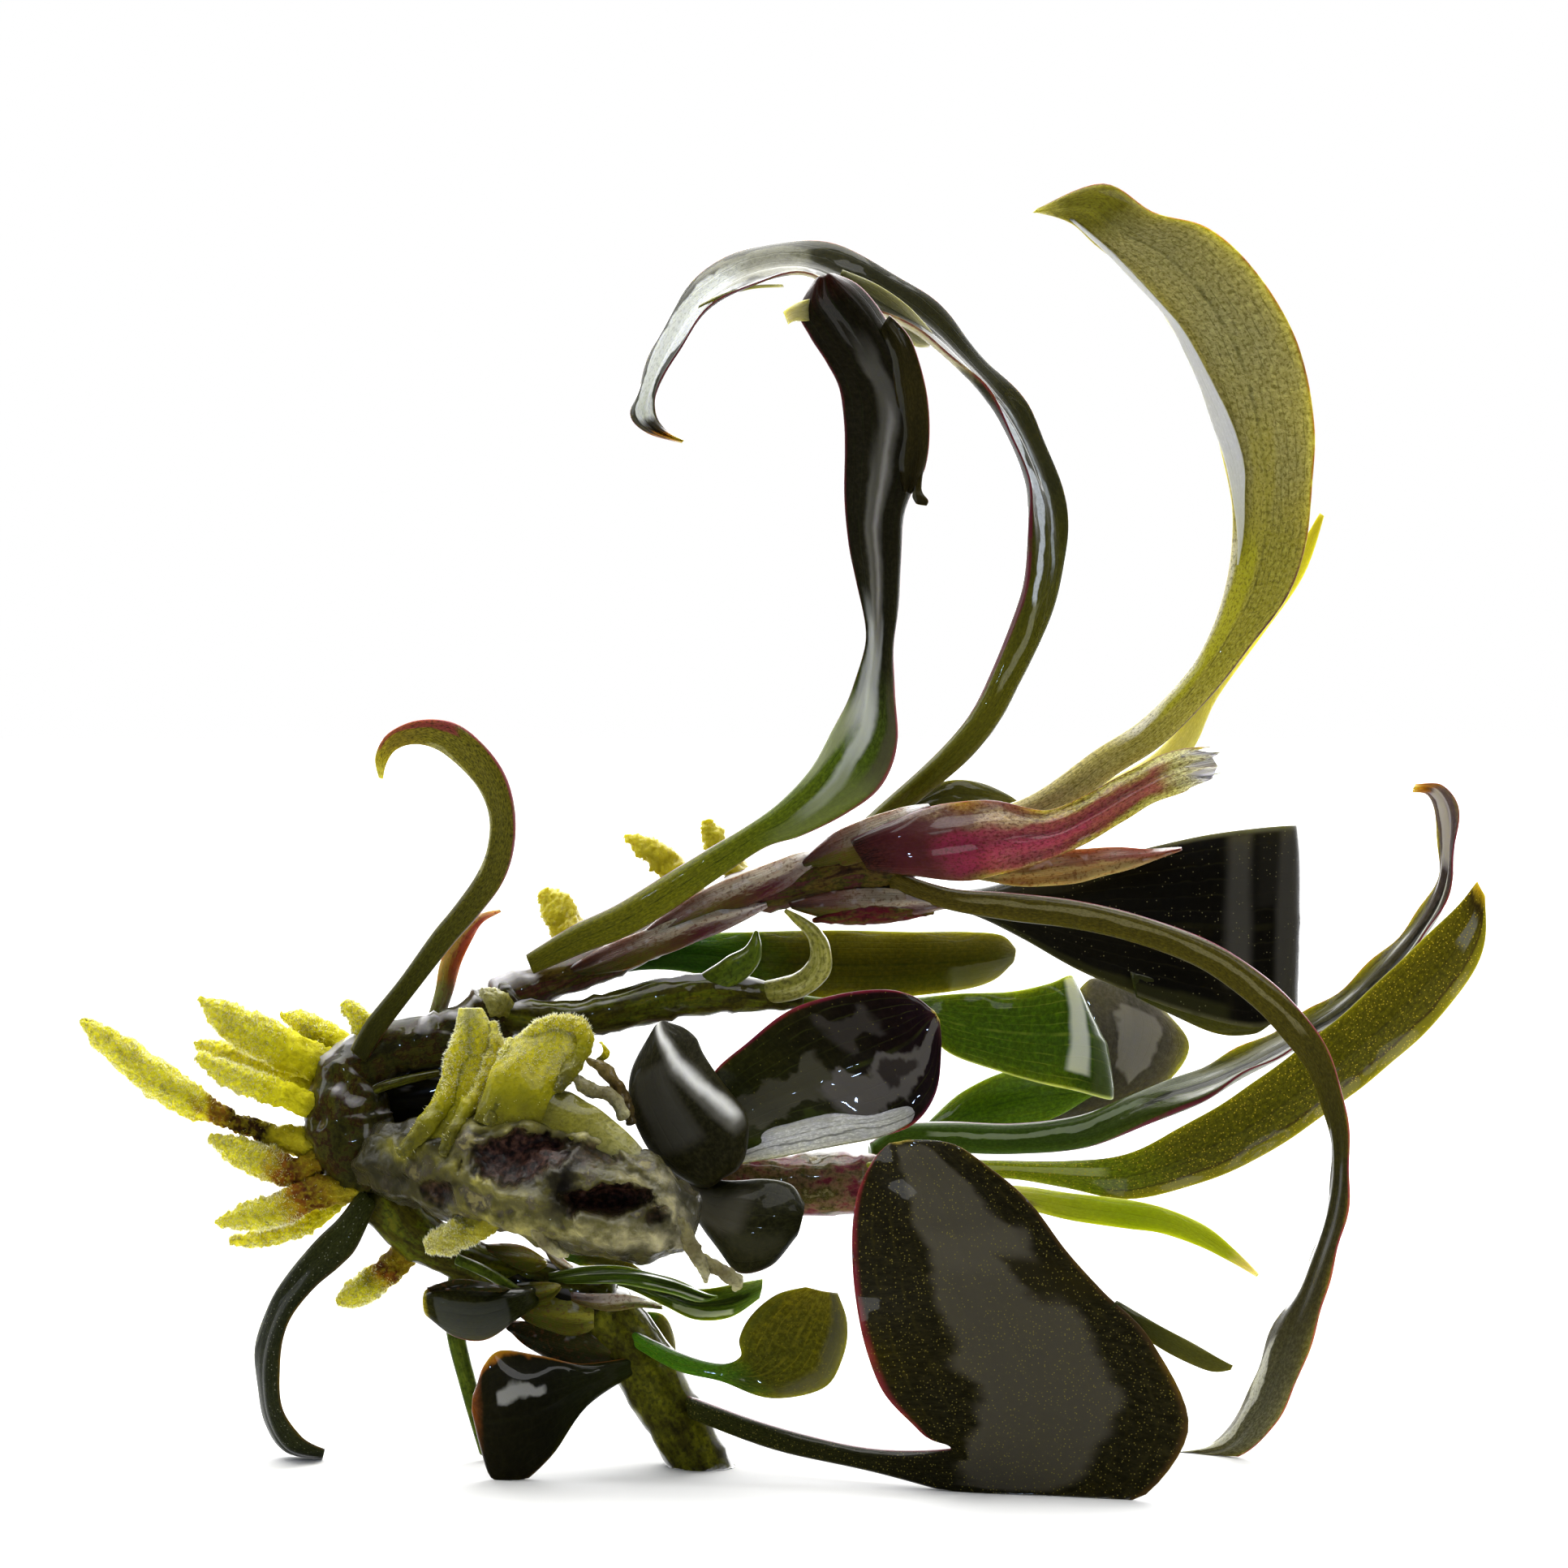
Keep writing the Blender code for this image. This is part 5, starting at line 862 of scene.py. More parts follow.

# %% [markdown]
# ## Veins, cells and patches
# The skin has parallel veins that run with the edges, a mottle of cells, pale specks where the
# tissue shines through, and a thin red margin. A photograph could be wrapped around it, but this
# pattern is worked out from the place on the leaf, so it bends with it and looks the same from
# all sides. Most grey and pale patches with slow, wavy borders are painted reflections of the
# bright room in the film of water; the other patches are the leaf's own colours.


# %% Leaf skin
def leaf_finish(name, along, patches=(), veins=4, vein="2a2c10", vein_strength=0.25,
                edges=("5a1f24", "5a1f24"), mottle=0.4, mottle_shade=0.5, specks=0.0, speck="a8a23a",
                speck_share=0.55, dashes=0.0, dash="2c2a0c", glow=0.5, rough=0.36, film=1.0,
                wobble=0.10, soft=1.0):
    """The skin of a leaf. `along` gives its colours from the base, 0, to the tip, 1. A patch is
    from, to along the leaf, from, to across it, its colour, how strong it is and, where it lies
    aslant, how far across the leaf it slides on its way."""
    material, node, place = tissue(name)
    across, length, share = node("SeparateXYZ", place).node.outputs
    # in the leaf's own millimetres, so that the cells stretch and bend with it
    on_leaf = node("CombineXYZ", node("Math MULTIPLY", across, 3.0), length)
    cloud = node("TexNoise", Vector=on_leaf, Scale=0.7, Detail=4.0)
    drift = node("Math SUBTRACT", cloud, 0.5)
    body = node("ValToRGB", node("Math MULTIPLY_ADD", drift, wobble, share), stops=along)
    # cells of a tenth of a millimetre, in clumps of three, some darker and some lighter
    cells = node("TexNoise", Vector=on_leaf, Scale=3.2, Detail=8.0, Roughness=0.75)
    darker = node("HueSaturation", Saturation=1.15, Value=mottle_shade, Color=body)
    body = paint(node, body, (node("MapRange", cells, 0.46, 0.56), mottle, darker))
    lighter = node("HueSaturation", Saturation=1.05, Value=1.45, Color=body)
    layers = [(node("MapRange", cells, 0.46, 0.38), mottle, lighter)]
    # veins: lines at even shares of the width, a little wavy
    wavy = node("Math MULTIPLY_ADD", across, float(veins), node("Math MULTIPLY", drift, 0.5))
    line = node("MapRange SMOOTHSTEP", node("Math PINGPONG", wavy, 0.5), 0.10, 0.0)
    midrib = node("MapRange SMOOTHSTEP", node("Math ABSOLUTE", across), 0.05, 0.015)
    lines = node("Math MAXIMUM", line, midrib)
    faded = node("Math MULTIPLY", lines, node("MapRange", cloud, 0.35, 0.6))
    layers.append((faded, vein_strength, vein))
    # patches fade in over a few hundredths of the leaf, along and across
    slow = node("Math SUBTRACT", node("TexNoise", Vector=on_leaf, Scale=0.32, Detail=4.0), 0.5)
    onward = node("Math MULTIPLY_ADD", slow, wobble, share)
    sideways = node("Math MULTIPLY_ADD", slow, 8.0 * wobble, across)
    for start, end, left, right, shade, strength, *slide in patches:
        lane = sideways
        if slide:
            lane = node("Math SUBTRACT", lane, node("MapRange", onward, start, end, 0.0, *slide))
        inside = 1.0
        for way, border, blur in ((onward, start, 0.012), (onward, end, -0.012),
                                  (lane, left, 0.04), (lane, right, -0.04)):
            side = node("MapRange SMOOTHSTEP", way, border - blur * soft, border + blur * soft)
            inside = node("Math MULTIPLY", side, inside)
        layers.append((inside, strength, shade))
    if dashes:
        # short dark dashes, a quarter of a millimetre long; real ones are a little finer
        stretched = node("CombineXYZ", node("Math MULTIPLY", across, 9.0), node("Math MULTIPLY", length, 2.2))
        strewn = node("TexNoise", Vector=stretched, Scale=1.7, Detail=4.0, Roughness=0.65)
        layers.append((node("MapRange", strewn, 0.50, 0.60), dashes, dash))
    if specks:
        # a speck is half a tenth of a millimetre wide, at most one in each fifth of a millimetre
        grain = node("TexVoronoi", Vector=node("TexCoord", give="Object"), Scale=5200.0).node.outputs
        dot = node("MapRange", grain["Distance"], 0.26, 0.10)
        chosen = node("Math GREATER_THAN", node("SeparateXYZ", grain["Color"]), speck_share)
        layers.append((node("Math MULTIPLY", dot, chosen), specks, speck))
    for edge, shade in zip((-1.0, 1.0), edges):
        # a line about a tenth of a millimetre wide, broken here and there
        near = node("MapRange SMOOTHSTEP", across, edge * 0.93, edge * 0.99)
        layers.append((near, node("MapRange", cloud, 0.30, 0.50, 0.35, 0.9), shade))
    height = node("Math MULTIPLY_ADD", lines, -0.4, cells)
    ripples = node("TexNoise", Vector=on_leaf, Scale=0.35, Detail=2.0)
    return wet(material, node, paint(node, body, *layers),
               {"Normal": (height, 0.4, 0.08), "Coat Normal": (ripples, 0.25, 0.4)}, glow, rough, film)


# old thin leaf with the light behind it: it glows olive, with dark dashes; its white bands on the
# stalk and the inner edge are painted highlights
BACKLIT_OLIVE = leaf_finish(
    "olive leaf with the light behind it",
    {0: "d0c090", 0.12: "c4b67c", 0.22: "beb25c", 0.34: "aca43c", 0.5: "a29a44", 0.58: "9c965c",
     0.72: "a29c64", 0.86: "948e58", 0.91: "6c681c", 0.965: "7c7824", 1: "dcd468"},
    [(0.22, 0.33, -0.9, -0.45, "ece8d8", 0.75), (0.27, 0.5, -0.72, -0.15, "b4b01c", 0.65),
     (0.32, 0.5, -1.2, -0.8, "dcd8c0", 0.7), (0.915, 0.95, -0.3, 0.7, "8c8820", 0.6),
     (0.5, 0.62, -0.5, 0, "a8a038", 0.4, 0.3)],
    veins=6, vein="3c3a14", vein_strength=0.6, edges=("b4a880", "4c0c1c"), mottle=0.6, mottle_shade=0.6,
    dashes=0.6, dash="4c4414", rough=0.5, film=0.45, wobble=0.05, soft=2)
print(BACKLIT_OLIVE.name, "takes", len(BACKLIT_OLIVE.node_tree.nodes), "nodes")

# %% The tall leaves of the crown
# young leaf: so thin that it is lit all through
PALE_YOUNG = leaf_finish(
    "pale young leaf", {0: "d8d28a", 0.5: "d4cc6a", 0.9: "c0bc3a", 1: "b0a82a"}, veins=3, vein="a49c30",
    edges=("c8c04a", "c8c04a"), mottle=0.3, mottle_shade=0.7, glow=0.95, rough=0.35, film=0.5)
# its black face mirrors a softbox; where it turns over, its underside is painted with silver and
# blue-white bands of reflection
BLACK_GREEN = leaf_finish(
    "black-green leaf with painted silver reflections",
    {0: "5c5c14", 0.2: "646216", 0.3: "4c4c12", 0.4: "2c2c12", 0.62: "26260e", 0.72: "3c3c2c",
     0.9: "45463c", 0.955: "3c342c", 0.975: "c07a1c", 1: "e8d070"},
    [(0.73, 0.93, -0.78, 0.62, "e4e8ea", 0.92), (0.695, 0.75, -0.6, 0.75, "8c8c78", 0.8),
     (0.5, 0.7, -1.2, -0.62, "b8b088", 0.85), (0.3, 0.5, -0.62, -0.3, "c8d0d8", 0.85),
     (0.33, 0.47, 0.12, 0.34, "98a0a4", 0.75), (0.22, 0.3, -0.5, -0.1, "a8a888", 0.4)],
    edges=("5c1c2c", "6c1c34"), mottle=0.45, dashes=0.25, glow=0.2, rough=0.32)
# grey stripes of reflected light are painted along its long folds
FOLDED = leaf_finish(
    "folded leaf, green below and black above",
    {0: "5c5a10", 0.16: "6c6c10", 0.3: "5c6a10", 0.42: "4c5f14", 0.485: "44501c", 0.54: "2c2c18",
     0.66: "211f12", 0.93: "1c180c", 1: "34140f"},
    [(0.44, 0.6, -0.8, 0.2, "a8aaa4", 0.8), (0.34, 0.5, 0, 0.45, "c4c8bc", 0.6, -0.4),
     (0.56, 0.86, -0.4, 0.1, "5c5a52", 0.8, 0.2), (0.6, 0.78, -0.15, -0.02, "9c9a94", 0.7, 0.1),
     (0.58, 0.74, -0.4, -0.3, "7c7a72", 0.6), (0.37, 0.47, -1.2, -0.55, "a4a884", 0.5),
     (0.4, 0.52, 0.6, 1.2, "4c4834", 0.8), (0.28, 0.42, 0, 0.9, "6c7440", 0.6)],
    veins=5, vein="1c240a", vein_strength=0.7, edges=("4c1a22", "7a1c30"), mottle=0.7, glow=0.4, film=0.3,
    wobble=0.05, soft=2.5)
# its lobes are nearly black, with a painted grey band of reflected light along one edge
DARK_LOBE = leaf_finish(
    "dark lobe of the folded leaf", {0: "24200c", 0.4: "342e12", 1: "201c0c"},
    [(0.1, 0.8, -0.9, -0.5, "54544c", 0.6)], veins=3, edges=("3c1c1c", "6c1c2c"), mottle=0.6, glow=0.3,
    rough=0.38, film=0.5)
# a turned-over edge: an underside, paler and duller than the face
PALE_BAND = leaf_finish(
    "pale band of an underside", {0: "5c5c34", 0.5: "84825c", 0.85: "a8a684", 1: "e0dcc4"}, veins=2,
    edges=("5c5c3c", "8c8a64"), mottle_shade=0.7, rough=0.4, film=0.5)
# the inner edge of the tall leaf: painted white as a reflection of the bright room, and nearly
# opaque, with faint grey veins
REFLECTED_WHITE_INSIDE = leaf_finish(
    "inner face of a leaf, painted white as a reflection", {0: "e4e4e0", 0.6: "dadad8", 1: "c4c4ac"}, veins=3, vein="a8a898",
    vein_strength=0.4, edges=("c8c8bc", "a8a048"), mottle=0.3, mottle_shade=0.85, glow=0.15, rough=0.4,
    film=0.6)
# a tip that has dried: cream, and light comes through it
CREAM = leaf_finish(
    "cream tip", {0: "3c3a1c", 0.35: "8c8858", 1: "dcd49c"}, veins=2, edges=("a8a060", "a8a060"),
    mottle=0.3, mottle_shade=0.7, glow=0.8, rough=0.4)
# dashes make it look mossy, its outer edge is wine-red, and a pale band along its inner edge is a
# painted highlight
HOOKED_OLIVE = leaf_finish(
    "olive leaf that curls over",
    {0: "2a2a0c", 0.18: "48480f", 0.35: "5c5818", 0.55: "6c661c", 0.72: "7c7420", 0.84: "8c7c26",
     0.93: "b8ac30", 1: "e8e068"},
    [(0.36, 0.74, -1.2, -0.6, "a8a468", 0.55), (0.7, 0.9, 0.62, 1.2, "8c2c3c", 0.8)],
    edges=("8a8440", "7c2434"), mottle=0.65, mottle_shade=0.45, dashes=0.8, glow=0.6, rough=0.4, film=0.6)
# the same mossy skin, with pale bands of painted reflection where its film of water shines
LONG_STALK = leaf_finish(
    "olive leaf on a long bent stalk",
    {0: "5c5018", 0.15: "50480f", 0.35: "544c10", 0.5: "4a4416", 0.6: "363216", 0.75: "484428",
     0.9: "66644a", 1: "6a6640"},
    [(0.08, 0.42, 0.1, 0.45, "9c9468", 0.4), (0.78, 0.97, -0.8, -0.35, "d4d4c4", 0.7),
     (0.55, 0.72, -0.7, -0.3, "74705c", 0.5)],
    veins=5, edges=("3c3414", "7a2440"), mottle=0.65, mottle_shade=0.45, dashes=0.45, glow=0.4, film=0.75)
print(len(bpy.data.materials), "materials so far")

# %% The leaves at the right
# nearly black, with gold pores; its faint grey bands are painted reflections in its film of water
BLACK_SPECKED = leaf_finish(
    "black leaf with gold specks", {0: "2a2a0c", 0.2: "16140a", 0.45: "0d0b06", 1: "100e08"},
    [(0.545, 0.588, -0.95, 0.62, "403e38", 0.9), (0.645, 0.72, -1, 0.85, "3a3832", 0.9),
     (0.6, 0.645, -1, -0.2, "201e18", 0.7), (0.1, 0.55, 0.8, 1.2, "2c2c10", 0.7)],
    veins=6, vein="24220c", vein_strength=0.5, edges=("54544c", "4c4a30"), specks=0.6, speck="8c885c",
    speck_share=0.8, glow=0.1, rough=0.38, film=0.7, wobble=0.02)
# the largest black leaf: one broad dull image of a softbox is painted on it in grey
BLACK_OLIVE = leaf_finish(
    "broad black-olive leaf",
    {0: "343810", 0.2: "1f1d0a", 0.5: "211e0c", 0.8: "1c190b", 0.97: "24200e", 1: "a08c3c"},
    [(0.24, 0.7, -0.55, 0.45, "4b473b", 0.78, 0.25), (0.62, 0.95, -0.28, 0.62, "4b473b", 0.78, -0.2),
     (0.565, 0.65, 0.42, 1, "201c08", 0.95, -0.15)],
    veins=5, vein="302c0c", vein_strength=0.5, edges=("6c1c2c", "3c2c18"), mottle=0.9, specks=0.9,
    speck="7c7430", speck_share=0.15, glow=0.15, film=0.75, wobble=0.06, soft=1.6)
# strong gold pores on olive, with a pale fold below and a painted grey sheen near the tip
GOLD_SPECKED = leaf_finish(
    "olive leaf with gold specks",
    {0: "a8ac2c", 0.16: "94a018", 0.3: "74820c", 0.42: "5c5c08", 0.9: "5c5608", 0.955: "3c3010",
     0.975: "a8901c", 1: "e0c030"},
    [(0.3, 0.97, 0.66, 1.2, "787410", 0.8), (0.3, 0.95, 0.58, 0.63, "34180c", 0.75),
     (0.05, 0.3, -0.5, 0, "ccd08c", 0.4), (0.86, 0.93, -0.2, 0.3, "8c8c80", 0.5)],
    veins=6, vein="34300a", vein_strength=0.5, edges=("5c5a20", "8c8430"), mottle=0.8, specks=1,
    speck="c8b430", speck_share=0, glow=0.55, rough=0.45, film=0.4, wobble=0.03)
# long and narrow: painted silver reflections beside a black groove, and a gold tip
SILVER_REFLECTION_GREEN = leaf_finish(
    "long green leaf with painted silver bands",
    {0: "4c6c1c", 0.22: "42581a", 0.45: "48481c", 0.62: "403c26", 0.8: "544848", 0.93: "6a5854",
     0.965: "b87c20", 1: "ecc860"},
    [(0.1, 0.3, -0.45, -0.1, "a8b494", 0.6), (0.3, 0.74, -0.05, 0.28, "16160c", 0.85),
     (0.36, 0.8, 0.36, 0.8, "9a9c8c", 0.75), (0.4, 0.7, -0.8, -0.5, "6c6c3c", 0.6),
     (0.78, 0.95, -0.5, 0.3, "c8c4c8", 0.8)],
    edges=("5c1c34", "6c2438"), mottle=0.5, glow=0.45, rough=0.32, film=0.6)
# fresh tissue: light comes through it, and its pale veins show; a silver band of painted
# reflection lies where it curls over
FRESH_GREEN = leaf_finish(
    "fresh green leaf", {0: "5c6c10", 0.3: "4c6a0c", 0.58: "42600c", 0.66: "34500c", 1: "4c5c20"},
    [(0.62, 0.685, -1.2, 0.7, "ccd0cc", 0.8), (0.7, 1.1, -1.2, 1.2, "46542c", 0.7)], veins=5,
    vein="8c9c34", vein_strength=0.4, edges=("54702c", "a0b070"), mottle=0.7, glow=0.6, film=0.7,
    wobble=0.03)
# older green tissue in the shade: even more light comes through, and its veins are dark
BACK_GREEN = leaf_finish(
    "green leaf further back", {0: "4c5c10", 0.4: "4c6c0e", 1: "547010"}, veins=5, vein="24400a",
    vein_strength=0.6, edges=("2c4c10", "2c4c10"), mottle=0.6, glow=0.75)
# far back, grey and even, with one broad pale patch of painted reflection
GREY_SHADOW = leaf_finish(
    "grey leaf far back", {0: "3c3c24", 0.4: "48443a", 0.7: "54504a", 1: "7a766c"},
    [(0.45, 0.75, -0.2, 0.5, "94908a", 0.7)], veins=6, edges=("3c3c34", "3c3c34"), mottle=0.45, glow=0.35)
# a narrow young leaf, so thin that light fills it from base to tip
YELLOW_GREEN = leaf_finish(
    "yellow-green leaf",
    {0: "d8d080", 0.18: "d4cc70", 0.32: "b0b828", 0.5: "98a810", 0.85: "a4ac20", 0.95: "dccc80",
     1: "f4e4b8"},
    [(0.05, 0.3, 0.1, 0.5, "7c7438", 0.6)], veins=3, vein="74840c", vein_strength=0.4,
    edges=("b8bc40", "7c8418"), mottle=0.35, mottle_shade=0.7, glow=0.95, rough=0.35, film=0.7)
# green at its base and olive where it is old, lit through
TWO_TONE = leaf_finish(
    "leaf that turns from green to olive",
    {0: "24440c", 0.26: "2c5a10", 0.36: "34560e", 0.44: "4c4c0c", 0.6: "545010", 0.85: "605c1c",
     1: "7c7650"},
    [(0.72, 1.1, 0.1, 1.2, "8c8a70", 0.6)], veins=6, vein="24340a", vein_strength=0.4,
    edges=("3c4c14", "5c5c20"), mottle=0.45, glow=0.8, rough=0.34)
# undersides and leaves in the back: plain dark olive
OLIVE_BACK = leaf_finish(
    "olive underside", {0: "2c3010", 0.5: "4a4a18", 1: "54521c"}, edges=("3c3c14", "3c3c14"))
print(len(bpy.data.materials), "materials so far")

# %% The leaves around the cut end and below
# purple-black, with torn grey patches of painted reflection in its film of water
PURPLE_BLACK = leaf_finish(
    "purple-black leaf",
    {0: "3c4c14", 0.15: "2c300c", 0.42: "202008", 0.66: "160e0a", 0.86: "190a10", 0.965: "34181f",
     1: "d0b84a"},
    [(0.16, 0.5, -0.35, 0.3, "484638", 0.85), (0.44, 0.95, 0.05, 0.62, "5c5854", 0.85),
     (0.55, 0.68, -0.75, -0.3, "3c3834", 0.7), (0.6, 0.72, 0.18, 0.4, "1c1410", 0.8),
     (0.16, 0.45, 0.5, 0.95, "30380c", 0.8)],
    veins=6, vein="5c6a14", vein_strength=0.15, edges=("6c1434", "4c1230"), mottle=0.6, specks=0.3,
    speck_share=0.9, glow=0.2, film=0.8, wobble=0.17)
# its edge turns over, and that underside is painted silver as a reflection of the bright room,
# with grey veins
REFLECTED_SILVER_LIP = leaf_finish(
    "underside of a leaf, painted silver as a reflection", {0: "a8a8a0", 0.3: "d0d0ca", 0.7: "c8c8c0", 1: "8c8c84"},
    [(0, 1.1, 0.36, 0.46, "54544a", 0.7), (0.1, 0.5, -0.9, -0.4, "8c8c80", 0.6)], vein="6c6c5c",
    vein_strength=0.7, edges=("34342a", "5c5c4c"), mottle=0.7, mottle_shade=0.66, glow=0.3, rough=0.4,
    film=0.6, wobble=0.12)
# fleshy and dull, with a painted grey sheen and one painted white highlight along its fold
GREY_SHEEN_FLESHY = leaf_finish(
    "wet black leaf, fleshy, with a painted grey sheen",
    {0: "2c2a12", 0.3: "28260f", 0.6: "2e2c1c", 0.9: "22210f", 1: "3c3a20"},
    [(0.3, 0.66, -0.75, 0.15, "45433a", 0.85), (0.27, 1.02, 0.62, 1.04, "6c6a62", 0.85, -0.95),
     (0.31, 0.99, 0.74, 0.94, "f0f0ec", 0.95, -0.95)],
    vein_strength=0.1, edges=("34320f", "2c2a12"), mottle=0.9, glow=0.15, rough=0.5, film=0.25,
    wobble=0.035, soft=2.6)
# its neighbour, as fleshy, with a broad dull image of a softbox painted on it in grey
LOBE_WET = leaf_finish(
    "dark olive lobe with a painted grey reflection", {0: "44402c", 0.4: "28260f", 1: "20210a"},
    [(0.15, 0.6, -0.7, 0.3, "4a473a", 0.85), (0.55, 0.85, 0.2, 0.6, "3c3b26", 0.6)], vein_strength=0.1,
    edges=("34340f", "3c2c18"), mottle=0.9, glow=0.15, rough=0.45, film=0.3, wobble=0.12, soft=4)
# cupped and smooth: one painted grey reflection fills most of its face
BOWL_WET = leaf_finish(
    "dark cupped leaf with a painted grey reflection", {0: "2c3010", 0.4: "20220f", 0.9: "2c2c10", 1: "c0b030"},
    [(0.3, 0.82, -0.5, 0.95, "44463e", 0.75)], vein_strength=0.2, edges=("4c2c1c", "5c2424"), mottle=1,
    glow=0.25, rough=0.3, wobble=0.06)
# black and smooth, and its rim has begun to dry; a pale grey streak on it is a painted highlight
ORANGE_RIM = leaf_finish(
    "dark low leaf with an orange rim", {0: "24280c", 0.4: "15150a", 0.8: "1c1a0c", 1: "8c4c1c"},
    [(0.45, 0.85, -1.2, -0.9, "a05c20", 0.8), (0.4, 0.66, -0.5, -0.3, "a8a8a4", 0.7)], vein_strength=0.2,
    edges=("a8641c", "2c2016"), mottle=0.5, glow=0.2, rough=0.3)
# green and smooth, with a dark groove and one painted pale band of reflected light
LOW_GREEN = leaf_finish(
    "low green leaf with a dark groove", {0: "34400c", 0.4: "3c540c", 0.8: "44600e", 1: "5c7c30"},
    [(0.2, 0.9, -0.2, 0.15, "16200a", 0.7), (0.45, 0.8, 0.4, 0.7, "c0c8b4", 0.6)], vein="8a9c40",
    vein_strength=0.4, edges=("4c6414", "8ca84c"), mottle=0.5, glow=0.6, rough=0.3)
# dull, with pale pores
RIBBON = leaf_finish(
    "dark ribbon leaf", {0: "30340f", 0.4: "20240f", 1: "2a2e18"},
    [(0.25, 0.75, -0.95, -0.75, "6c7068", 0.5)], edges=("5c1c28", "3c3018"), mottle=0.8, specks=0.6,
    speck="8c8c78", speck_share=0.6, glow=0.25, rough=0.45, film=0.35)
# green at its base, olive and veined on its face, lit through, with a painted grey sheen on its
# outer side
OLIVE_SPOON = leaf_finish(
    "olive leaf, cupped", {0: "4a8018", 0.25: "4c7a1c", 0.45: "4c4e0e", 0.8: "5c580f", 1: "7c7420"},
    [(0.45, 1.1, 0.55, 1.2, "4c4c3c", 0.8), (0.4, 1, -1.2, -0.75, "343c10", 0.6)], veins=5, vein="8a841c",
    vein_strength=0.35, edges=("2c2c0c", "3c3c14"), mottle=0.8, specks=0.4, speck="9c9428", glow=0.7,
    rough=0.34, soft=3)
# the wrap of the crown: sap makes it pink, and its torn end has dried to cream
PINK_SHEATH = leaf_finish(
    "pink leaf sheath",
    {0: "241412", 0.08: "3c1c1c", 0.2: "6c4c3c", 0.32: "a08c6c", 0.5: "a8925c", 0.66: "a8a04c",
     0.82: "b8b470", 0.92: "dcd8b4", 1: "f8f4ec"},
    [(0.08, 0.34, -0.8, 0.95, "4c1a22", 0.85), (0.22, 0.82, -0.25, 1.05, "8c2444", 0.8, -0.45),
     (0.34, 0.64, 0.15, 0.55, "a83058", 0.5, -0.3), (0.28, 0.46, -1.2, -0.78, "7c2430", 0.7),
     (0.2, 0.34, 0.8, 1.2, "5c5424", 0.7), (0.3, 0.46, -0.55, -0.35, "c4a888", 0.5, -0.1)],
    veins=9, vein="5c2c24", vein_strength=0.55, edges=("5c1c2c", "5c2c1c"), mottle=1, mottle_shade=0.6,
    dashes=0.7, dash="4c2018", rough=0.4, film=0.8, wobble=0.15, soft=4)
print(len(bpy.data.materials), "materials so far")

# %% [markdown]
# ## Sheaths
# A sheath is the papery wrap of a young leaf. It is thin and dry at its torn end, where it is
# straw-coloured, and red nearer the stem where its sap still is. The two halves of a sheath age
# unlike, so its colour is mixed from two runs, by the place across it as well as along it.


# %% Sheath skin
def sheath_finish(name, upper, lower, glow=0.8, film=0.8):
    """Two runs of colour along a sheath, one for each half, with fine ribs between and a painted highlight
    where it faces up.
    """
    material, node, place = tissue(name)
    across, length, share = node("SeparateXYZ", place).node.outputs
    stretched = node("CombineXYZ", node("Math MULTIPLY", across, 2.6), node("Math MULTIPLY", length, 0.55))
    streak = node("TexNoise", Vector=stretched, Scale=1.5, Detail=8.0, Roughness=0.68)
    wander = node("Math SUBTRACT", streak, 0.5)
    onward = node("Math MULTIPLY_ADD", wander, 0.40, share)
    half = node("MapRange SMOOTHSTEP", node("Math MULTIPLY_ADD", wander, 1.8, across), -0.25, 0.25)
    wavy = node("Math MULTIPLY_ADD", across, 8.0, wander)
    line = node("MapRange", node("Math PINGPONG", wavy, 0.5), 0.15, 0.0)
    # flecks of a tenth of a millimetre
    fine = node("TexNoise", Vector=node("TexCoord", give="Object"), Scale=4200.0, Detail=4.0)
    # over the colour runs: fine ribs, flecks, and a painted highlight where the sheath faces up
    body = paint(node, node("ValToRGB", onward, stops=upper),
                 (half, 1.0, node("ValToRGB", onward, stops=lower)), (line, 0.15, "5a3c24"),
                 (node("MapRange", fine, 0.54, 0.64), 0.6, "5c3c20"),
                 sheen(node, node("CombineXYZ", across, length), 0.5))
    height = node("Math MULTIPLY_ADD", line, -0.5, streak)
    return wet(material, node, body, {"Normal": (height, 0.8, 0.25), "Coat Normal": (streak, 0.5, 0.3)},
               glow, 0.4, film, SAP_RADIUS)


# dry: straw above and reddish below
STRAW_SHEATH = sheath_finish(
    "straw-coloured leaf sheath",
    {0: "4c4416", 0.3: "8c8450", 0.7: "8a5c54", 0.92: "a06c64", 1: "8c2c3c"},
    {0: "4c4c18", 0.3: "a8a060", 0.7: "a8a068", 1: "a86c5c"}, glow=0.6)
print(STRAW_SHEATH.name, "takes", len(STRAW_SHEATH.node_tree.nodes), "nodes")

# %% Sheath finishes
# half dry: olive near its base, with a brown half and a cream tip
BROWN_SHEATH = sheath_finish(
    "brown-edged leaf sheath", {0: "545c18", 0.4: "84842c", 0.8: "a89450", 1: "d8c8a0"},
    {0: "4c5c14", 0.5: "7c4428", 0.8: "945444", 1: "d8c8a0"})
# old skin that still hugs the rhizome: pale and torn, with painted bands of highlight where its wet
# folds face up
SKIN_SHEATH = sheath_finish(
    "old sheath skin on the rhizome",
    {0: "3c1c1c", 0.25: "6c4c44", 0.5: "a89c84", 0.75: "b8ac98", 1: "dcd4d4"},
    {0: "3c3c14", 0.35: "5c5418", 0.6: "54202c", 0.8: "948478", 1: "c4b8b8"}, glow=0.5, film=1)
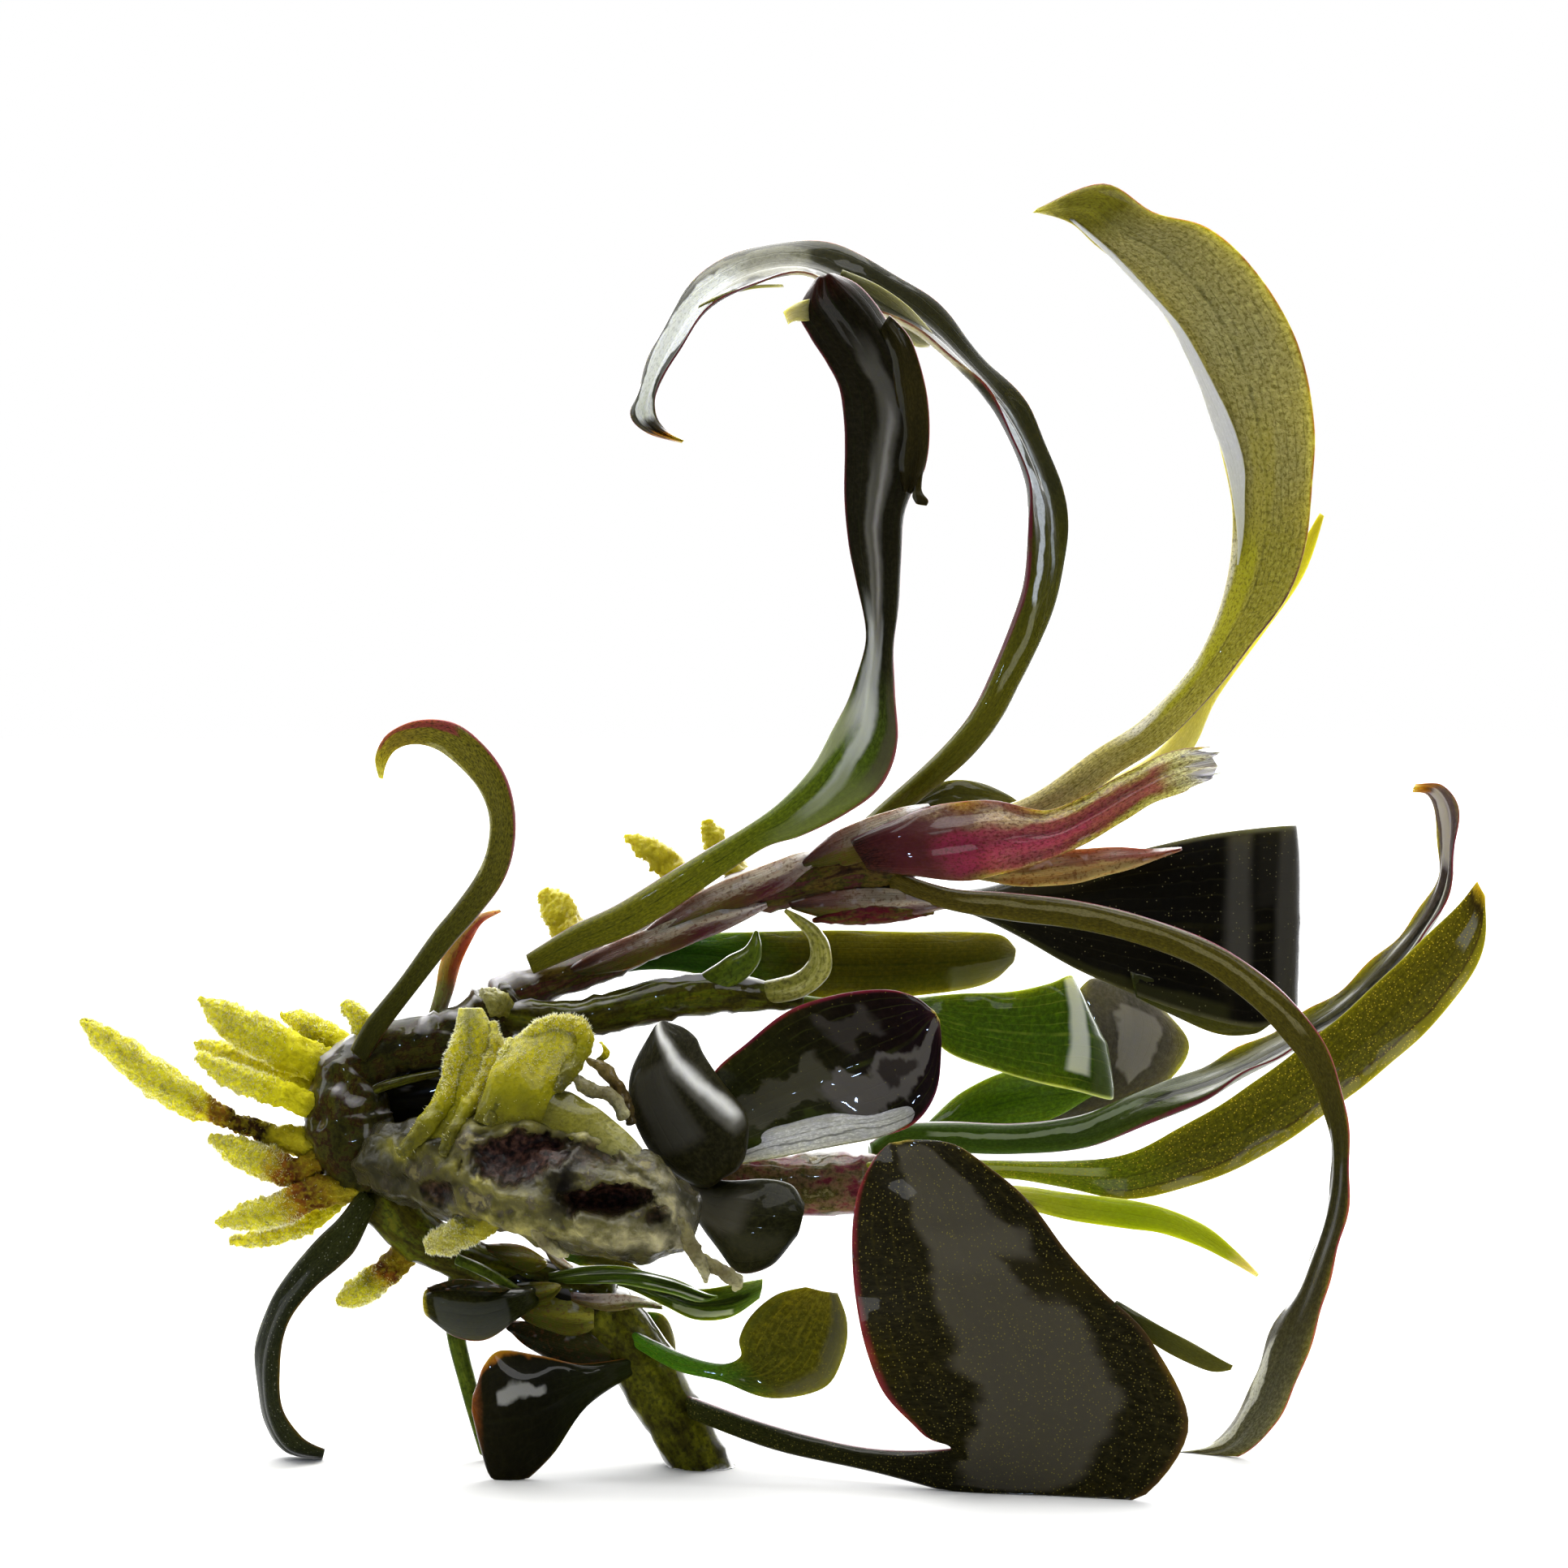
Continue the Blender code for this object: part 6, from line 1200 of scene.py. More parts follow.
# small scales low on the plant, under a full film of water: olive ones
SCALE_OLIVE = sheath_finish(
    "wet olive scale", {0: "2c2c0c", 0.3: "54520f", 0.7: "7c7820", 1: "a8a440"},
    {0: "2c300c", 0.4: "44480c", 0.8: "5c5a14", 1: "8c8a34"}, glow=0.5, film=1)
# older ones in the shade, nearly black
SCALE_DARK = sheath_finish(
    "wet dark scale", {0: "1c1c0c", 0.4: "30300f", 0.8: "3c3c14", 1: "6c6a2c"},
    {0: "14180a", 0.5: "24280c", 1: "4c4c1c"}, glow=0.3, film=1)
# dry ones, pale with brown bases
SCALE_PALE = sheath_finish(
    "pale wet scale", {0: "5c4c4c", 0.35: "a89c90", 0.75: "d0ccb0", 1: "8c8c3c"},
    {0: "3c3010", 0.5: "7c7440", 1: "54700c"}, glow=0.5, film=1)
print(len(bpy.data.materials), "materials so far")

# %% [markdown]
# ## Stems, cut end and roots
# The rhizome is a wet stem, brown with wine and olive patches, that keeps the scars of old leaves.
# Its cut end is pale pith that has gone ragged, with dark wine-coloured hollows. Roots are bright
# yellow-green and look soft, because their hairs scatter the light.


# %% Stem skin
def stem_finish(name, patches, glow=0.3, streaks=1.0, shine=0.0):
    """The wet skin of a stem: a run of colours that patches of noise pick from, with a painted highlight
    where it faces up.
    """
    material, node, place = tissue(name)
    across, length, _ = node("SeparateXYZ", place).node.outputs
    turn = node("Math MULTIPLY", across, math.pi)
    around = node("CombineXYZ", node("Math MULTIPLY", node("Math SINE", turn), 1.5),
                  node("Math MULTIPLY", length, 0.45 * streaks),
                  node("Math MULTIPLY", node("Math COSINE", turn), 1.5))
    patch = node("TexNoise", Vector=around, Scale=1.1, Detail=8.0, Roughness=0.68)
    body = node("ValToRGB", node("MapRange", patch, 0.30, 0.70), stops=patches)
    # pores a tenth of a millimetre wide
    in_room = node("TexCoord", give="Object")
    pores = node("TexNoise", Vector=in_room, Scale=4000.0, Detail=4.0)
    # dark pores, then a painted highlight where the stem faces up, as strong as shine says
    body = paint(node, body, (node("MapRange", pores, 0.50, 0.62), 0.45, "140e0a"),
                 sheen(node, around, shine))
    wrinkles = node("TexNoise", Vector=in_room, Scale=1500.0, Detail=5.0)
    ripples = node("TexNoise", Vector=in_room, Scale=420.0, Detail=2.0)
    return wet(material, node, body, {"Normal": (wrinkles, 0.25, 0.2), "Coat Normal": (ripples, 0.35, 0.6)},
               glow, 0.3, 1.0)


# the rhizome: bark-like skin, olive to wine, with a painted highlight where its wet skin faces up
WINE_STEM = stem_finish(
    "wet wine-brown rhizome",
    {0: "100c06", 0.3: "24220a", 0.48: "34340c", 0.58: "2c120c", 0.68: "403c10", 0.85: "34340c",
     1: "5c5820"},
    shine=0.6)
print(WINE_STEM.name, "takes", len(WINE_STEM.node_tree.nodes), "nodes")

# %% Stem finishes
# long streaks of old pale skin on the upper branch, and a strong painted highlight where it faces up
SILVER_STEM = stem_finish(
    "rhizome with old sheath skin",
    {0: "180a08", 0.25: "34200f", 0.42: "544418", 0.52: "38380c", 0.64: "4c1c24", 0.85: "54501f",
     1: "8c8458"},
    streaks=0.4, shine=0.8)
# younger skin, more olive, with a few brown scars and a painted highlight where it faces up
OLIVE_STEM = stem_finish(
    "wet olive stem",
    {0: "1c1806", 0.3: "343008", 0.5: "46420a", 0.62: "4c540c", 0.8: "64620c", 1: "381c0c"}, streaks=0.6,
    shine=0.6)
# young and smooth, so more light comes through, with broad bands of painted highlight
LOW_STEM = stem_finish(
    "smooth green stem", {0: "1c1a08", 0.3: "3a370a", 0.6: "54540c", 0.85: "707014", 1: "7c7828"},
    glow=0.4, shine=0.75)
# sap shows pink through the stem behind
PINK_STEM = stem_finish(
    "pinkish rear stem", {0: "341416", 0.3: "7a2c38", 0.5: "84684a", 0.75: "4c4810", 1: "b0a070"},
    glow=0.4)
# stalks are green all through and glow
GREEN_STALK = stem_finish("green leaf stalk", {0: "30400c", 0.5: "4c5c14", 1: "6c7c20"}, glow=0.6)
# a leaf still rolled up is pale, and light comes through it
PALE_HOOK = stem_finish(
    "pale olive young leaf", {0: "6c6c28", 0.4: "86843c", 0.7: "a8a45c", 1: "c8c494"}, glow=0.8,
    streaks=0.5)
# the bud is red with sap at one end and olive at the other
BUD = stem_finish("wine-red bud", {0: "3c0c14", 0.4: "54141f", 0.7: "4c4414", 1: "7c7430"}, glow=0.5)
# a near-black sheet of painted shade between the stems, with a painted highlight where it faces up
PAINTED_SHADE_SHEET = stem_finish("near-black filler sheet, painted shade", {0: "080806", 0.5: "141208", 1: "24240e"}, glow=0.1, shine=0.5)
print(len(bpy.data.materials), "materials so far")


# %% Soft tissue
def soft_tissue(name, along, glow=0.7, rough=0.6, film=0.0, fleck="a09414", fleck_share=0.5, relief=0.8):
    """Soft plant tissue, such as roots, with its colours along it and flecks in them."""
    material, node, place = tissue(name)
    share = node("SeparateXYZ", place).node.outputs["Z"]
    in_room = node("TexCoord", give="Object")
    drift = node("Math SUBTRACT", node("TexNoise", Vector=in_room, Scale=900.0, Detail=5.0), 0.5)
    body = node("ValToRGB", node("Math MULTIPLY_ADD", drift, 0.30, share), stops=along)
    # flecks of a tenth of a millimetre, as the crust of a root has
    fine = node("TexNoise", Vector=in_room, Scale=3500.0, Detail=4.0)
    body = paint(node, body, (node("MapRange", fine, 0.46, 0.66), fleck_share, fleck))
    return wet(material, node, body, {"Normal": (fine, relief, 0.3)}, glow, rough, film)


# dull and bright, because its hairs keep the water off; old parts turn brown
ROOT = soft_tissue(
    "fuzzy yellow root", {0: "f0e838", 0.4: "e4dc20", 0.7: "c4bc0f", 0.88: "8c860c", 1: "3c3a0c"})
# the same, with a dark neck where it is bare
NECKED_ROOT = soft_tissue(
    "fuzzy root with a brown neck",
    {0: "f4ec3c", 0.46: "e8e020", 0.54: "8c6010", 0.62: "341c08", 0.7: "241406", 0.78: "a89c14",
     0.9: "b8ac1c", 1: "4c480c"})
# and with a band that has begun to turn
RINGED_ROOT = soft_tissue(
    "fuzzy root with a brown band",
    {0: "ece438", 0.35: "dcd420", 0.52: "8c540c", 0.62: "4c2408", 0.72: "84680c", 0.9: "948818",
     1: "4c480c"})
# a hair is so thin that it is nearly all light
ROOT_HAIR = soft_tissue(
    "root hair", {0: "fcf490", 1: "f4ec80"}, glow=0.95, fleck="e8dc50", fleck_share=0.4, relief=0.2)
# wetter and duller yellow where the hairs are gone
WET_ROOT = soft_tissue("wet pale root", {0: "c8c058", 0.4: "a8a030", 1: "6c6820"}, rough=0.4, film=0.5)
# flattened roots: bright tips that go olive towards the cut end
PLATE = soft_tissue(
    "wet yellow root plate",
    {0: "f0e878", 0.15: "d8cc28", 0.45: "bcb00c", 0.65: "8c880c", 0.82: "646018", 1: "4c4a24"},
    rough=0.45, film=0.5, fleck="74700a")
# the stub is wet, smooth and even
YELLOW_STUB = soft_tissue(
    "wet yellow root stub", {0: "d8cc3c", 0.5: "b8a81c", 1: "7c7414"}, rough=0.4, film=0.7,
    fleck="b8a418", fleck_share=0.4, relief=0.4)
# torn tissue of the cut end is grey where it is old
PALE_RAG = soft_tissue(
    "pale ragged tissue", {0: "8c865c", 0.5: "6c6444", 1: "b0ac84"}, glow=0.4, rough=0.4, film=0.7,
    fleck="4c4628")
# a pale ragged edge over olive
TORN_RIDGE = soft_tissue(
    "torn ridge of the cut end", {0: "b4b094", 0.3: "a09c5c", 0.65: "7c7826", 1: "4c4a1c"}, glow=0.4,
    rough=0.4, film=0.7, fleck="54521c")
# brown and wet where it is stringy
BROWN_STRING = soft_tissue(
    "brown string of tissue", {0: "8c7c48", 0.5: "54421c", 1: "3c3418"}, glow=0.3, rough=0.35, film=0.9,
    fleck="2c200c")
print(len(bpy.data.materials), "materials so far")


# %% Pith
def pith_finish(name):
    """Torn pith: ridges are pale (place X), partly cream tissue and partly a painted highlight, hollows dark
    wine (side), and the rest olive grey.
    """
    material, node, place = tissue(name)
    ridge, _, share = node("SeparateXYZ", place).node.outputs
    depth = node("Attribute", attribute_name="leaf_side", give="Fac")
    in_room = node("TexCoord", give="Object")
    cloud = node("TexNoise", Vector=in_room, Scale=480.0, Detail=6.0, Roughness=0.6)
    fine = node("TexNoise", Vector=in_room, Scale=2600.0, Detail=5.0)
    body = node("ValToRGB", node("MapRange", cloud, 0.34, 0.68), stops={
        0: "14100a", 0.3: "2a2616", 0.5: "403c22", 0.68: "545024", 0.85: "4c463a", 1: "8c8450"})
    # the two ends of the torn stem are darker than its middle
    ends = node("Math ADD", node("MapRange", share, 0.40, 0.18), node("MapRange", share, 0.82, 0.94))
    # the ridges are painted pale: partly the cream of torn tissue and partly a painted highlight
    rim = node("ValToRGB", share, stops={0: "7c780f", 0.35: "9a9228", 0.6: "b0a860", 1: "b8b08c"})
    sunk = node("MapRange", node("Math MULTIPLY_ADD", cloud, 0.8, depth), 0.42, 1.15)
    wine = node("ValToRGB", node("MapRange", fine, 0.4, 0.65), stops={
        0: "180c0a", 0.5: "38201a", 1: "54392e"})
    body = paint(node, body, (ends, 0.75, "2c2a1a"),
                 (ridge, node("MapRange", cloud, 0.38, 0.58, 0.90, 0.05), rim), (sunk, 1.0, wine))
    return wet(material, node, body, {"Normal": (fine, 0.3, 0.3), "Coat Normal": (cloud, 0.6, 0.8)},
               0.3, 0.45, 0.9)


# soft and open, so its film of water breaks up; its pale ridges are partly cream tissue and partly
# a painted highlight
PITH = pith_finish("ragged wet pith of the cut end")
print(len(bpy.data.materials), "materials")

# %% [markdown]
# ## Growing the leaves
# Now each leaf gets its finish and what makes its shape its own: where its stalk ends, the height
# of its rib, how much its edges ripple, how dented its face is, and the long pleats of the curled
# ones. Black leaves get larger dents, because the softboxes then break up in them as they do in
# real wet leaves. Some leaves also have lobes, curled rims or torn bits of their own. They are
# grown from short tables in the same way and joined to their leaf's mesh.

# %% Small parts that belong to a leaf
# rows as in the plan of the leaves, then the finish and the settings of its shape
LOBES = {
    "leaf_folded": [
        ([(56.2, 61.2, 56.9, 60.9, -5.4, 0), (56.3, 60, 56.8, 59.8, -5.5, 0),
          (56.2, 59.4, 57.2, 59.2, -5.5, 0), (56.4, 59, 57.1, 58.9, -5.4, 0)],
         DARK_LOBE, dict(thick=0.5)),
        ([(54.2, 69.6, 54.8, 70.6, -5.4, 0), (54.9, 67.9, 56.2, 69, -5.6, 0.3),
          (55.2, 65.6, 57, 66.3, -5.7, 0.5), (55.4, 63.2, 57.3, 63.4, -5.6, 0.5),
          (55.3, 61, 57, 61.2, -5.4, 0.3), (55.6, 59.7, 56.3, 59.6, -5.2, 0)],
         DARK_LOBE, dict(dent=0.25, pleat=(2, 0.12), thick=0.5)),
        ([(50.7, 71.9, 50.3, 70.5, -4.6, 0), (49.8, 71.6, 49.5, 70.2, -5.3, 0),
          (48.8, 71.2, 48.9, 70.2, -5.6, 0), (48.3, 70.8, 48.6, 70, -5.5, 0)],
         CREAM, dict(dent=0.15, ripple=0.2, wave=1.5))],
    "leaf_arch": [
        ([(51.6, 72.6, 51.9, 73.4, 5.3, 0), (53.4, 71.4, 54, 72.5, 5.3, 0),
          (55, 69.8, 55.9, 71.2, 5.3, 0), (56.3, 68.7, 57.3, 69.7, 5.3, 0),
          (57.2, 68.6, 57.6, 69.1, 5.3, 0)],
         PALE_BAND, dict(dent=0.08, ripple=0.1)),
        ([(43, 71, 43.1, 71.2, 2.6, 0), (44.6, 71.7, 44.5, 71.9, 2.8, 0), (46.4, 72.2, 46.3, 72.4, 3, 0),
          (48.3, 72.3, 48.2, 72.5, 3.2, 0)],
         PALE_BAND, dict(dent=0.02, ripple=0.1, thick=0.2))],
    "leaf_tall": [
        ([(65.9, 76.5, 66.2, 76.45, 0.9, 0), (68.5, 74, 68.9, 74.1, 1.8, 0.3),
          (71, 71.4, 71.4, 71.4, 2.4, 0.5), (72.35, 69.5, 72.9, 69.7, 2.7, 0.6),
          (73.65, 66.7, 74.4, 67, 2.9, 0.6), (74.65, 63.9, 75.8, 64.2, 3.1, 0.7),
          (75.45, 61.5, 76.65, 61.4, 3, 0.6), (75.95, 59.2, 76.7, 59.4, 2.8, 0.3),
          (76.2, 57, 76.6, 57.1, 2.6, 0.2), (76.2, 55.2, 76.3, 55.2, 2.4, 0)],
         REFLECTED_WHITE_INSIDE, dict(dent=0.03, ripple=0.03, thick=0.2))],
    "leaf_low_green": [
        ([(33.8, 11.6, 33.9, 10.9, -1.9, 0), (36, 12, 36.4, 10.9, -2.2, 0.3),
          (38.6, 11.9, 39, 10.8, -2, 0.5), (41, 11.4, 41.2, 10.3, -0.8, 0.4),
          (43.2, 10.5, 43.2, 9.8, 0.8, 0.2), (44.2, 10.2, 44.2, 10, 1.4, 0)],
         LOW_GREEN, dict(dent=0.15, pleat=(2, 0.1), thick=0.5))],
    "leaf_bowl": [
        ([(26.3, 10.7, 26.5, 10.4, -5, 0), (28.2, 11.2, 28.4, 10.5, -5.3, 0.2),
          (30.2, 11, 30.4, 10.4, -4.9, 0.2), (31.3, 10.7, 31.4, 10.4, -4, 0)],
         SCALE_DARK, dict(dent=0.2, pleat=(1, 0.12)))],
    "leaf_black": [
        ([(69.6, 30.2, 70, 28.6, 3.5, -0.4), (72.2, 29.4, 72.6, 27.2, 3.8, -0.8),
          (75, 28.4, 75.4, 26.2, 4, -1), (77.2, 27.8, 77.2, 26.2, 4.2, -1),
          (78.4, 27.6, 78.1, 26.8, 4.4, -0.4)],
         OLIVE_BACK, dict(dent=0.12))],
    "leaf_round": [
        ([(44.4, 18.9, 44.7, 18.1, -2.6, 0.3), (46.2, 20.2, 46.6, 18.5, -3.2, 0.8),
          (48.6, 21, 49, 18.9, -3.6, 1.2), (51.2, 21.6, 51.8, 19.5, -3.8, 1.2),
          (53.6, 21.6, 54.4, 20, -3.8, 1), (55.8, 22, 56.3, 21, -3.6, 0.5),
          (57, 22.6, 57.2, 22.2, -3.2, 0)],
         REFLECTED_SILVER_LIP, dict(ripple=0.08))],
    "leaf_broad_front": [
        ([(68.4, 9.4, 68.8, 9.9, -13.4, 0), (70.2, 7.8, 71.2, 8.5, -13.6, 0),
          (72.4, 6.4, 73.4, 7.3, -13.5, 0), (74.5, 5.5, 75, 6.4, -13.2, 0),
          (75.8, 5.6, 75.95, 5.9, -12.9, 0)],
         OLIVE_BACK, dict())],
}
print(sum(len(lobes) for lobes in LOBES.values()), "lobes, rims and torn bits")

# %% Leaves
LOBE_STALK = (0.0, 0.05)
LEAF_WAYS = {
    "leaf_tall": (
        BACKLIT_OLIVE, dict(stalk=(0.2, 0.55), bow=0.12, rib=-0.1, ripple=0.2, wave=9, dent=0.14)),
    "leaf_tall_young": (PALE_YOUNG, dict(stalk=(0.35, 0.7), rib=0.05, ripple=0.05)),
    "leaf_arch": (
        BLACK_GREEN, dict(stalk=(0.2, 0.45), bow=-0.15, rib=0.12, ripple=0.15, wave=7, pleat=(2, 0.14))),
    "leaf_folded": (
        FOLDED,
        dict(stalk=(0.35, 0.5), bow=0.1, rib=0, thick=0.9, ripple=0.15, dent=0.14, pleat=(2, 0.22))),
    "leaf_hook": (HOOKED_OLIVE, dict(stalk=(0.4, 0.85), rib=0.06, ripple=0.06, dent=0.08)),
    "leaf_long_arch": (
        LONG_STALK, dict(stalk=(0.2, 0.5), bow=0.1, ripple=0.1, dent=0.08, pleat=(2, 0.06))),
    "leaf_black": (BLACK_SPECKED, dict(bow=0, rib=0.04, ripple=0.2, wave=8, dent=0.08)),
    "leaf_speckled": (GOLD_SPECKED, dict(stalk=(0.2, 0.35), bow=-0.16, rib=0.12, dent=0.08)),
    "leaf_silver": (SILVER_REFLECTION_GREEN, dict(stalk=(0.25, 0.45), bow=-0.15, rib=0.12, ripple=0.15, pleat=(2, 0.1))),
    "leaf_green": (FRESH_GREEN, dict(bow=-0.08, rib=0.08, dent=0.16)),
    "leaf_green_back": (BACK_GREEN, dict()),
    "leaf_grey_back": (GREY_SHADOW, dict(dent=0.2)),
    "leaf_round": (PURPLE_BLACK, dict(bow=-0.08, rib=0.06, ripple=0.2, dent=0.28)),
    "leaf_glossy_small": (GREY_SHEEN_FLESHY, dict(bow=0.2, dent=0.35, thick=1.3, pleat=(1, 0.25))),
    "leaf_lobe": (LOBE_WET, dict(bow=0.2, dent=0.25, thick=1.2)),
    "leaf_broad_front": (
        BLACK_OLIVE, dict(stalk=(0.15, 0.3), bow=-0.1, rib=0.05, ripple=0.25, wave=11, dent=0.22)),
    "leaf_yellow_narrow": (YELLOW_GREEN, dict(stalk=(0.15, 0.45), rib=0.12, ripple=0.1, dent=0.06)),
    "leaf_behind_stem": (TWO_TONE, dict(dent=0.14)),
    "leaf_ribbon": (RIBBON, dict(stalk=(0.1, 0.45), ripple=0.06, dent=0.08, pleat=(1, 0.08))),
    "leaf_bowl": (BOWL_WET, dict(bow=0.2, dent=0.14)),
    "leaf_low_dark": (ORANGE_RIM, dict(dent=0.18)),
    "leaf_low_green": (LOW_GREEN, dict(dent=0.12, pleat=(1, 0.12))),
    "leaf_spoon": (OLIVE_SPOON, dict(stalk=(0.25, 0.4), bow=-0.2, rib=0.08)),
    "leaf_low_olive": (TWO_TONE, dict()),
    "leaf_low_small": (OLIVE_SPOON, dict()),
    "leaf_dark_back": (OLIVE_BACK, dict()),
    "sheath_pink": (
        PINK_SHEATH,
        dict(bow=0.14, rib=0, ripple=0.3, wave=3.5, dent=0.35, thick=0.3, pleat=(3, 0.16), ragged=2)),
    "sheath_tan": (
        STRAW_SHEATH,
        dict(bow=0.15, rib=0, ripple=0.2, wave=3.5, dent=0.16, thick=0.25, pleat=(2, 0.12))),
    "sheath_left": (BROWN_SHEATH, dict(bow=0.15, rib=0, ripple=0.15, wave=3, dent=0.08, thick=0.25)),
}
for number, (node, (finish, settings)) in enumerate(LEAF_WAYS.items()):
    parts = [(leaf_shape(LEAVES[node], seed=float(number), **settings), finish)]
    for rows, lobe_finish, lobe_settings in LOBES.get(node, ()):
        lobe = leaf_shape(rows, LOBE_STALK, seed=number + 0.5, **lobe_settings)
        parts.append((lobe, lobe_finish))
    grow(node, parts)
print(len(LEAF_WAYS), "leaves and sheaths grown")

# %% [markdown]
# ## Growing stems and shoots
# A rhizome is not a smooth hose: every few millimetres an old leaf left a ring and a swelling.
# The relief adds those rings, and soft random bumps between them. Old sheaths still hug the stem
# as brown skins, and where stems meet, a near-black sheet in the corner is painted shade.


# %% Rings and bumps of a stem
def stem_relief(node_gap, ring_height, bump_height, bump_size, seed):
    """Heights of leaf rings every node_gap millimetres, and of random bumps."""
    def heights(points, along, angles):
        phase = (along / node_gap + 0.08 * np.sin(angles + seed)) % 1.0
        ring = np.exp(-(((phase - 0.5) / 0.07) ** 2)) - 0.5 * np.exp(-(((phase - 0.62) / 0.06) ** 2))
        return ring_height * ring + bump_height * bumps(points, bump_size, seed)
    return heights


main_length = lengths_along(np.array(STEMS["rhizome_main"])[:, :3])[-1]
print("the main rhizome is", round(main_length, 1), "mm long")

# %% Skins and corners that belong to a stem
# rows of four numbers, as in the plan of the stems, are ridges; rows of six are skins, scales and
# near-black sheets of painted shade
SKINS = {
    "rhizome_upper": [
        ([(38.9, 32, 39.2, 31.6, -0.3, 0), (41.2, 33.9, 42, 32.4, -0.6, 0),
          (43.8, 35.4, 44.8, 33.7, -0.8, 0), (46.6, 36.5, 47.6, 34.8, -1, 0),
          (49, 37.4, 49.8, 36.2, -1.1, 0), (50.6, 37.6, 50.8, 37.2, -1.2, 0)],
         SKIN_SHEATH),
        ([(35, 30.4, 35.3, 29.9, -0.2, 0), (37.2, 31.7, 38, 30.1, -0.5, 0),
          (40, 32.8, 40.8, 31.1, -0.7, 0), (42.8, 33.8, 43.6, 32.2, -0.9, 0),
          (45.4, 34.2, 45.8, 33.2, -0.9, 0), (47.2, 34.4, 47.3, 34.1, -0.8, 0)],
         SKIN_SHEATH),
        ([(48.6, 34.4, 48.8, 34, -0.9, 0), (50.8, 35, 51, 33.3, -1.3, 0), (53.2, 35.3, 53.4, 33, -1.6, 0),
          (55.6, 35.2, 55.8, 33.3, -1.6, 0), (57.6, 34.6, 57.8, 33.9, -1.4, 0),
          (58.6, 34.2, 58.7, 34, -1.2, 0)],
         SKIN_SHEATH),
        ([(49.4, 37, 49.6, 36.6, -1.2, 0), (51.2, 38.6, 51.8, 36.6, -1.8, 0),
          (53.2, 39.5, 54, 37.2, -2.2, 0), (55.4, 40.2, 56, 38.6, -2.3, 0),
          (57.2, 40.5, 57.5, 40, -2.2, 0)],
         SKIN_SHEATH)],
    "rhizome_main": [
        # a near-black sheet of painted shade in the corner between the stems
        ([(21.8, 23.2, 22.2, 21.4, 0.8, 0), (23.4, 24.4, 23.8, 19.9, 0.6, 0),
          (26.2, 25.2, 26.6, 19.2, 0.2, 0), (29.2, 25.2, 29.2, 19.8, 0, 0),
          (31.4, 24.2, 31.4, 21.4, 0, 0)],
         PAINTED_SHADE_SHEET),
        ([(22, 21.2, -1.6, 0.2), (22.9, 22.7, -1.7, 0.3), (24.7, 23.4, -1.8, 0.3),
          (27, 23.9, -1.6, 0.25)],
         OLIVE_STEM),
        ([(22, 21.2, -1.6, 0.2), (22.9, 20.1, -1.8, 0.35), (24.6, 19.9, -2, 0.4),
          (26.2, 20.8, -2.2, 0.25)],
         OLIVE_STEM)],
    "rhizome_lower": [
        # a near-black sheet of painted shade in the corner between the stems
        ([(29, 12.8, 29.2, 12, -1, 0), (31.6, 12.8, 31.6, 9.2, -1.4, 0), (34, 12.2, 34, 7.4, -1.6, 0),
          (36.4, 11.2, 36.2, 6.8, -1.8, 0), (37.6, 10.4, 37.4, 7.6, -1.8, 0)],
         PAINTED_SHADE_SHEET),
        ([(29.9, 13.4, 30.2, 12.8, -1.8, 0), (31.2, 13.4, 31.6, 11.9, -2, 0),
          (32.4, 13.2, 32.8, 11.6, -2, 0), (33.4, 12.6, 33.5, 11.8, -1.9, 0),
          (33.7, 12.3, 33.7, 12.1, -1.8, 0)],
         SCALE_OLIVE),
        ([(33.2, 13.4, 33.4, 13.1, -1.4, 0), (34.2, 12.9, 33.9, 12.3, -1.7, 0),
          (35, 12.2, 34.6, 11.8, -1.8, 0), (35.4, 11.9, 35.2, 11.6, -1.8, 0)],
         SCALE_PALE),
        ([(31.7, 10.9, 31.8, 10.3, -2.6, 0), (32.8, 11, 33, 9.7, -2.8, 0), (33.9, 11, 34, 9.9, -2.8, 0),
          (34.5, 10.9, 34.6, 10.6, -2.6, 0)],
         SCALE_OLIVE),
        ([(31.2, 10.2, 31.4, 9.4, -2.2, 0), (32.8, 10.3, 33, 8.3, -2.5, 0), (34.8, 10, 35, 7.6, -2.6, 0),
          (36.6, 9.4, 36.6, 8, -2.6, 0)],
         SCALE_OLIVE),
        ([(31, 8.7, 31.4, 8, -1.6, 0), (32.6, 8.6, 32.6, 6.9, -1.9, 0), (34.4, 8.4, 34.2, 6, -2.2, 0),
          (36.2, 8.2, 36, 5.4, -2.4, 0), (38, 7, 38, 5.6, -2.4, 0)],
         SCALE_DARK),
        ([(35.2, 10.4, 35.3, 9.8, -2.6, 0), (37, 10.3, 37.2, 9.2, -3, 0), (39, 10.2, 39.2, 9.4, -2.9, 0),
          (40.8, 9.6, 40.8, 9.3, -2.4, 0)],
         SCALE_PALE)],
}
SKIN_WAY = dict(stalk=(0.0, 0.10), bow=0.22, thick=0.35, dent=0.2, ripple=0.15, wave=3.0, pleat=(2, 0.10))
print(sum(len(skins) for skins in SKINS.values()), "skins, scales and ridges")

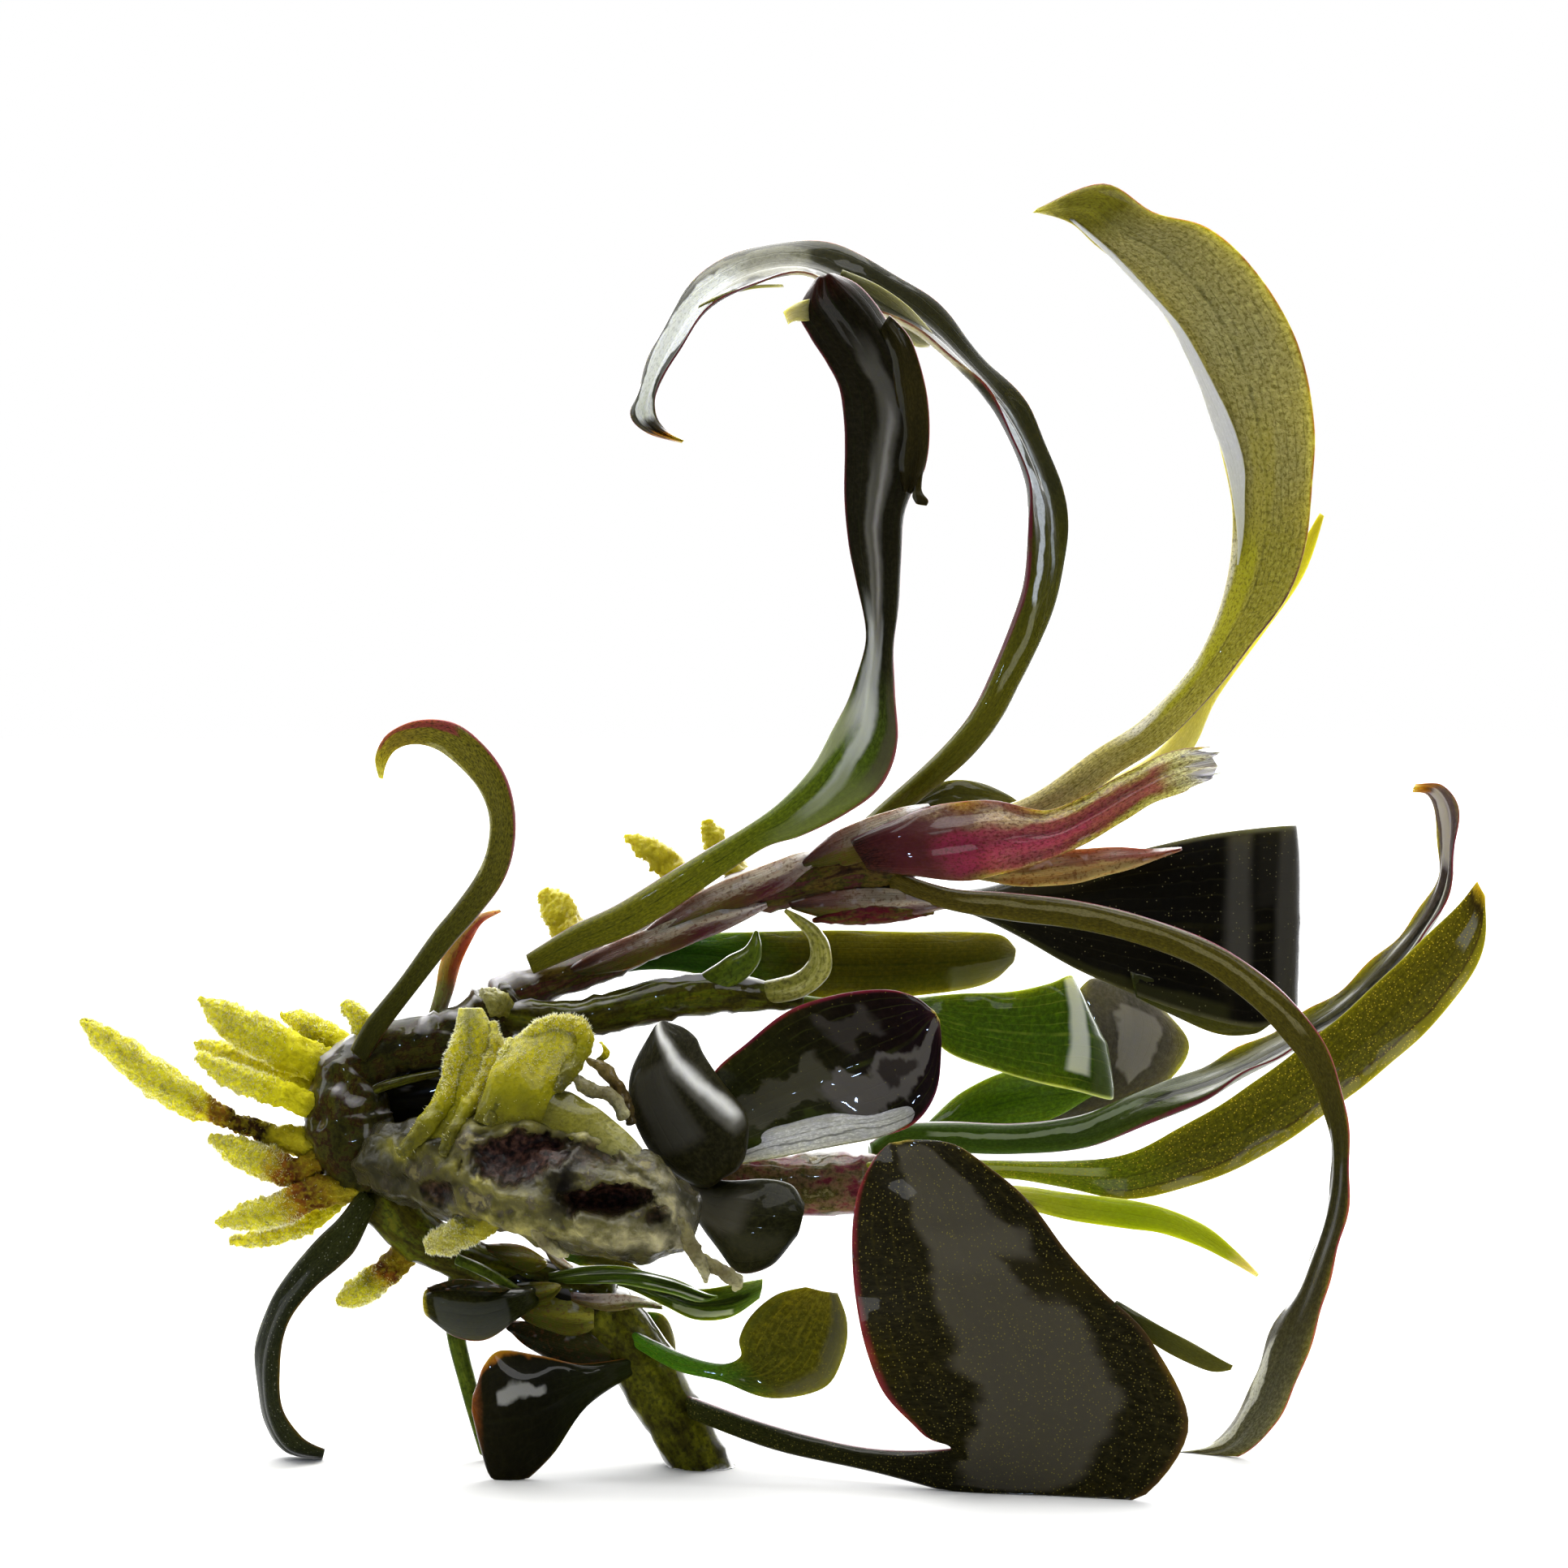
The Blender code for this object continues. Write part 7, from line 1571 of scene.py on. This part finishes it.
# %% Stems
STEM_WAYS = {
    # node: finish, relief
    "rhizome_main": (WINE_STEM, stem_relief(3.1, 0.16, 0.30, 1.5, 1.0)),
    "rhizome_upper": (SILVER_STEM, stem_relief(5.2, 0.14, 0.20, 1.6, 2.0)),
    "rhizome_middle": (OLIVE_STEM, stem_relief(4.2, 0.10, 0.14, 1.4, 3.0)),
    "rhizome_lower": (OLIVE_STEM, stem_relief(3.0, 0.10, 0.14, 1.4, 4.0)),
    "rhizome_back": (PINK_STEM, stem_relief(4.0, 0.12, 0.20, 1.4, 5.0)),
    "stem_low": (LOW_STEM, stem_relief(3.4, 0.12, 0.12, 1.8, 6.0)),
}
for number, (node, (finish, relief)) in enumerate(STEM_WAYS.items()):
    parts = [(tube_shape(STEMS[node], 9, 40, relief), finish)]
    for rows, skin_finish in SKINS.get(node, ()):
        if len(rows[0]) == 4:
            shape = tube_shape(rows, 8, 20)
        else:
            shape = leaf_shape(rows, seed=40.0 + number + len(parts), **SKIN_WAY)
        parts.append((shape, skin_finish))
    grow(node, parts)

SHOOT_WAYS = {
    "young_leaf_rolled": (GREEN_STALK, stem_relief(9.0, 0.0, 0.06, 1.5, 7.0)),
    "young_leaf_hooked": (PALE_HOOK, stem_relief(9.0, 0.0, 0.06, 1.5, 8.0)),
    "bud_spindle": (BUD, stem_relief(2.0, 0.05, 0.08, 0.8, 9.0)),
    "stalk_thin": (GREEN_STALK, None),
    "stalk_low": (GREEN_STALK, None),
}
for node, (finish, relief) in SHOOT_WAYS.items():
    grow(node, [(tube_shape(SHOOTS[node], 9, 24, relief), finish)])
print(len(STEM_WAYS) + len(SHOOT_WAYS), "stems and shoots grown")

# %% [markdown]
# ## The old cut end
# This is the part nearest to the viewer: the thick stem was cut or torn here, and its soft pith
# has sunk into hollows between ragged ridges. One could carve it in sculpt mode. Here each ridge is
# a short line and each hollow an ellipse, drawn as they are seen from the front. Every point of
# the tube's front is pushed out near a ridge and in inside a hollow, and it remembers both, which
# is where the pale rims and the dark wine colour go.

# %% Ridges and hollows
# line as seen, half width and height in millimetres
RIDGES = [
    ([(28.6, 20.4), (31, 21), (34, 20.9), (36.4, 20.2), (38.6, 18.9), (41, 17.2)], 0.6, 0.7),
    ([(29.4, 17.4), (31, 16.4), (33, 15.9)], 0.45, 0.5),
    ([(28.6, 15.6), (31.2, 14.8), (33.6, 14.2), (36.4, 14.2), (39.4, 14), (42.2, 13.4)], 0.75, 0.7),
    ([(24.2, 19.4), (26.4, 18.4), (28.4, 18)], 0.6, 0.4),
    ([(38.4, 17.4), (40.4, 16.2), (41.8, 15)], 0.6, 0.5),
]
# middle as seen, half sizes, depth in millimetres, turn in degrees
HOLLOWS = [
    ((32, 18.7), (3.2, 1.7), 1.5, -8), ((37.3, 16), (3, 1), 2.4, -6), ((27, 16.6), (1.2, 0.8), 0.8, 20),
    ((40.6, 15.2), (0.9, 0.6), 0.6, -20), ((36.6, 18.9), (1.9, 1), 0.6, -10),
]
print(len(RIDGES), "ridges and", len(HOLLOWS), "hollows")


# %% Carving the cut end
def from_line(across, up, line):
    """How far points lie from a line of several stretches, as seen."""
    nearest = np.full(len(across), 1e9)
    for (x0, y0), (x1, y1) in zip(line[:-1], line[1:]):
        run, rise = x1 - x0, y1 - y0
        t = np.clip(((across - x0) * run + (up - y0) * rise) / (run**2 + rise**2), 0.0, 1.0)
        nearest = np.minimum(nearest, np.hypot(across - x0 - t * run, up - y0 - t * rise))
    return nearest


def pith_relief(points, along, angles):
    """Lumps, ragged strings along the stem, and fine crumbs."""
    strings = np.sin(angles * 9.0 + 2.0 * bumps(points, 4.0, 3.0)) * 0.10
    return 0.5 * bumps(points, 2.4, 11.0) + strings + 0.08 * bumps(points, 0.6, 12.0, 2)


def carve(shape):
    """Raises the ridges and sinks the hollows in the front of the cut end."""
    points = shape["points"]
    across, up = seen_place(points)
    stray = 0.45 * bumps(points, 1.3, 5.0)
    front = ease(-shape["out"][:, 1], -0.15, 0.35)
    ridge = np.zeros(len(points))
    for line, half_width, height in RIDGES:
        near = np.exp(-((from_line(across + stray, up + stray, line) / half_width) ** 2)) * front
        points[:, 1] -= height * near
        ridge = np.maximum(ridge, near)
    sunk = np.zeros(len(points))
    for (middle_across, middle_up), half_sizes, depth, turn in HOLLOWS:
        turn = math.radians(turn)
        x, z = across - middle_across, up - middle_up
        x, z = x * math.cos(turn) - z * math.sin(turn), x * math.sin(turn) + z * math.cos(turn)
        spread = 1 + 0.30 * bumps(points, 0.9, 5.0)
        inside = 1 - ((x / half_sizes[0]) ** 2 + (z / half_sizes[1]) ** 2) / spread**2
        inside = np.clip(inside, 0.0, 1.0) * front
        points[:, 1] += depth * np.sqrt(inside)
        sunk = np.maximum(sunk, inside**0.5 * min(depth, 1.5) / 1.5)
    shape["sides"] = sunk
    shape["places"][:, 0] = np.clip(ridge - sunk, 0.0, 1.0)
    return shape


# the torn stem as it is seen, slimmer towards the right than its plain solid
CUT_ROWS = [
    (23, 18.6, -2, 2), (25.2, 18.4, -3.8, 2.6), (28.2, 18.1, -5.6, 3.3), (32, 17.6, -7.6, 3.7),
    (36.4, 16.4, -9.2, 3.7), (40, 15.4, -10, 3.1), (42.2, 14.8, -10.3, 1.9)]
cut_end = carve(tube_shape(CUT_ROWS, 26, 120, pith_relief))
print("cut end:", len(cut_end["faces"]), "faces")

# %% Strings, fibres and the flap
# torn strings of the cut end, with their finish, and a flap of skin that hangs over it
TAILS = [
    ([(41.6, 15, -11.9, 0.7), (42.7, 13, -12, 0.5), (43.3, 11.8, -11.8, 0.35), (43.5, 11, -11.6, 0.15)],
     PALE_RAG),
    ([(43.2, 12.6, -11.6, 0.3), (44.4, 11.7, -11.4, 0.42), (45.4, 11.1, -11.2, 0.4),
      (45.3, 10.5, -11.2, 0.2)],
     PALE_RAG),
    ([(33, 14.6, -11.2, 0.6), (33.9, 13.2, -11.4, 0.45), (35, 12.7, -11.5, 0.15)], PALE_RAG),
    ([(36.2, 24.7, -7.4, 0.2), (37.1, 24.2, -7.6, 0.42), (38, 23.2, -7.6, 0.4), (38.5, 22, -7.8, 0.45),
      (38.9, 20.8, -8.2, 0.3)],
     BROWN_STRING),
    ([(37, 25.8, -7.2, 0.1), (37.3, 25.2, -7.2, 0.2), (36.9, 24.6, -7.3, 0.18)], PLATE),
    ([(35.4, 23.6, -8.4, 0.3), (36.3, 22.9, -8.6, 0.5), (37.6, 22.5, -8.6, 0.42),
      (38.5, 21.2, -8.8, 0.4)],
     PALE_RAG),
]
FLAP = [
    (40.2, 18.5, 39.8, 17.3, -10.3, 0), (39.2, 19.7, 38.2, 17.9, -10.5, 0.3),
    (37.7, 21.1, 36.2, 19.2, -10.3, 0.4), (36, 22.3, 34.2, 20.3, -9.6, 0.4),
    (34.6, 23, 32.6, 21.4, -8.8, 0.2)]


def on_ridges(place, rng):
    """Fibres stay on the ridges, where the pith is torn open."""
    return place[:, 0] > 0.45 + 0.6 * rng.random(len(place))


def string_relief(points, along, angles):
    """Lumps of half a millimetre."""
    return 0.16 * bumps(points, 0.5, 31.0)


fibres = hairs(cut_end, 12.0, 0.20, 0.018, 21, on_ridges, droop=0.9)
strings = [(tube_shape(rows, 8, 20, string_relief), finish) for rows, finish in TAILS]
flap = leaf_shape(FLAP, FLAT_STALK, 0.20, thick=0.8, rib=0.0, ripple=0.3, wave=2.4, dent=0.6, seed=71.0)
grow("rhizome_cut", [(cut_end, PITH), (fibres, PALE_RAG), *strings, (flap, TORN_RIDGE)])
print(len(strings), "strings and", len(fibres["faces"]) // len(HAIR_FACES), "fibres")

# %% [markdown]
# ## Growing the roots
# The roots are short clubs that end in a point. Up close their skin is crusty, which is relief,
# and furry, which is hairs. Both are at the scale of the real ones: crusts of a third of a
# millimetre, hairs of less than half a millimetre. Two roots in front have flattened against the
# cut end into ribbed plates, so they are grown like thick leaves, with the ribs as relief.

# %% Root plates
# rows of the plate as in the plan of the leaves, then rows of its ribs as in the plan of the roots
PLATES = {
    "root_front_tall": (
        [(28.3, 27.9, 29.7, 27.9, -5.3, 0), (28, 26.6, 30.2, 26.7, -5.4, 0.2),
         (27.7, 25, 30.3, 24.9, -5.7, 0.2), (27, 23.2, 30.4, 22.8, -6.2, 0.3),
         (26, 21.4, 30, 20.8, -7, 0.3), (24.8, 19.7, 29.2, 18.8, -7.6, 0.2),
         (24.3, 18.6, 28, 17.4, -6.4, 0)],
        [[(29, 27.7, -5.5, 0.35), (28.6, 26.2, -5.7, 0.75), (28.2, 24.6, -6, 0.75),
          (27.6, 22.5, -6.7, 0.7), (26, 20.3, -7.9, 0.65), (24.7, 18.9, -8, 0.4)],
         [(30.4, 27, -5.6, 0.25), (30.5, 25.2, -6, 0.5), (29.3, 22.6, -7.2, 0.5), (28.1, 20.6, -8.4, 0.5),
          (27.3, 18.9, -8.8, 0.35)]]),
    "root_front_square": (
        [(33.2, 27.2, 35.7, 26.8, -7, 0), (31.9, 26.4, 36.2, 25.9, -7.2, 0.2),
         (30.9, 25.4, 35.9, 24.7, -7.8, 0.4), (30.3, 24.2, 34.7, 23.4, -8.6, 0.5),
         (29.8, 22.8, 34.6, 22.3, -9.2, 0.4), (29.3, 21.4, 35.4, 21, -9, 0.2),
         (29, 20.4, 36.4, 19.8, -7.8, 0)],
        [[(31.9, 25.7, -7, 0.3), (33.3, 26.7, -7.2, 0.5), (35, 27, -7.3, 0.55), (36, 26.4, -7.6, 0.55),
          (35.9, 25.2, -8, 0.55), (34.9, 23.7, -8.8, 0.5), (34.4, 22.8, -9.4, 0.3)],
         [(31.4, 26, -7.1, 0.25), (31.2, 24.5, -8, 0.45), (30.9, 22.6, -9.2, 0.45),
          (30, 20.8, -9.6, 0.3)]]),
}
PLATE_WAY = dict(stalk=FLAT_STALK, bow=0.10, thick=1.1, rib=0.0, ripple=0.2, wave=2.4, dent=0.5, steps=12)
print(len(PLATES), "plates")


# %% Roots
def root_relief(seed, crust=0.20):
    """Lumps and crusts of a root, in millimetres."""
    def heights(points, along, angles):
        flakes = bumps(points * np.array([1.0, 1.0, 1.6]), 0.42, seed + 3.0)
        return 0.22 * bumps(points, 1.0, seed, 2) + crust * np.abs(flakes) * 1.6 - 0.08
    return heights


def towards_tip(place, rng):
    """The fur thins out along a root, and its brown neck is bare."""
    return rng.random(len(place)) > 0.97 * ease(place[:, 2], 0.38, 0.60)


ROOT_FINISHES = {
    "root_long_left": NECKED_ROOT, "root_left_low": RINGED_ROOT, "root_lower_left": RINGED_ROOT,
    "root_under": RINGED_ROOT, "root_front_tall": PLATE, "root_front_square": PLATE,
    "root_front_low": WET_ROOT, "root_bud_fork": TORN_RIDGE, "root_stub_stem": YELLOW_STUB,
    "root_top_pointed": YELLOW_STUB, "root_top_ragged": YELLOW_STUB,
}
BARE_ROOTS = ("root_bud_fork", "root_top_pointed", "root_top_ragged", "root_stub_stem")
HAIRS_PER_MM2 = 75.0
hair_count = 0
for number, (node, rows) in enumerate(ROOTS.items()):
    if node in PLATES:
        plate_rows, ribs = PLATES[node]
        shapes = [leaf_shape(plate_rows, seed=60.0 + number, **PLATE_WAY)]
        shapes += [tube_shape(rib, 12, 24, root_relief(30.0 + number, 0.10)) for rib in ribs]
    else:
        shapes = [tube_shape(rows, 12, 32, root_relief(20.0 + number))]
    parts = [(shape, ROOT_FINISHES.get(node, ROOT)) for shape in shapes]
    if node not in BARE_ROOTS:
        for shape in shapes:
            fur = hairs(shape, HAIRS_PER_MM2, 0.28, 0.026, 100 + number, towards_tip)
            hair_count += len(fur["faces"]) // len(HAIR_FACES)
            parts.append((fur, ROOT_HAIR))
    grow(node, parts)
print(len(ROOTS), "roots with", hair_count, "hairs")
